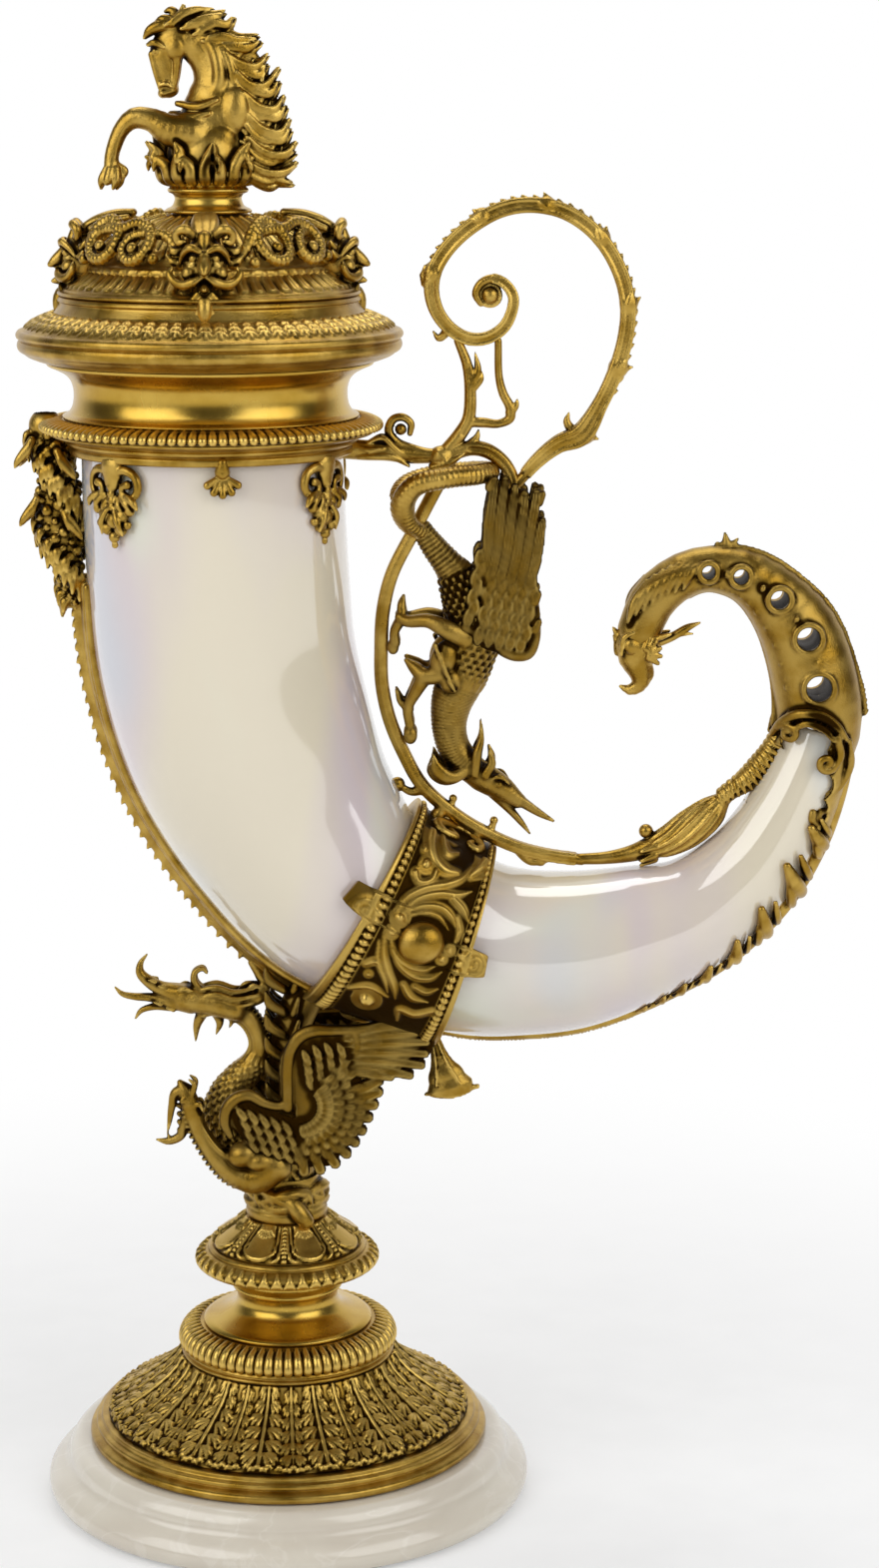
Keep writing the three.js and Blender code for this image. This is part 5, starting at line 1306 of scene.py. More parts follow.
def cuff():
    """The cuff over the horn's joint: beaded borders and scrolls in relief over a ground painted with shade,
    with a clasp at each edge.
    """
    angle = np.linspace(0, TAU, 600, endpoint=False)
    edges = {CUFF_FROM: np.full(angle.shape, CUFF_FROM), CUFF_TO: np.full(angle.shape, CUFF_TO)}
    for edge, reach, at in CLASPS:
        away = 41 * np.abs((angle - np.radians(at) + np.pi) % TAU - np.pi)
        edges[edge] = edges[edge] + reach * np.clip((5.6 - away) / 1.2, 0, 1)
    t = np.linspace(0, 1, 92)[:, None]
    place = edges[CUFF_FROM] + t * (edges[CUFF_TO] - edges[CUFF_FROM])
    a = np.broadcast_to(angle, place.shape)
    base = on_horn(place, a, np.full(place.shape, CUFF_RISE))
    x, y, z = base[..., 0], base[..., 1], base[..., 2]
    work = np.zeros(place.shape)
    for points, radii in cuff_scrolls():
        line = 1.3 * ridge(x, z, points, 0.8 * np.asarray(radii))
        broad = 0.25 * ridge(x, z, points, 2.2 * np.asarray(radii))
        work = np.maximum.reduce([work, line, np.minimum(broad, 0.6)])
    side = np.clip((np.abs(y) - 13) / 4, 0, 1)
    across = PLACE_LENGTH * (place - 0.5 * (CUFF_FROM + CUFF_TO))
    crest = np.zeros(place.shape)
    for lean in (-1, 1):
        for k in (-1, 1):
            line = [(2, 0), (6, 3), (9.4, 8), (7, 12), (3, 10.6), (4.4, 7.4)]
            points = [(lean * out, k * up) for out, up in line]
            crest = np.maximum(crest, ridge(across, y, points, np.array([1.2, 1.9, 2, 1.8, 1.5, 1.2])))
        crest = np.maximum(crest, ridge(across, y, [(lean * 1.5, 0), (lean * 9.6, 0)],
                                        np.array([2.2, 1.2])))
    work = work * side + crest * (1 - side)
    bead = np.zeros(place.shape)
    for edge, inside in ((CUFF_FROM, 0.145), (CUFF_TO, -0.145)):
        size = HORN.at([edge])[1][0] + CUFF_RISE
        count = int(TAU * size / 3.3)
        along = PLACE_LENGTH * (place - edge - inside)
        round_it = ((a * count / TAU) % 1 - 0.5) * TAU * size / count
        bead = np.maximum(bead, np.sqrt(np.clip(1.62**2 - along**2 - round_it**2, 0, None)))
    low_rim = np.clip((CUFF_FROM + 0.085 - place) / 0.02, 0, 1)
    top_rim = np.clip((place - CUFF_TO + 0.085) / 0.02, 0, 1)
    clasp = (place < CUFF_FROM - 0.02) | (place > CUFF_TO + 0.02)
    inner_line = np.clip(1 - np.abs(np.minimum(place - CUFF_FROM, CUFF_TO - place) - 0.225) / 0.03, 0, 1)
    rims = 1.4 * np.maximum(low_rim, top_rim) * ~clasp
    rise = CUFF_RISE + np.maximum.reduce([1.1 * work, bead * 1.3, rims, 0.7 * inner_line])
    # painted shade on the low ground between the scrolls, less on the clasps; proud below is painted
    # highlight
    hollow = np.clip(1 - (rise - CUFF_RISE) / 0.7, 0, 1) * np.where(clasp, 0.25, 0.85)
    outside = on_horn(place, a, rise)
    inner = on_horn(place[::-1][[0, -1]], a[[0, -1]], np.full((2, len(angle)), 0.25))
    proud = np.clip((rise - CUFF_RISE - 0.6) / 1.6, 0, 1)
    plain_rows = np.zeros((2, len(angle)))
    hollow, proud = (np.vstack([values, plain_rows]) for values in (hollow, proud))
    skin = sheet(np.concatenate([outside, inner]), hollow=hollow, proud=proud)
    piece("scroll_cuff", skin.darkened(0.28), "cuff")

    clay = Clay((38, -52, 94), (74, -34, 130), 0.55)
    clay.ball((55.4, -42.2, 111), (9.4, 6.6, 8.6), 0.3, 12)
    near = clay.skin()
    piece("boss_near", near, "cartouche_front")
    piece("boss_far", near.moved(flip=True), "cartouche_back")


def under_horn(place, rise):
    """Points by the horn's outer side, in the middle plane, some way off its surface."""
    centre, r, _, inward = HORN.frames(np.atleast_1d(place))
    return centre - inward * (r + rise)[:, None]


def keel():
    """The strap along the horn's outer side, from under the mouth to the cuff."""
    clay = Clay((-94, -16, 60), (36, 16, 262), 0.7)
    places = np.linspace(2.0, 6.6, 40)
    clay.stroke(under_horn(places, 1.2), 4.3, 0.4, 0.9)
    clay.stroke(under_horn(places, 4.8), 1.8, 0.6)
    for place in np.linspace(2.0, 6.5, 40):
        at = under_horn(place, 6.2)[0]
        clay.stroke([at, at + (-0.9, 0, -1.9)], [1.3, 0.6], 0.2)
    for y in (-1, 1):
        for turn, r in ((5, 2.6), (9, 2.2), (14, 1.7)):
            clay.stroke(on_horn(places, np.full(places.shape, np.radians(270 + turn * y)),
                                np.full(places.shape, 0.6)), r, 0.5)
        for place in np.linspace(4.6, 6.5, 13):
            root = under_horn(place, 0.6)[0]
            inner = under_horn(place + 0.1, -5.5)[0]
            clay.stroke([root + (0, 3.6 * y, 0), inner + (0, 5.4 * y, 0)], [1.9, 0.8], 0.3)
    return clay.skin()


def grapes():
    """A hanging bunch of berries and small leaves under the band."""
    clay = Clay((-106, -15, 232), (-70, 15, 314), 0.6)
    stem = [(-91.4, 309), (-88.6, 298), (-86.8, 286), (-87.4, 276), (-85.6, 264), (-84.2, 254),
            (-82.4, 245), (-80.8, 237)]
    spine = Line(stem, [7, 6, 7.2, 7.8, 6.6, 5.2, 3.8, 2.2])
    clay.stroke(stem, spine.values[:, 3] - 0.4, 1)
    for k in range(150):
        place = 0.2 + 6.6 * k / 149
        at, r, _, _ = spine.frames([place])
        a = 2.4 * k
        out = np.array((np.cos(a), np.sin(a), 0))
        size = (2.3 + 0.5 * np.sin(5.1 * k)) * (1 - 0.05 * place)
        berry = at[0] + r[0] * out
        if k % 4:
            clay.ball(berry, size, 0.25)
            continue
        tip = berry + 2.6 * out - (0, 0, 4.4)
        for lean in (-1, 0, 1):
            side = lean * np.array((-out[1], out[0], 0.5))
            clay.stroke([berry - out, berry + 1.6 * out + 1.6 * side, tip + 2.2 * side],
                        [2, 2, 0.7], 0.15, 0.8)
    for x, y, z, lean in ((-96, -7, 304, -1), (-86, -10, 300, 1), (-94.6, -6, 281, -1), (-84, -8, 276, 1),
                          (-96, 7, 303, -1), (-84, 8, 280, 1)):
        for k in range(4):
            clay.stroke([(x, y, z), (x + lean * (1.4 + 1.4 * k), 1.2 * y, z - 3.4 - 1.6 * k),
                         (x + lean * (1.8 + 1.7 * k), 1.15 * y, z - 7 - 1.2 * k)], [1.6, 1.5, 0.5], 0.2)
    return clay.skin()


LEAF_SPRAYS = ((14.0, 0.9), (13.35, 1.0), (12.7, 0.9), (12.2, 0.74), (11.78, 0.6), (11.42, 0.5),
               (11.1, 0.42), (10.8, 0.36))


def outer_leaves():
    """The leafy strip under the horn's tail, growing towards the tip."""
    clay = Clay((62, -26, 48), (236, 26, 182), 0.7)
    places = np.linspace(7.8, 15.4, 66)
    wide = np.interp(places, [7.8, 10, 12, 14, 15.4], [2.0, 2.2, 3.2, 4.4, 3.0])
    clay.stroke(under_horn(places, 0.6), wide, 0.5)
    for place in np.linspace(7.9, 10.6, 52):
        at = under_horn(place, 1.9)[0]
        clay.stroke([at, at + (0.5, 0, -1.2)], [1.0, 0.4], 0.2)
    for place, grow in LEAF_SPRAYS:
        for side in (-1, 1):
            for ahead, reach, width in ((0, 0.95, 3.5), (0.2, 0.8, 2.2), (-0.18, 0.74, 2.2)):
                turn = np.radians(270 + side * grow * reach * np.array([0, 22, 48, 70]))
                way = place + grow * (ahead + np.array([-0.14, -0.12, -0.04, 0.1]))
                lobe = on_horn(way, turn, np.array([2.0, 2.8, 2.8, 2.2]) * grow)
                clay.stroke(lobe, np.array([0.7, 0.9, 0.95, 0.5]) * width * grow, 0.25)
        root = under_horn(place, 1.4)[0]
        _, _, along, inward = HORN.frames([place])
        clay.stroke([root, root - inward[0] * 1.6 * grow + along[0] * 4], [2.6 * grow, 0.8], 0.3)
    return clay.skin()


def inner_leaves():
    """The sheath and the twisted stalk on the horn's inner side."""
    clay = Clay((116, -11, 128), (208, 11, 200), 0.6)
    clay.stroke([(118, 134.8), (130, 135.4), (140, 137.2), (148, 140)], [2.2, 2.6, 3.4, 4.4], 0.5)
    sheath = Line([(148, 139.6), (156, 143), (163, 147.5), (170, 153), (176.4, 159.5)],
                  [4.4, 5.8, 6.8, 6.2, 3.2])
    clay.stroke(sheath.values[:, :3], sheath.values[:, 3], 0.6)
    for k in range(12):
        at, r, _, inward = sheath.frames(np.linspace(0.1, 3.8, 9))
        turn = (TAU * k / 12 + np.linspace(0, 0.7, 9))[:, None]
        ridge_line = at + (0.99 * r)[:, None] * (np.cos(turn) * inward + np.sin(turn) * (0, 1, 0))
        clay.stroke(ridge_line, [0.5] + [0.9] * 7 + [0.5], 0.25)
    for k in range(7):
        c, s = np.cos(TAU * k / 7), np.sin(TAU * k / 7)
        clay.stroke([(149, 4 * c, 139 + 4 * s), (143.6, 5.4 * c, 137 + 4.6 * s)], [1.8, 0.7], 0.3)
    twist = Line([(175, 158.5), (180, 162.6), (186, 166.6), (191, 172), (195.5, 178), (199, 185),
                  (201, 191)], [3.2, 3.6, 4.5, 4.8, 4.5, 3.8, 2.4])
    clay.stroke(twist.values[:, :3], 0.86 * twist.values[:, 3], 0.6)
    for k in range(15):
        at, r, along, inward = twist.frames([0.4 + 0.36 * k])
        a = np.linspace(-2.2, 2.2, 9)[:, None]
        ring = at[0] + r[0] * (np.cos(a) * inward[0] + np.sin(a) * (0, 1, 0)) + (a * 0.9) * along[0]
        clay.stroke(ring, [0.6, 1.1, 1.3, 1.4, 1.4, 1.4, 1.3, 1.1, 0.6], 0.2)
    clay.stroke([(148.4, 141), (146, 145)], [1.6, 1.4], 0.4)
    clay.ball((145.6, 0, 146.4), 2.9, 0.3)
    return clay.skin()


CURL = [(208.6, 171.5), (213.8, 190), (211, 211), (204.6, 228.6), (194.6, 241.6), (186.6, 248.2),
        (178, 251.6), (167.8, 252.6), (157.6, 249.2), (147.4, 240.4), (142, 228.4)]
CURL_R = [16, 18.4, 16.8, 15.4, 12.4, 10.8, 9.6, 8.9, 9, 9.2, 8.6]
HOLES = ((168.4, 252.3, 2.9), (181.1, 250.7, 3.2), (196.2, 242, 3.9), (207.6, 226.8, 4.8),
         (212.1, 207.1, 5.3))
FERRULE_CUTS = (  # where the curl's body is opened over the horn's end: x, z and radius
    (204.6, 186, 6.5),
    (211, 186, 6.2),
    (208, 179, 8.4),
    (205, 168, 8.6),
    (200, 158, 8.4),
    (213, 176, 4.6),
    (193, 162, 8),
    (196, 175, 7.4),
    (209, 157.5, 7.6),
    (213, 168, 5.6),
    (206, 149, 5.4),
)


def side_at(x, z):
    """How far from the middle plane the curl's or the horn's skin lies at a place seen from the side."""
    deep = 3.0
    for line in (Line(CURL, CURL_R), HORN):
        at, r = line.even(1.5)
        away = np.hypot(at[:, 0] - x, at[:, 2] - z)
        k = away.argmin()
        deep = max(deep, np.sqrt(max(r[k] ** 2 - away[k] ** 2, 0)))
    return deep + 0.5


def tip_curl():
    """The pierced curl that closes the horn, with its scrolled ferrule."""
    clay = Clay((130, -21, 140), (235, 21, 270), 0.7)
    body = Line(CURL, CURL_R)
    clay.stroke(CURL, [15.4, 17, *CURL_R[2:]], 0.5)
    at, r = HORN.at(np.linspace(14.2, 15.2, 12))
    clay.stroke(at, r + 2.2, 0.8)
    # crest along the outer side, and a bead line along the inner side
    for place in np.linspace(1.2, 6.6, 74):
        at, r, along, inward = body.frames([place])
        edge = at[0] - inward[0] * (r[0] - 0.3)
        clay.stroke([edge, edge - 1.2 * inward[0] + 0.8 * along[0]], [1.5, 0.7], 0.2)
    clay.stroke([(176, 262), (175.2, 267)], [2.2, 0.5], 0.6)
    clay.stroke([(178, 262), (180.6, 264.6)], [1.5, 0.5], 0.4)
    at, r, _, inward = body.frames(np.linspace(0.8, 8, 50))
    clay.stroke(at + inward * (r - 0.6)[:, None], 1.3, 0.6)
    for place in np.linspace(1.4, 7.4, 12):
        at, r, _, inward = body.frames([place])
        for y in (-1, 1):
            clay.ball(at[0] + inward[0] * 0.72 * r[0] + (0, 0.68 * r[0] * y, 0), 0.9, 0.4)
    # holes with raised rims, and a pearl between each two
    for k, (x, z, r) in enumerate(HOLES):
        deep = float(np.interp(k, [0, 1, 2, 3, 4], [9.2, 10.2, 13.2, 15.2, 16]))
        clay.stroke([(x, -30, z), (x, 30, z)], r, 0.3, cut=True)
        for y in (-1, 1):
            clay.stroke(ring_of((x, z), r + 0.9, 0.995 * deep * y), 1.25, 0.2)
        if k:
            nx, nz, _ = HOLES[k - 1]
            for y in (-1, 1):
                middle = ((x + nx) / 2 + 0.8, 0.98 * deep * y, (z + nz) / 2)
                clay.stroke([middle, (middle[0] + 0.1, middle[1], middle[2] + 0.4)], 1.3, 0.4)
    for y in (-1, 1):
        for k in range(8):
            # feathers where the bird's neck begins
            x, z = 166 - 3.1 * k, 256.6 - 0.05 * k * k * 3.2
            points = [(x, 6.4 * y, z), (x - 5, 8.9 * y, z - 5 - 0.5 * k),
                      (x - 7.6, 8.8 * y, z - 11 - 0.8 * k)]
            clay.stroke(points, [0.9, 1.9, 0.6], 0.3)
    # room for the horn's end, and the ferrule's openwork
    at, r = HORN.at(np.linspace(14.0, HORN_END, 20))
    clay.stroke(at, r + 0.25, 0.2, cut=True)
    for x, z, r in FERRULE_CUTS:
        clay.stroke([(x, -30, z), (x, 30, z)], r, 0.2, cut=True)
    scrolls = [
        ([(195, 187), (198, 192.6), (204, 197), (212, 197), (219, 192.6), (223, 187)],
         [1.3, 1.9, 2.1, 2.0, 1.8, 1.3]),
        ([(201.6, 190), (207, 193.6), (214, 191.4), (218, 187)], [1.1, 1.6, 1.5, 1.1]),
        (flat(curl_of((200.6, 188.8), 150, -1.2, 3.6)), 1.5),
        ([(219.6, 188), (220.8, 180), (218, 174.6)], [1.5, 1.8, 1.4]),
        (flat(curl_of((215.6, 177.6), -40, -1.1, 3.8)), 1.5),
        ([(224.4, 186), (225.6, 175), (222, 167), (217, 163.6)], [1.4, 1.8, 1.8, 1.5]),
        (flat(curl_of((214.4, 155), 150, 1.2, 4.2)), 1.6),
    ]
    for line, radii in scrolls:
        for y in (-1, 1):
            clay.stroke([(px, y * side_at(px, pz), pz) for px, pz in line], radii, 0.3)
    skin = clay.skin()
    x, y, z = skin.points.T
    # painted shade inside the bores of the holes
    for hx, hz, r in HOLES:
        bore = (np.hypot(x - hx, z - hz) < r + 0.3) & (np.abs(y) < 2.6 * r)
        skin.hollow = np.where(bore, 1, skin.hollow)
    return skin.darkened(0.28)


def bird_head():
    """The bird's head in which the curl ends."""
    clay = Clay((127, -11, 196), (173, 11, 240), 0.55)
    clay.ball((141.5, 0, 222), (8.8, 7.6, 9.6), 0.8, 10)
    clay.stroke([(140, 217), (142.6, 210.6), (142.4, 206.4), (138.6, 204), (134.8, 205.4)],
                [6.2, 4.4, 3.2, 2.2, 0.8], 0.8)
    clay.stroke([(144, 215), (146, 210), (144.6, 206)], [3.2, 2, 0.8], 0.6)
    clay.stroke([(148, 223), (155, 225.4), (161, 229), (166, 231)], [2.4, 1.8, 1.5, 0.5], 0.5)
    clay.stroke([(157, 226.4), (163, 226.6)], [1.3, 0.5], 0.4)
    for side in clay.sides():
        side.ball((138.6, 6.6, 222.6), (3.0, 2, 3.4), 0.3, 15)
        side.stroke([(134.6, 5.8, 219), (135.6, 7, 226), (141, 7.6, 229)], [0.8, 1.2, 0.8], 0.3)
        for k in range(5):
            a = np.radians(-35 + 27 * k)
            foot = (143.6 + 2.4 * np.cos(a), 6.9, 219.6 + 2.4 * np.sin(a))
            side.stroke([foot, (143.6 + 6.6 * np.cos(a), 6.6, 219.6 + 6.6 * np.sin(a))], [1.7, 1.0], 0.25)
        side.stroke([(147, 5, 225), (154, 4, 227)], [1.8, 0.7], 0.3)
    for k in range(3):
        clay.stroke([(133.6, 0, 226 - 3.4 * k), (131.6 + 0.3 * k, 0, 229 - 3.4 * k)], [1.7, 0.6], 0.3)
    return clay.skin()


def mounts():
    """The mounts on the horn, from the cuff to its tip."""
    cuff()
    piece("keel_strap", keel(), "keel_strip")
    piece("grapes_and_leaves", grapes().darkened(0.1), "grape_cluster")
    piece("outer_leaves", outer_leaves(), "outer_leaf")
    piece("inner_leaves", inner_leaves(), "inner_leaf")
    piece("curled_tip", tip_curl(), "tip_curl")
    piece("bird_mask", bird_head(), "tip_bird_head")


mounts()


# The mouth and the lid


PENDANT_ANGLES = {"front_left": -41, "front_right": 58, "back_left": -139, "back_right": 122}


def face_out(skin, angle):
    """A skin that looks along x, turned to an angle from the front and set on the mouth's axis."""
    return skin.moved(turn=angle - 90, shift=(MOUTH_X, 0, 0))


def stem_collars():
    """The fringe of leaves and the panelled dome that stand between the spool and the knot."""
    z, h = rise_of("leaf_collar")
    leaf = Canvas(10.8, 24, 22, 46)
    leaf.h += 0.02
    for x, low in ((2.7, 8.6), (8.1, 10.4)):
        for lean in (-1, -0.5, 0, 0.5, 1):
            tip = low + 2.4 * abs(lean)
            leaf.stroke([(x, 23), (x + 0.8 * lean, 18), (x + 2.3 * lean, 14.4), (x + 2.5 * lean, tip)],
                        [0.4, 0.6, 0.8, 0.5], 1.5)
        leaf.stroke([(x, 22.6), (x, 14)], [0.4, 0.35], 3.2)
    slope = outline([(24, z + 0.7), (30, z + 1.3), (34.4, z + 2.6), (36.7, z + 4.1), (36.9, z + 5.6),
                     (35.4, z + 7.2), (33, z + 8.5)])
    rest = rounded([(32.4, z + 8.8, 0.3), (32.4, z + 9.7, 0.5), (31.6, z + 10.4, 0.4), (31, z + h, 0.2),
                    (ROD_BORE, z + h, 0.2), (ROD_BORE, z, 0.2), (22.4, z, 0.2)])
    piece("leaf_fringe", relief_ring(slope, rest, leaf, 22, shade=0.7), "leaf_collar", lift=0)

    z, h = rise_of("tongue_dome")
    panel = Canvas(19.5, 17, 36, 36)
    panel.stroke([(9.75, 5.6), (9.75, 9), (9.75, 16)], [5.4, 5.6, 4.6], 0.3, square=True)
    panel.h = np.minimum(panel.h, 0.6)
    panel.stroke([(3.0, 16.4), (3.2, 9), (3.7, 5), (5.8, 2.4), (9.75, 1.4), (13.7, 2.4), (15.8, 5),
                  (16.3, 9), (16.5, 16.4)], 0.55, 1.7)
    panel.stroke([(1.5, 16.6), (1.5, 6), (2.2, 2), (4, 0.6)], [0.5, 0.6, 0.6, 0.5], 1.8, pair=True)
    for k in range(7):
        lean = (k - 3) / 3
        long = 5.6 - 1.6 * lean * lean
        panel.stroke([(9.75 + 1.6 * lean, 16.6), (9.75 + 2.9 * lean, 16.6 - 0.5 * long),
                      (9.75 + 4.4 * lean, 16.6 - long)], [0.45, 0.7, 0.6], 2.0)
    for k in range(9):
        panel.stroke([(0, 1.0 + 1.85 * k), (0.1, 1.1 + 1.85 * k)], 0.85, 1.5)
    slope = outline([(30.4, z + 0.3), (29.6, z + 2), (26.6, z + 4.2), (22.9, z + 6.8), (19.2, z + 9.3),
                     (16.6, z + h)])
    rest = rounded([(16, z + h, 0.2), (ROD_BORE, z + h, 0.2), (ROD_BORE, z, 0.2), (30.2, z, 0.1)])
    piece("panelled_dome", relief_ring(slope, rest, panel, 8), "tongue_dome", lift=0)


def palmette(clay, r, y, z, size):
    """A shell of five lobes with a ball, on a wall that faces along x."""
    for k in range(5):
        a = np.radians(-150 + 30 * k)
        clay.stroke([(r, y, z), (r + 1, y + size * np.cos(a) * 0.9, z + size * np.sin(a))],
                    [0.9, 1.6], 0.25)
    clay.ball((r + 1.4, y, z + 0.4), 1.6, 0.3)


def mouth():
    """The brass mouth: band with two shells, row of beads, and concave neck."""
    z, h = rise_of("bead_ring")
    foot_z = z - 9.7
    band = [(54.6, 0.6, 0.4), (55.5, 1.1, 0.5), (55.7, 3.3, 0.7), (54.9, 4.1, 0.3), (56.6, 4.7, 0.5),
            (57.5, 5.8, 0.6), (56.7, 6.7, 0.3), (60.2, 7.5, 0.8), (63.4, 8.5, 0.6), (63.4, 9.4, 0.2),
            (MOUTH_BORE, 9.4, 0.2), (MOUTH_BORE, 4, 0.2), (51.4, 3.6, 0.2), (51.4, 0.6, 0.2)]
    ring = turned(rounded([(r, foot_z + up, fillet) for r, up, fillet in band]), 200, MOUTH_X)
    clay = Clay((50, -9, foot_z - 13), (62, 9, foot_z + 7), 0.5)
    palmette(clay, 53.4, 0, foot_z - 2.4, 7.4)
    clay.stroke([(53.6, 0, foot_z - 1), (54.8, 0, foot_z + 2.6)], [3, 1.8], 0.5)
    small = clay.skin()
    piece("lip_band", ring.joined(face_out(small, 8), face_out(small, 172)), "collar_band", lift=0)

    lobe = Canvas(3.9, 10, 8, 22)
    lobe.stroke([(1.95, 2.3), (1.95, 5), (1.95, 9.2)], [1.86, 1.7, 1.2], 0.85)
    wall = outline([(65, z + 0.3), (65.9, z + 1), (65.8, z + 1.9), (64.6, z + 2.8), (61.6, z + 3.8),
                    (58.6, z + 4.6)], 0.4)
    rest = rounded([(57.8, z + h, 0.2), (MOUTH_BORE, z + h, 0.2), (MOUTH_BORE, z, 0.2), (64, z, 0.2)])
    piece("bead_row", relief_ring(wall, rest, lobe, 107, MOUTH_X), "bead_ring", lift=0)

    z, h = rise_of("neck")
    low = [(MOUTH_BORE, 0, 0.2), (57.6, 0, 0.3), (58, 0.03, 0.4), (57, 0.06, 0.4), (55.4, 0.09, 1.6),
           (53.9, 0.2, 3), (53.3, 0.36, 4), (53.4, 0.54, 4), (54.6, 0.7, 3), (57, 0.81, 2), (61, 0.9, 2),
           (63.6, 0.95, 0.5), (63.8, 1, 0.2), (MOUTH_BORE, 1, 0.2)]
    piece("concave_neck", turned(levels(low, z, h), 220, MOUTH_X), "neck", "gilt_polished", lift=0)


BERRIES = (  # of a drop: places across and up, and sizes
    (0, 277, 3.4),
    (-4.6, 279, 2.7),
    (4.6, 279, 2.7),
    (-8.4, 281, 2.1),
    (8.4, 281, 2.1),
    (-3.4, 273.6, 2.6),
    (3.4, 273.6, 2.6),
    (-7, 275.6, 1.8),
    (7, 275.6, 1.8),
    (0, 270.6, 2.3),
    (0, 267.4, 1.4),
)


def pendant():
    """A drop below the band: two volutes, a beaded stem, and a pointed tuft of leaves and berries."""
    clay = Clay((44, -16, 262), (62, 16, 300), 0.55)
    r = 53.4
    clay.stroke([(r, 0, 297.6), (r, 0, 292)], [5.4, 4], 0.5, 0.6, (1, 0, 0))
    for side in clay.sides():
        volute = [(2, 295.4), (7, 296.4), (11, 294), (12, 289.4), (9.4, 285.8), (5.8, 286.6),
                  (5.4, 290), (8, 291)]
        side.stroke([(r + 0.8 - 0.015 * s * s, s, z) for s, z in volute],
                    [1.6, 1.8, 1.7, 1.6, 1.5, 1.4, 1.3, 1.9], 0.2)
        for s, z in ((4, 282.6), (8, 283.6), (11.4, 284.6)):
            side.stroke([(r, 0.5 * s, z + 3), (r + 0.8, s, z), (r + 0.4, s + 1.6, z - 2.6)],
                        [1.2, 1.5, 0.6], 0.25)
        side.stroke([(r + 1.2, 1.4, 282), (r + 2.2, 4.2, 277), (r + 1, 5.6, 271.6)], [1, 1.4, 0.5], 0.25)
    for k in range(5):
        clay.ball((r + 0.9, 0, 292.4 - 2.6 * k), (1.6, 2, 1.5), 0.2)
    for k, (y, z, size) in enumerate(BERRIES):
        clay.ball((r - 0.4 + 0.3 * (k % 2), y, z), (size * 0.9, size, size), 0.2)
    return clay.skin()


def mask():
    """A grotesque face with scroll horns, moustache and beard, looking along x."""
    clay = Clay((26, -19, 345), (66, 19, 397), 0.55)
    clay.ball((47.6, 0, 373), (8.8, 8.4, 11.4), 1)
    for k in (-1, 0, 1):
        # hair
        clay.stroke([(29, 2.2 * k, 391.4), (36, 2.6 * k, 390.4), (43, 3 * k, 388), (49, 2.6 * k, 384.6)],
                    [1.5, 2.2, 2.4, 2], 0.35)
    # nose, lips and beard
    clay.stroke([(51, 0, 384), (53.2, 0, 379.8), (56, 0, 376.2), (59.2, 0, 373), (61.4, 0, 371.6)],
                [2.6, 2.3, 2.4, 2.3, 1.2], 0.6)
    clay.stroke([(58.6, 0, 370.6), (55.6, 0, 370), (54, 0, 369.6)], [1.2, 2, 2.4], 0.5)
    clay.stroke([(53, 0, 365.8), (57.6, 0, 365.8), (60.4, 0, 365.2)], [3, 2, 0.9], 0.6)
    clay.stroke([(52, 0, 362.4), (57.4, 0, 359.6), (58.4, 0, 354), (57, 0, 349.6)], [4, 3, 2, 0.5], 0.7)
    for side in clay.sides():
        # eye, brow, lid and cheek
        side.ball((54.8, 3.9, 376.6), (1.8, 1.9, 1.7), 0.3)
        side.stroke([(57, 1.6, 379.2), (56.4, 4.8, 380.6), (53.4, 7.6, 378.4), (50.6, 9, 375)],
                    [1.1, 1.5, 1.3, 0.8], 0.35)
        side.stroke([(54.9, 2, 374.6), (55.3, 4.4, 374.2), (53, 6.8, 375.2)], [0.7, 0.9, 0.6], 0.3)
        side.ball((53.4, 5.8, 371), (3.2, 2.9, 3), 0.7)
        # moustache and the beard's side locks
        side.stroke([(58.6, 1.2, 369.8), (57.8, 4.4, 367.8), (55.8, 8, 366.8), (53.4, 11.2, 368),
                     (51.8, 13.2, 371), (51.6, 12, 373)], [0.9, 1.8, 1.8, 1.6, 1.3, 0.6], 0.3)
        side.stroke([(57, 2.4, 363.4), (55.8, 5.2, 360.4), (54, 8, 361.2), (53.4, 9.4, 363.8)],
                    [1.4, 1.6, 1.3, 0.5], 0.3)
        side.stroke([(56.6, 1.4, 360.6), (57.4, 2.6, 356), (57, 3.2, 351.6)], [1.6, 1.4, 0.4], 0.3)
        # scroll horn, leafy ears and the outer hair
        side.stroke([(50, 4.4, 385), (51.6, 7.4, 387.2), (50.2, 10.2, 385.6), (49.8, 9.8, 382.4),
                     (51, 7.8, 382.4)], [2, 2, 1.7, 1.5, 1.3], 0.3)
        side.stroke([(47.6, 8.6, 379.6), (47.8, 11.4, 378.8), (46.8, 13.4, 381)], [2, 1.8, 0.5], 0.4)
        side.stroke([(48, 8.6, 374.6), (48.8, 11.8, 375), (47.6, 14.4, 377.4)], [2, 1.6, 0.5], 0.4)
        side.stroke([(50, 7.6, 365.6), (50.6, 10.8, 363), (50.4, 13, 364.8)], [2.2, 1.6, 0.5], 0.4)
        side.stroke([(31, 5.4, 389.8), (38, 6.8, 388), (45, 7.2, 385.4)], [1.2, 1.9, 1.4], 0.4)
    return clay.skin()


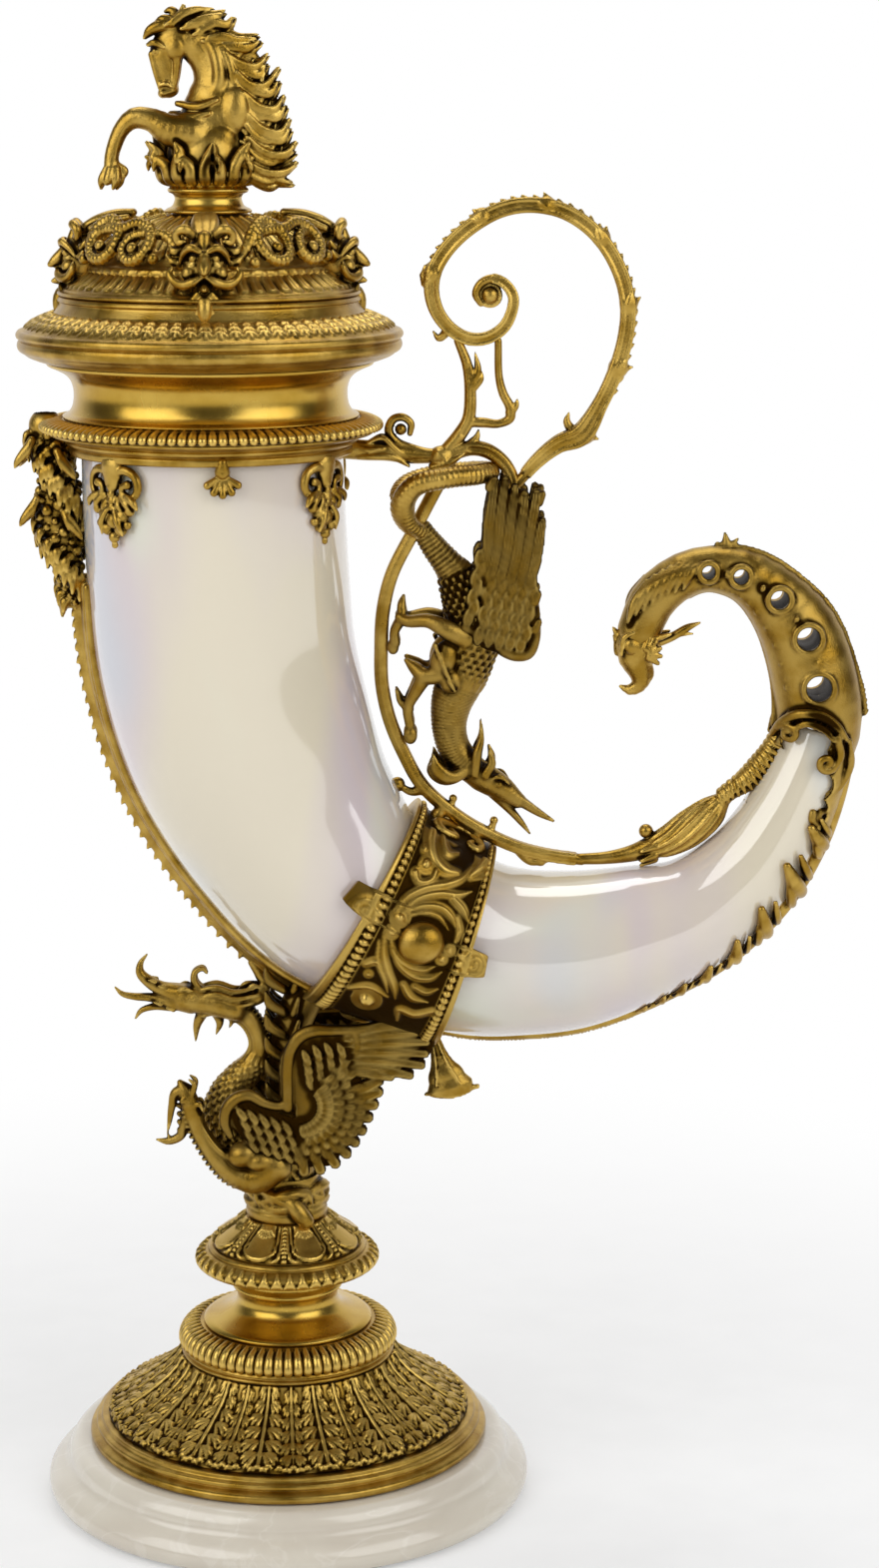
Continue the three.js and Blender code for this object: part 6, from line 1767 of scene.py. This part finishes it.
def garland():
    """One length of the coiled serpent that lies between two masks, looking along x."""
    clay = Clay((24, -27, 367), (56, 27, 398), 0.6)
    path = [(38, -23, 373.6), (42.4, -20.6, 380), (42, -16, 387), (40.6, -9.6, 389.6), (42.4, -4, 386.4),
            (46, -2.4, 380.4), (48.8, -6, 375.6), (48.6, -12, 375.4), (46, -16.4, 379.6),
            (43, -15.4, 384.4), (42.6, -9, 386.2), (42.6, -1, 386.6), (41.4, 5.6, 388.6), (41.6, 12, 386.8),
            (44.6, 15.4, 381.4), (47.4, 13, 376.6), (48.4, 7.4, 375), (47, 3, 379), (43.6, 5.8, 383.8),
            (41, 12.6, 385), (38.6, 18.6, 384), (37.4, 23, 378.4), (37.4, 25, 373.4)]
    snake = Line(path, [1.6] + [2.1] * 20 + [1.8, 1.4])
    clay.stroke(snake.values[:, :3], 2.0, 0.12)
    at, r = snake.even(2.0)
    hoops(clay, at, 0 * r + 1.95, 0.5, 0.2, 9)
    for centre, size in (((47.6, 9, 379.6), 2.3), ((47.4, -9.4, 380), 2.2), ((46, 18.4, 376), 2.2),
                         ((46.4, -20, 374.6), 2.2)):
        clay.ball(centre, size, 0.3)
    return clay.skin()


def lid():
    """The lid from its rim to the horse on its stand."""
    z, h = rise_of("lid_flange")
    strand = Canvas(11.2, 12, 20, 22)
    for x, rise in ((5.6, 1.0), (0, 0.8)):
        for y, reach in ((11, 1.8), (8, 2.3), (5, 2.3)):
            for side in (-1, 1):
                line = [(x, y), (x + 0.5 * side * reach, y - 0.8), (x + side * reach, y - 3.2)]
                strand.stroke(line, [0.5, 0.85, 0.4], rise)
        strand.stroke([(x, 11.4), (x, 6), (x + 0.3, 1)], [0.7, 0.6, 0.5], 1.3 * rise)
    slope = outline([(72.8, z + 12.7), (70.2, z + 14.6), (67.2, z + 16.2), (63.8, z + 17.6),
                     (60.4, z + 18.7)], 0.45)
    rest = rounded([(60, z + 19.2, 0.3), (59.3, z + 20.4, 0.8), (58.1, z + 22.4, 0.8), (58.1, z + 23, 0.2),
                    (59, z + 23.5, 0.4), (58.7, z + 24.3, 0.3), (58.2, z + h, 0.2), (46, z + h, 0.2),
                    (46, z + h - 3, 0.2), (54, z + 16, 2), (63, z + 9, 2), (62, z + 5, 2), (56, z + 4, 2),
                    (56, z, 0.3), (64.4, z, 0.3), (67.6, z + 0.9, 0.8), (71, z + 2.2, 0.8),
                    (72.6, z + 3.5, 0.4), (74.2, z + 4.3, 1.0), (75, z + 6.2, 1.2), (74.5, z + 8, 0.8),
                    (73.7, z + 8.6, 0.2), (75.1, z + 9.3, 0.7), (75.4, z + 10.8, 0.9),
                    (74.4, z + 12.1, 0.6), (73.4, z + 12.3, 0.2)], 3)
    piece("lid_rim", relief_ring(slope, rest, strand, 39, MOUTH_X, shade=0.7), "lid_flange",
          body="lid", lift=0)

    z, h = rise_of("locating_ring")
    low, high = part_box("locating_ring")
    outer = (high.x - low.x) / 2 / MM
    tube = rounded([(outer - 3.2, z, 0.5), (outer, z, 0.8), (outer, z + h, 0.2), (outer - 3.2, z + h, 0.2)])
    piece("locating_sleeve", turned(tube, 140, MOUTH_X), "locating_ring", "gilt_polished", "lid", lift=0)

    z, h = rise_of("lid_dome")
    leaf = Canvas(9.8, 58, 20, 84)
    leaf.h += 0.02
    for x in (0.0, 4.9):
        leaf.stroke([(x, 7.6), (x, 11), (x, 16.4)], [2.1, 2.0, 1.3], 0.5)
        leaf.groove([(x, 8), (x, 15)], [0.8, 0.5], 0.5)
    leaf.stroke([(4.9, 27), (4.9, 38), (4.9, 50)], [3.4, 3.8, 1.8], 0.5, square=True)
    leaf.h = np.minimum(leaf.h, 1.6)
    leaf.groove([(4.9, 28), (4.9, 46)], [0.8, 0.6], 0.8)
    leaf.stroke([(0, 26), (0, 38), (0, 52)], [1, 1, 0.9], 1.6)
    for y, reach in ((31, 2.8), (37, 2.8), (43, 2.2)):
        for k in range(2):
            leaf.stroke([(4.9, y + 3.4 - 1.6 * k), (4.9 + 0.6 * reach, y + 1.4 - 1.6 * k),
                         (4.9 + reach, y - 1.4 * k)], [0.6, 1.0, 0.5], 1.2, pair=True)
    step = [(58.5, z + 0.2, 0.2), (58.9, z + 0.6, 0.4), (58.9, z + 1.5, 0.4), (56.6, z + 1.9, 0.3),
            (56.6, z + 2.6, 0.4), (55.4, z + 3, 0.3), (51.4, z + 5.4, 2), (47.4, z + 8.8, 1),
            (46.6, z + 9.3, 0.2), (47.3, z + 9.9, 0.5), (46.8, z + 11.9, 0.6), (44.8, z + 12.4, 0.3)]
    crown = outline([(44.6, z + 12.8), (42, z + 16.4), (38, z + 20), (33.4, z + 23.2), (28, z + 26),
                     (22, z + 28.6), (16, z + 30.4), (13.4, z + h - 0.1)])
    rest = rounded([(12.6, z + h, 0.2), (STUD_BORE, z + h, 0.2), (STUD_BORE, z + h - 3, 0.2),
                    (18, z + 25.6, 2), (37, z + 15, 3), (43, z + 4, 2), (52, z + 0.8, 1), (56, z, 0.3)], 2)
    piece("leaf_dome", relief_ring(np.vstack([rounded(step)[2:-2], crown]), rest, leaf, 30, MOUTH_X,
                                   shade=0.7), "lid_dome", body="lid", lift=0)

    one = mask()
    for node, angle in (("mask_front", 2), ("mask_right", 92), ("mask_back", 182), ("mask_left", 272)):
        piece(node.replace("mask", "grotesque"), face_out(one, angle), node, body="lid")
    coil = garland()
    piece("serpents", face_out(coil, 47).joined(*(face_out(coil, 47 + 90 * k) for k in (1, 2, 3))),
          "snake_garland", body="lid")

    z, h = rise_of("pedestal")
    stand = [(STUD_BORE, 0, 0.2), (16.6, 0, 0.3), (17, 0.06, 0.5), (16, 0.13, 0.3), (13.8, 0.2, 1.4),
             (12.8, 0.42, 2), (13.4, 0.56, 1), (15.4, 0.62, 0.5), (15.8, 0.7, 0.6), (15, 0.76, 0.3),
             (14, 0.82, 0.6), (15.4, 0.9, 0.5), (15.4, 0.97, 0.4), (14, 1, 0.2), (STUD_BORE, 1, 0.2)]
    piece("finial_stand", turned(levels(stand, z, h), 96, MOUTH_X), "pedestal", "gilt_polished",
          "lid", lift=0)
    piece("horse", horse(), "horse_finial", body="lid")


MANE = (  # its locks from the poll down to the cup, each from its root to its tip
    ((-39, 462.6), (-34, 465.2), (-29, 466.4), (-23.4, 467.4)),
    ((-33, 461.2), (-27, 464.2), (-21.6, 465), (-18.6, 466.4)),
    ((-28.5, 459), (-22.4, 461.6), (-17.6, 461), (-14.8, 464)),
    ((-25, 456.6), (-19, 458), (-13.4, 456.6), (-6, 457.6)),
    ((-21.6, 453.4), (-15.4, 452.8), (-9.6, 452.4), (-4.8, 455)),
    ((-19, 450.6), (-13.4, 448.2), (-7.2, 446.6), (-2.4, 450.4)),
    ((-16.6, 447), (-11, 443.8), (-5.4, 442), (-2.4, 446.4)),
    ((-14.4, 443.4), (-9, 440), (-3.4, 439.6), (2, 445.4)),
    ((-12.6, 439.6), (-7, 436.2), (-1.2, 435.4), (2.2, 440)),
    ((-11.6, 435.6), (-6, 432), (0.2, 430.8), (3.8, 435)),
    ((-10.8, 431.6), (-5, 427.6), (1.4, 426.2), (4.8, 430.6)),
    ((-10.4, 427.6), (-4.6, 423.6), (2.4, 422), (5.8, 426.2)),
    ((-10.4, 423.6), (-4, 419), (3, 417.6), (6.4, 422)),
    ((-10.8, 419.2), (-4, 415), (3.6, 413.8), (8.2, 417.6)),
    ((-11.6, 415), (-4, 411), (2, 410.4), (8, 413.4)),
    ((-12, 410.6), (-4.6, 407.6), (2.4, 406.8), (8.4, 410)),
    ((-12, 407), (-5.4, 404.6), (1.6, 403), (6.8, 401.8)),
)


def horse():
    """The horse's forepart that rises from a cup of leaves."""
    clay = Clay((-70, -20, 397), (12, 20, 473), 0.58)
    # root in the cup, body and neck, head and muzzle
    clay.stroke([(MOUTH_X, 404), (MOUTH_X, 413)], [13.6, 15.6], 1)
    clay.stroke([(-26, 411), (-25, 420), (-23, 430), (-21.8, 440), (-24.4, 449), (-30, 455), (-37, 458.2)],
                [14, 14, 12.6, 9.8, 8.4, 7.6, 6.2], 1.5, 0.84)
    clay.stroke([(-38, 458), (-42.4, 452), (-42, 444), (-41, 438.4)], [6.9, 5.7, 4.7, 3.8], 0.8, 0.8)
    clay.stroke([(-43.4, 436.4), (-38.8, 437.4)], [1.9, 1.5], 0.6, 2.0)
    for side in clay.sides():
        # cheek, eye with its lid, nostril and ear
        side.ball((-37.8, 3.9, 453.6), (4.1, 2.6, 4.8), 0.4)
        side.stroke([(-37.4, 3.4, 449), (-38, 3, 443), (-38.8, 2.6, 439)], [1.6, 1.3, 1.1], 0.8)
        side.stroke([(-47, 2, 451), (-45.6, 2.2, 444.6), (-44, 2, 438.6)], [1.6, 1.4, 1.2], 0.5)
        side.stroke([(-48.4, 3.2, 454.6), (-46, 4.6, 455.4), (-42, 4.9, 453.4)], [0.9, 1.3, 0.7], 0.25)
        side.ball((-45.8, 4.6, 452.2), (2.1, 1.3, 1.5), 0.2, cut=True)
        side.ball((-45.6, 3.5, 452.2), (1.4, 1.1, 1.1), 0.1)
        side.stroke([(-44.6, 3, 439.2), (-41.8, 3.8, 440), (-40, 3.4, 438.8)], [0.6, 0.9, 0.5], 0.2)
        side.ball((-42.2, 4.4, 438.4), (1.2, 1.1, 0.8), 0.2, cut=True)
        side.stroke([(-39, 3, 461), (-36, 4.2, 464.6), (-34.8, 4.4, 469.6)], [2.2, 2, 0.5], 0.4)
        side.stroke([(-36, 5.3, 463.6), (-35, 5.3, 467.4)], [1.1, 0.4], 0.2, cut=True)
        # folds along the neck, then shoulder, breast and belly
        folds = (
            [(-29, 459), (-23.4, 453), (-21.4, 446.6), (-21.6, 440), (-25, 434)],
            [(-26, 458.4), (-19, 451.6), (-16.2, 444), (-16, 438)],
        )
        for (depth, wide), fold in zip(((7.4, 2.4), (7.2, 1.6)), folds):
            count = len(fold) - 1
            side.stroke([(x, 5.2 + (depth - 5.2) * min(1, 2.2 * i / count), z) for i,
                         (x, z) in enumerate(fold)], [1] + [wide] * (count - 1) + [0.8], 1.1)
        side.ball((-15.4, 7.6, 430), (5.4, 4, 9), 1.6, -8)
        side.ball((-31, 6.6, 422.4), (9, 6.4, 8), 1.6)
        side.stroke([(-37.4, 6, 432.6), (-29, 9.6, 431.4), (-22, 10.6, 434)], [1.2, 1.7, 0.9], 0.8)
        side.stroke([(-40, 5, 428.8), (-32, 10, 427.4), (-25, 11.4, 429)], [1.2, 1.8, 0.9], 0.8)
        side.ball((-20.4, 9.4, 419.6), (5, 3.6, 5), 1)
    # near foreleg, raised, with its hoof, and the far one tucked under
    near = Line([(-32, -8, 421), (-41, -8.4, 423), (-46.4, -8.4, 426.2), (-53.6, -8.2, 427.2),
                 (-58.4, -8, 423.4), (-61.4, -8, 417.2), (-62.8, -8, 411.8), (-62.4, -8, 407.4)],
                 [7.4, 6, 4.6, 4, 3.2, 2.9, 2.8, 3.4])
    clay.stroke(near.values[:, :3], near.values[:, 3], 1)
    clay.stroke([(-34, -10.4, 419.6), (-43, -11.6, 423.4), (-51, -10.8, 428)], [3, 2.2, 1], 1)
    clay.stroke([(-55, -10.4, 426.6), (-60, -10, 419), (-61.6, -10, 412)], [1.2, 1, 0.8], 0.6)
    clay.stroke([(-52.4, -7.6, 430), (-56.4, -7.6, 428.4)], [1.4, 1.2], 0.6)
    for k in range(7):
        a = TAU * k / 7
        out = np.array((np.cos(a), np.sin(a)))
        tip = (-64.2 + 3.2 * out[0], -8 + 2.8 * out[1], 400.6 + 0.9 * (k % 3))
        clay.stroke([(-62.4 + 2.4 * out[0], -8 + 2.4 * out[1], 408),
                     (-63.2 + 3.6 * out[0], -8 + 3.2 * out[1], 403.8), tip], [1.6, 1.7, 0.7], 0.3)
    clay.stroke([(-60, -8, 409), (-57.6, -8, 407.2), (-58.4, -8, 404.4)], [1.6, 1.4, 0.5], 0.3)
    clay.stroke([(-33, 8, 424), (-40, 7.6, 423.6), (-44.4, 7.2, 420.6), (-43.6, 7, 415), (-41, 7, 411)],
                [6.4, 5.2, 4, 3, 2.6], 1)
    for k in range(20):
        a = TAU * k / 20
        c, s = np.cos(a), np.sin(a)
        # leaves of the cup, long and short in turn
        tall, lean = (5.4, 0.14) if k % 2 else (0, -0.1)
        c2, s2 = np.cos(a + lean), np.sin(a + lean)
        rib = [(11.4 * c, 11.4 * s, 402.8), (17 * c, 16 * s, 404.6), (18.4 * c, 16.8 * s, 408.4),
               (20.6 * c2, 17.4 * s2, 411.4 + 0.6 * tall), (24 * c2, 18.6 * s2, 412.4 + tall)]
        rib = [(MOUTH_X + x, y, z) for x, y, z in rib]
        clay.stroke(rib, [2, 2.6, 2.5, 2.1, 0.8], 0.25)
        clay.stroke([(x * 1.03 + 0.8, y * 1.08, z + 0.6) for x, y, z in rib[1:4]], [0.7, 0.8, 0.5], 0.2)
        hook = rib[3]
        clay.stroke([hook, (hook[0] + 2.2 * c2, hook[1] + 1.8 * s2, hook[2] - 1.6),
                     (hook[0] + 2.6 * c2, hook[1] + 2 * s2, hook[2] - 4)], [1.5, 1.3, 0.6], 0.25)
    for y in (-1, 0, 1):
        # forelock
        clay.stroke([(-39, 2.6 * y, 461.4), (-43.6, 3.6 * y, 461.6), (-47.6, 3.6 * y, 459.8),
                     (-50, 3 * y, 457)], [2.6, 2.4, 1.9, 0.6], 0.3)
        clay.stroke([(-38.4, 2.4 * y, 463), (-42.4, 3 * y, 464), (-45.6, 2.8 * y, 462.8)],
                    [2.2, 1.9, 0.7], 0.3)
        clay.stroke([(-36.6, 1.8 * y, 464), (-39.4, 1.8 * y, 467.4), (-42, 1.4 * y, 467)],
                    [2.2, 1.6, 0.6], 0.3)
    # mane: its mass, then its locks in strands
    clay.stroke([(-34, 462), (-24, 459.6), (-13, 451), (-7.4, 441), (-5, 430), (-3.4, 418), (-3, 408)],
                [3, 4.4, 5, 5.4, 5.8, 6.2, 5.6], 1, 0.72)
    for k, lock in enumerate(MANE):
        wide = 5.2 + 0.8 * (k % 2) + 0.1 * k
        for side in (-1, -0.45, 0.1, 0.55, 1):
            shift = 0.9 * np.sin(3.1 * k + 4 * side)
            line = [(x - 0.5 * abs(side) * i, side * wide * (1 - 0.16 * i), z + shift * (i > 0)) for i,
                    (x, z) in enumerate(lock)]
            clay.stroke(line, [1.8, 2.1, 1.7, 0.6], 0.2)
            if side in (-1, 1):
                clay.stroke([(x, y * 1.22, z + 1.1) for x, y, z in line[:3]] + [line[3]],
                            [0.7, 0.9, 0.8, 0.4], 0.15)
                curl = [(x - 2.4 - 0.6 * i, y * (1.16 + 0.02 * i), z - 2 + (1.3, 0, -0.8, 1.6)[i]) for i,
                        (x, y, z) in enumerate(line)]
                clay.stroke(curl, [0.8, 1.4, 1.2, 0.4], 0.15)
    return clay.skin()


def top():
    """The rest: the foot's upper collars, the mouth with its drops, and the lid."""
    stem_collars()
    mouth()
    drop = pendant()
    for side, angle in PENDANT_ANGLES.items():
        piece(f"scroll_drop_{side}", face_out(drop, angle), f"pendant_{side}")
    lid()


top()


# The studio

CAMERA_AT = (0.06277, -1.3168, 0.5735)
CAMERA_DOWN = 11.8725  # degrees
CAMERA_LENS = 77.2


def lamp(name, at, size, power, look_at=(0.04, 0, 0.3)):
    """A softbox that faces a point."""
    data = bpy.data.lights.new(name, "AREA")
    data.shape, data.size, data.size_y = "RECTANGLE", *size
    data.energy = power
    made = bpy.data.objects.new(name, data)
    made.location = at
    direction = np.subtract(at, look_at)
    made.rotation_euler = Vector(direction).to_track_quat("Z", "Y").to_euler()
    bpy.context.scene.collection.objects.link(made)


def studio():
    """The camera, three softboxes, and a white surround that is dimmer where it only lights."""
    scene = bpy.context.scene
    camera = bpy.data.objects.new("camera", bpy.data.cameras.new("camera"))
    scene.collection.objects.link(camera)
    camera.data.sensor_fit, camera.data.sensor_height, camera.data.sensor_width = "AUTO", 36, 36
    camera.data.lens = CAMERA_LENS
    camera.location = CAMERA_AT
    camera.rotation_euler = (np.radians(90 - CAMERA_DOWN), 0, 0)
    scene.camera = camera
    scene.view_settings.view_transform = "Standard"

    lamp("left_softbox", (-1.1, -0.95, 1.1), (1.5, 1.3), 14)
    lamp("right_softbox", (1.2, -0.9, 1.1), (1.5, 1.3), 13)
    lamp("top_softbox", (0.05, 0.5, 1.7), (1.0, 0.6), 6)

    world = bpy.data.worlds.new("studio")
    scene.world = world
    world.use_nodes = True
    nodes, links = world.node_tree.nodes, world.node_tree.links
    out, back = nodes["World Output"], nodes["Background"]
    path = nodes.new("ShaderNodeLightPath")
    way = nodes.new("ShaderNodeSeparateXYZ")
    links.new(nodes.new("ShaderNodeTexCoord").outputs["Generated"], way.inputs[0])
    far_side = nodes.new("ShaderNodeMapRange")
    far_side.interpolation_type = "SMOOTHSTEP"
    links.new(way.outputs["Y"], far_side.inputs["Value"])
    for key, number in (("From Min", 0.3), ("From Max", 0.85), ("To Min", 0.1), ("To Max", 1.0)):
        far_side.inputs[key].default_value = number
    seen = nodes.new("ShaderNodeMath")
    seen.operation = "MAXIMUM"
    links.new(path.outputs["Is Glossy Ray"], seen.inputs[0])
    links.new(path.outputs["Is Transmission Ray"], seen.inputs[1])
    level = nodes.new("ShaderNodeMix")
    links.new(seen.outputs[0], level.inputs[0])
    level.inputs[2].default_value = 0.42
    links.new(far_side.outputs[0], level.inputs[3])
    white = nodes.new("ShaderNodeMix")
    links.new(path.outputs["Is Camera Ray"], white.inputs[0])
    links.new(level.outputs[0], white.inputs[2])
    white.inputs[3].default_value = 1.0
    links.new(white.outputs[0], back.inputs["Strength"])
    back.inputs["Color"].default_value = (1, 1, 1, 1)
    links.new(back.outputs[0], out.inputs["Surface"])



def paper_floor():
    """A round white floor: paper where it is lit, fading to plain white away from the vase."""
    floor_mesh = bpy.data.meshes.new("floor")
    a = np.linspace(0, TAU, 64, endpoint=False)
    floor_mesh.from_pydata([(6 * np.cos(t), 6 * np.sin(t), 0) for t in a], [], [list(range(64))])
    floor = bpy.data.objects.new("floor", floor_mesh)
    bpy.context.scene.collection.objects.link(floor)
    t = Tree("floor_paper")
    reach = t.add("ShaderNodeVectorMath", {"operation": "LENGTH"})
    t.links.new(t.place, reach.inputs[0])
    glow = t.add("ShaderNodeEmission", Color=(1, 1, 1, 1), Strength=1.0).outputs[0]
    far = t.scaled(reach.outputs["Value"], 0.12, 0.6, 0.35, 1.0)
    ray = t.add("ShaderNodeLightPath").outputs
    mirrored = t.math("MAXIMUM", ray["Is Glossy Ray"], ray["Is Transmission Ray"])
    lit = t.math("MAXIMUM", ray["Is Camera Ray"], mirrored)
    paper = t.mixed(t.scaled(t.noise(30, 3), 0.2, 0.8), (0.86, 0.86, 0.86, 1), (0.9, 0.9, 0.9, 1))
    t.finished(Base_Color=paper, Roughness=0.9)
    both = t.nodes.new("ShaderNodeMixShader")
    t.links.new(t.math("MULTIPLY", far, lit), both.inputs[0])
    t.links.new(t.shader.outputs[0], both.inputs[1])
    t.links.new(glow, both.inputs[2])
    t.links.new(both.outputs[0], t.nodes["Material Output"].inputs["Surface"])
    floor_mesh.materials.append(t.material)


studio()
paper_floor()
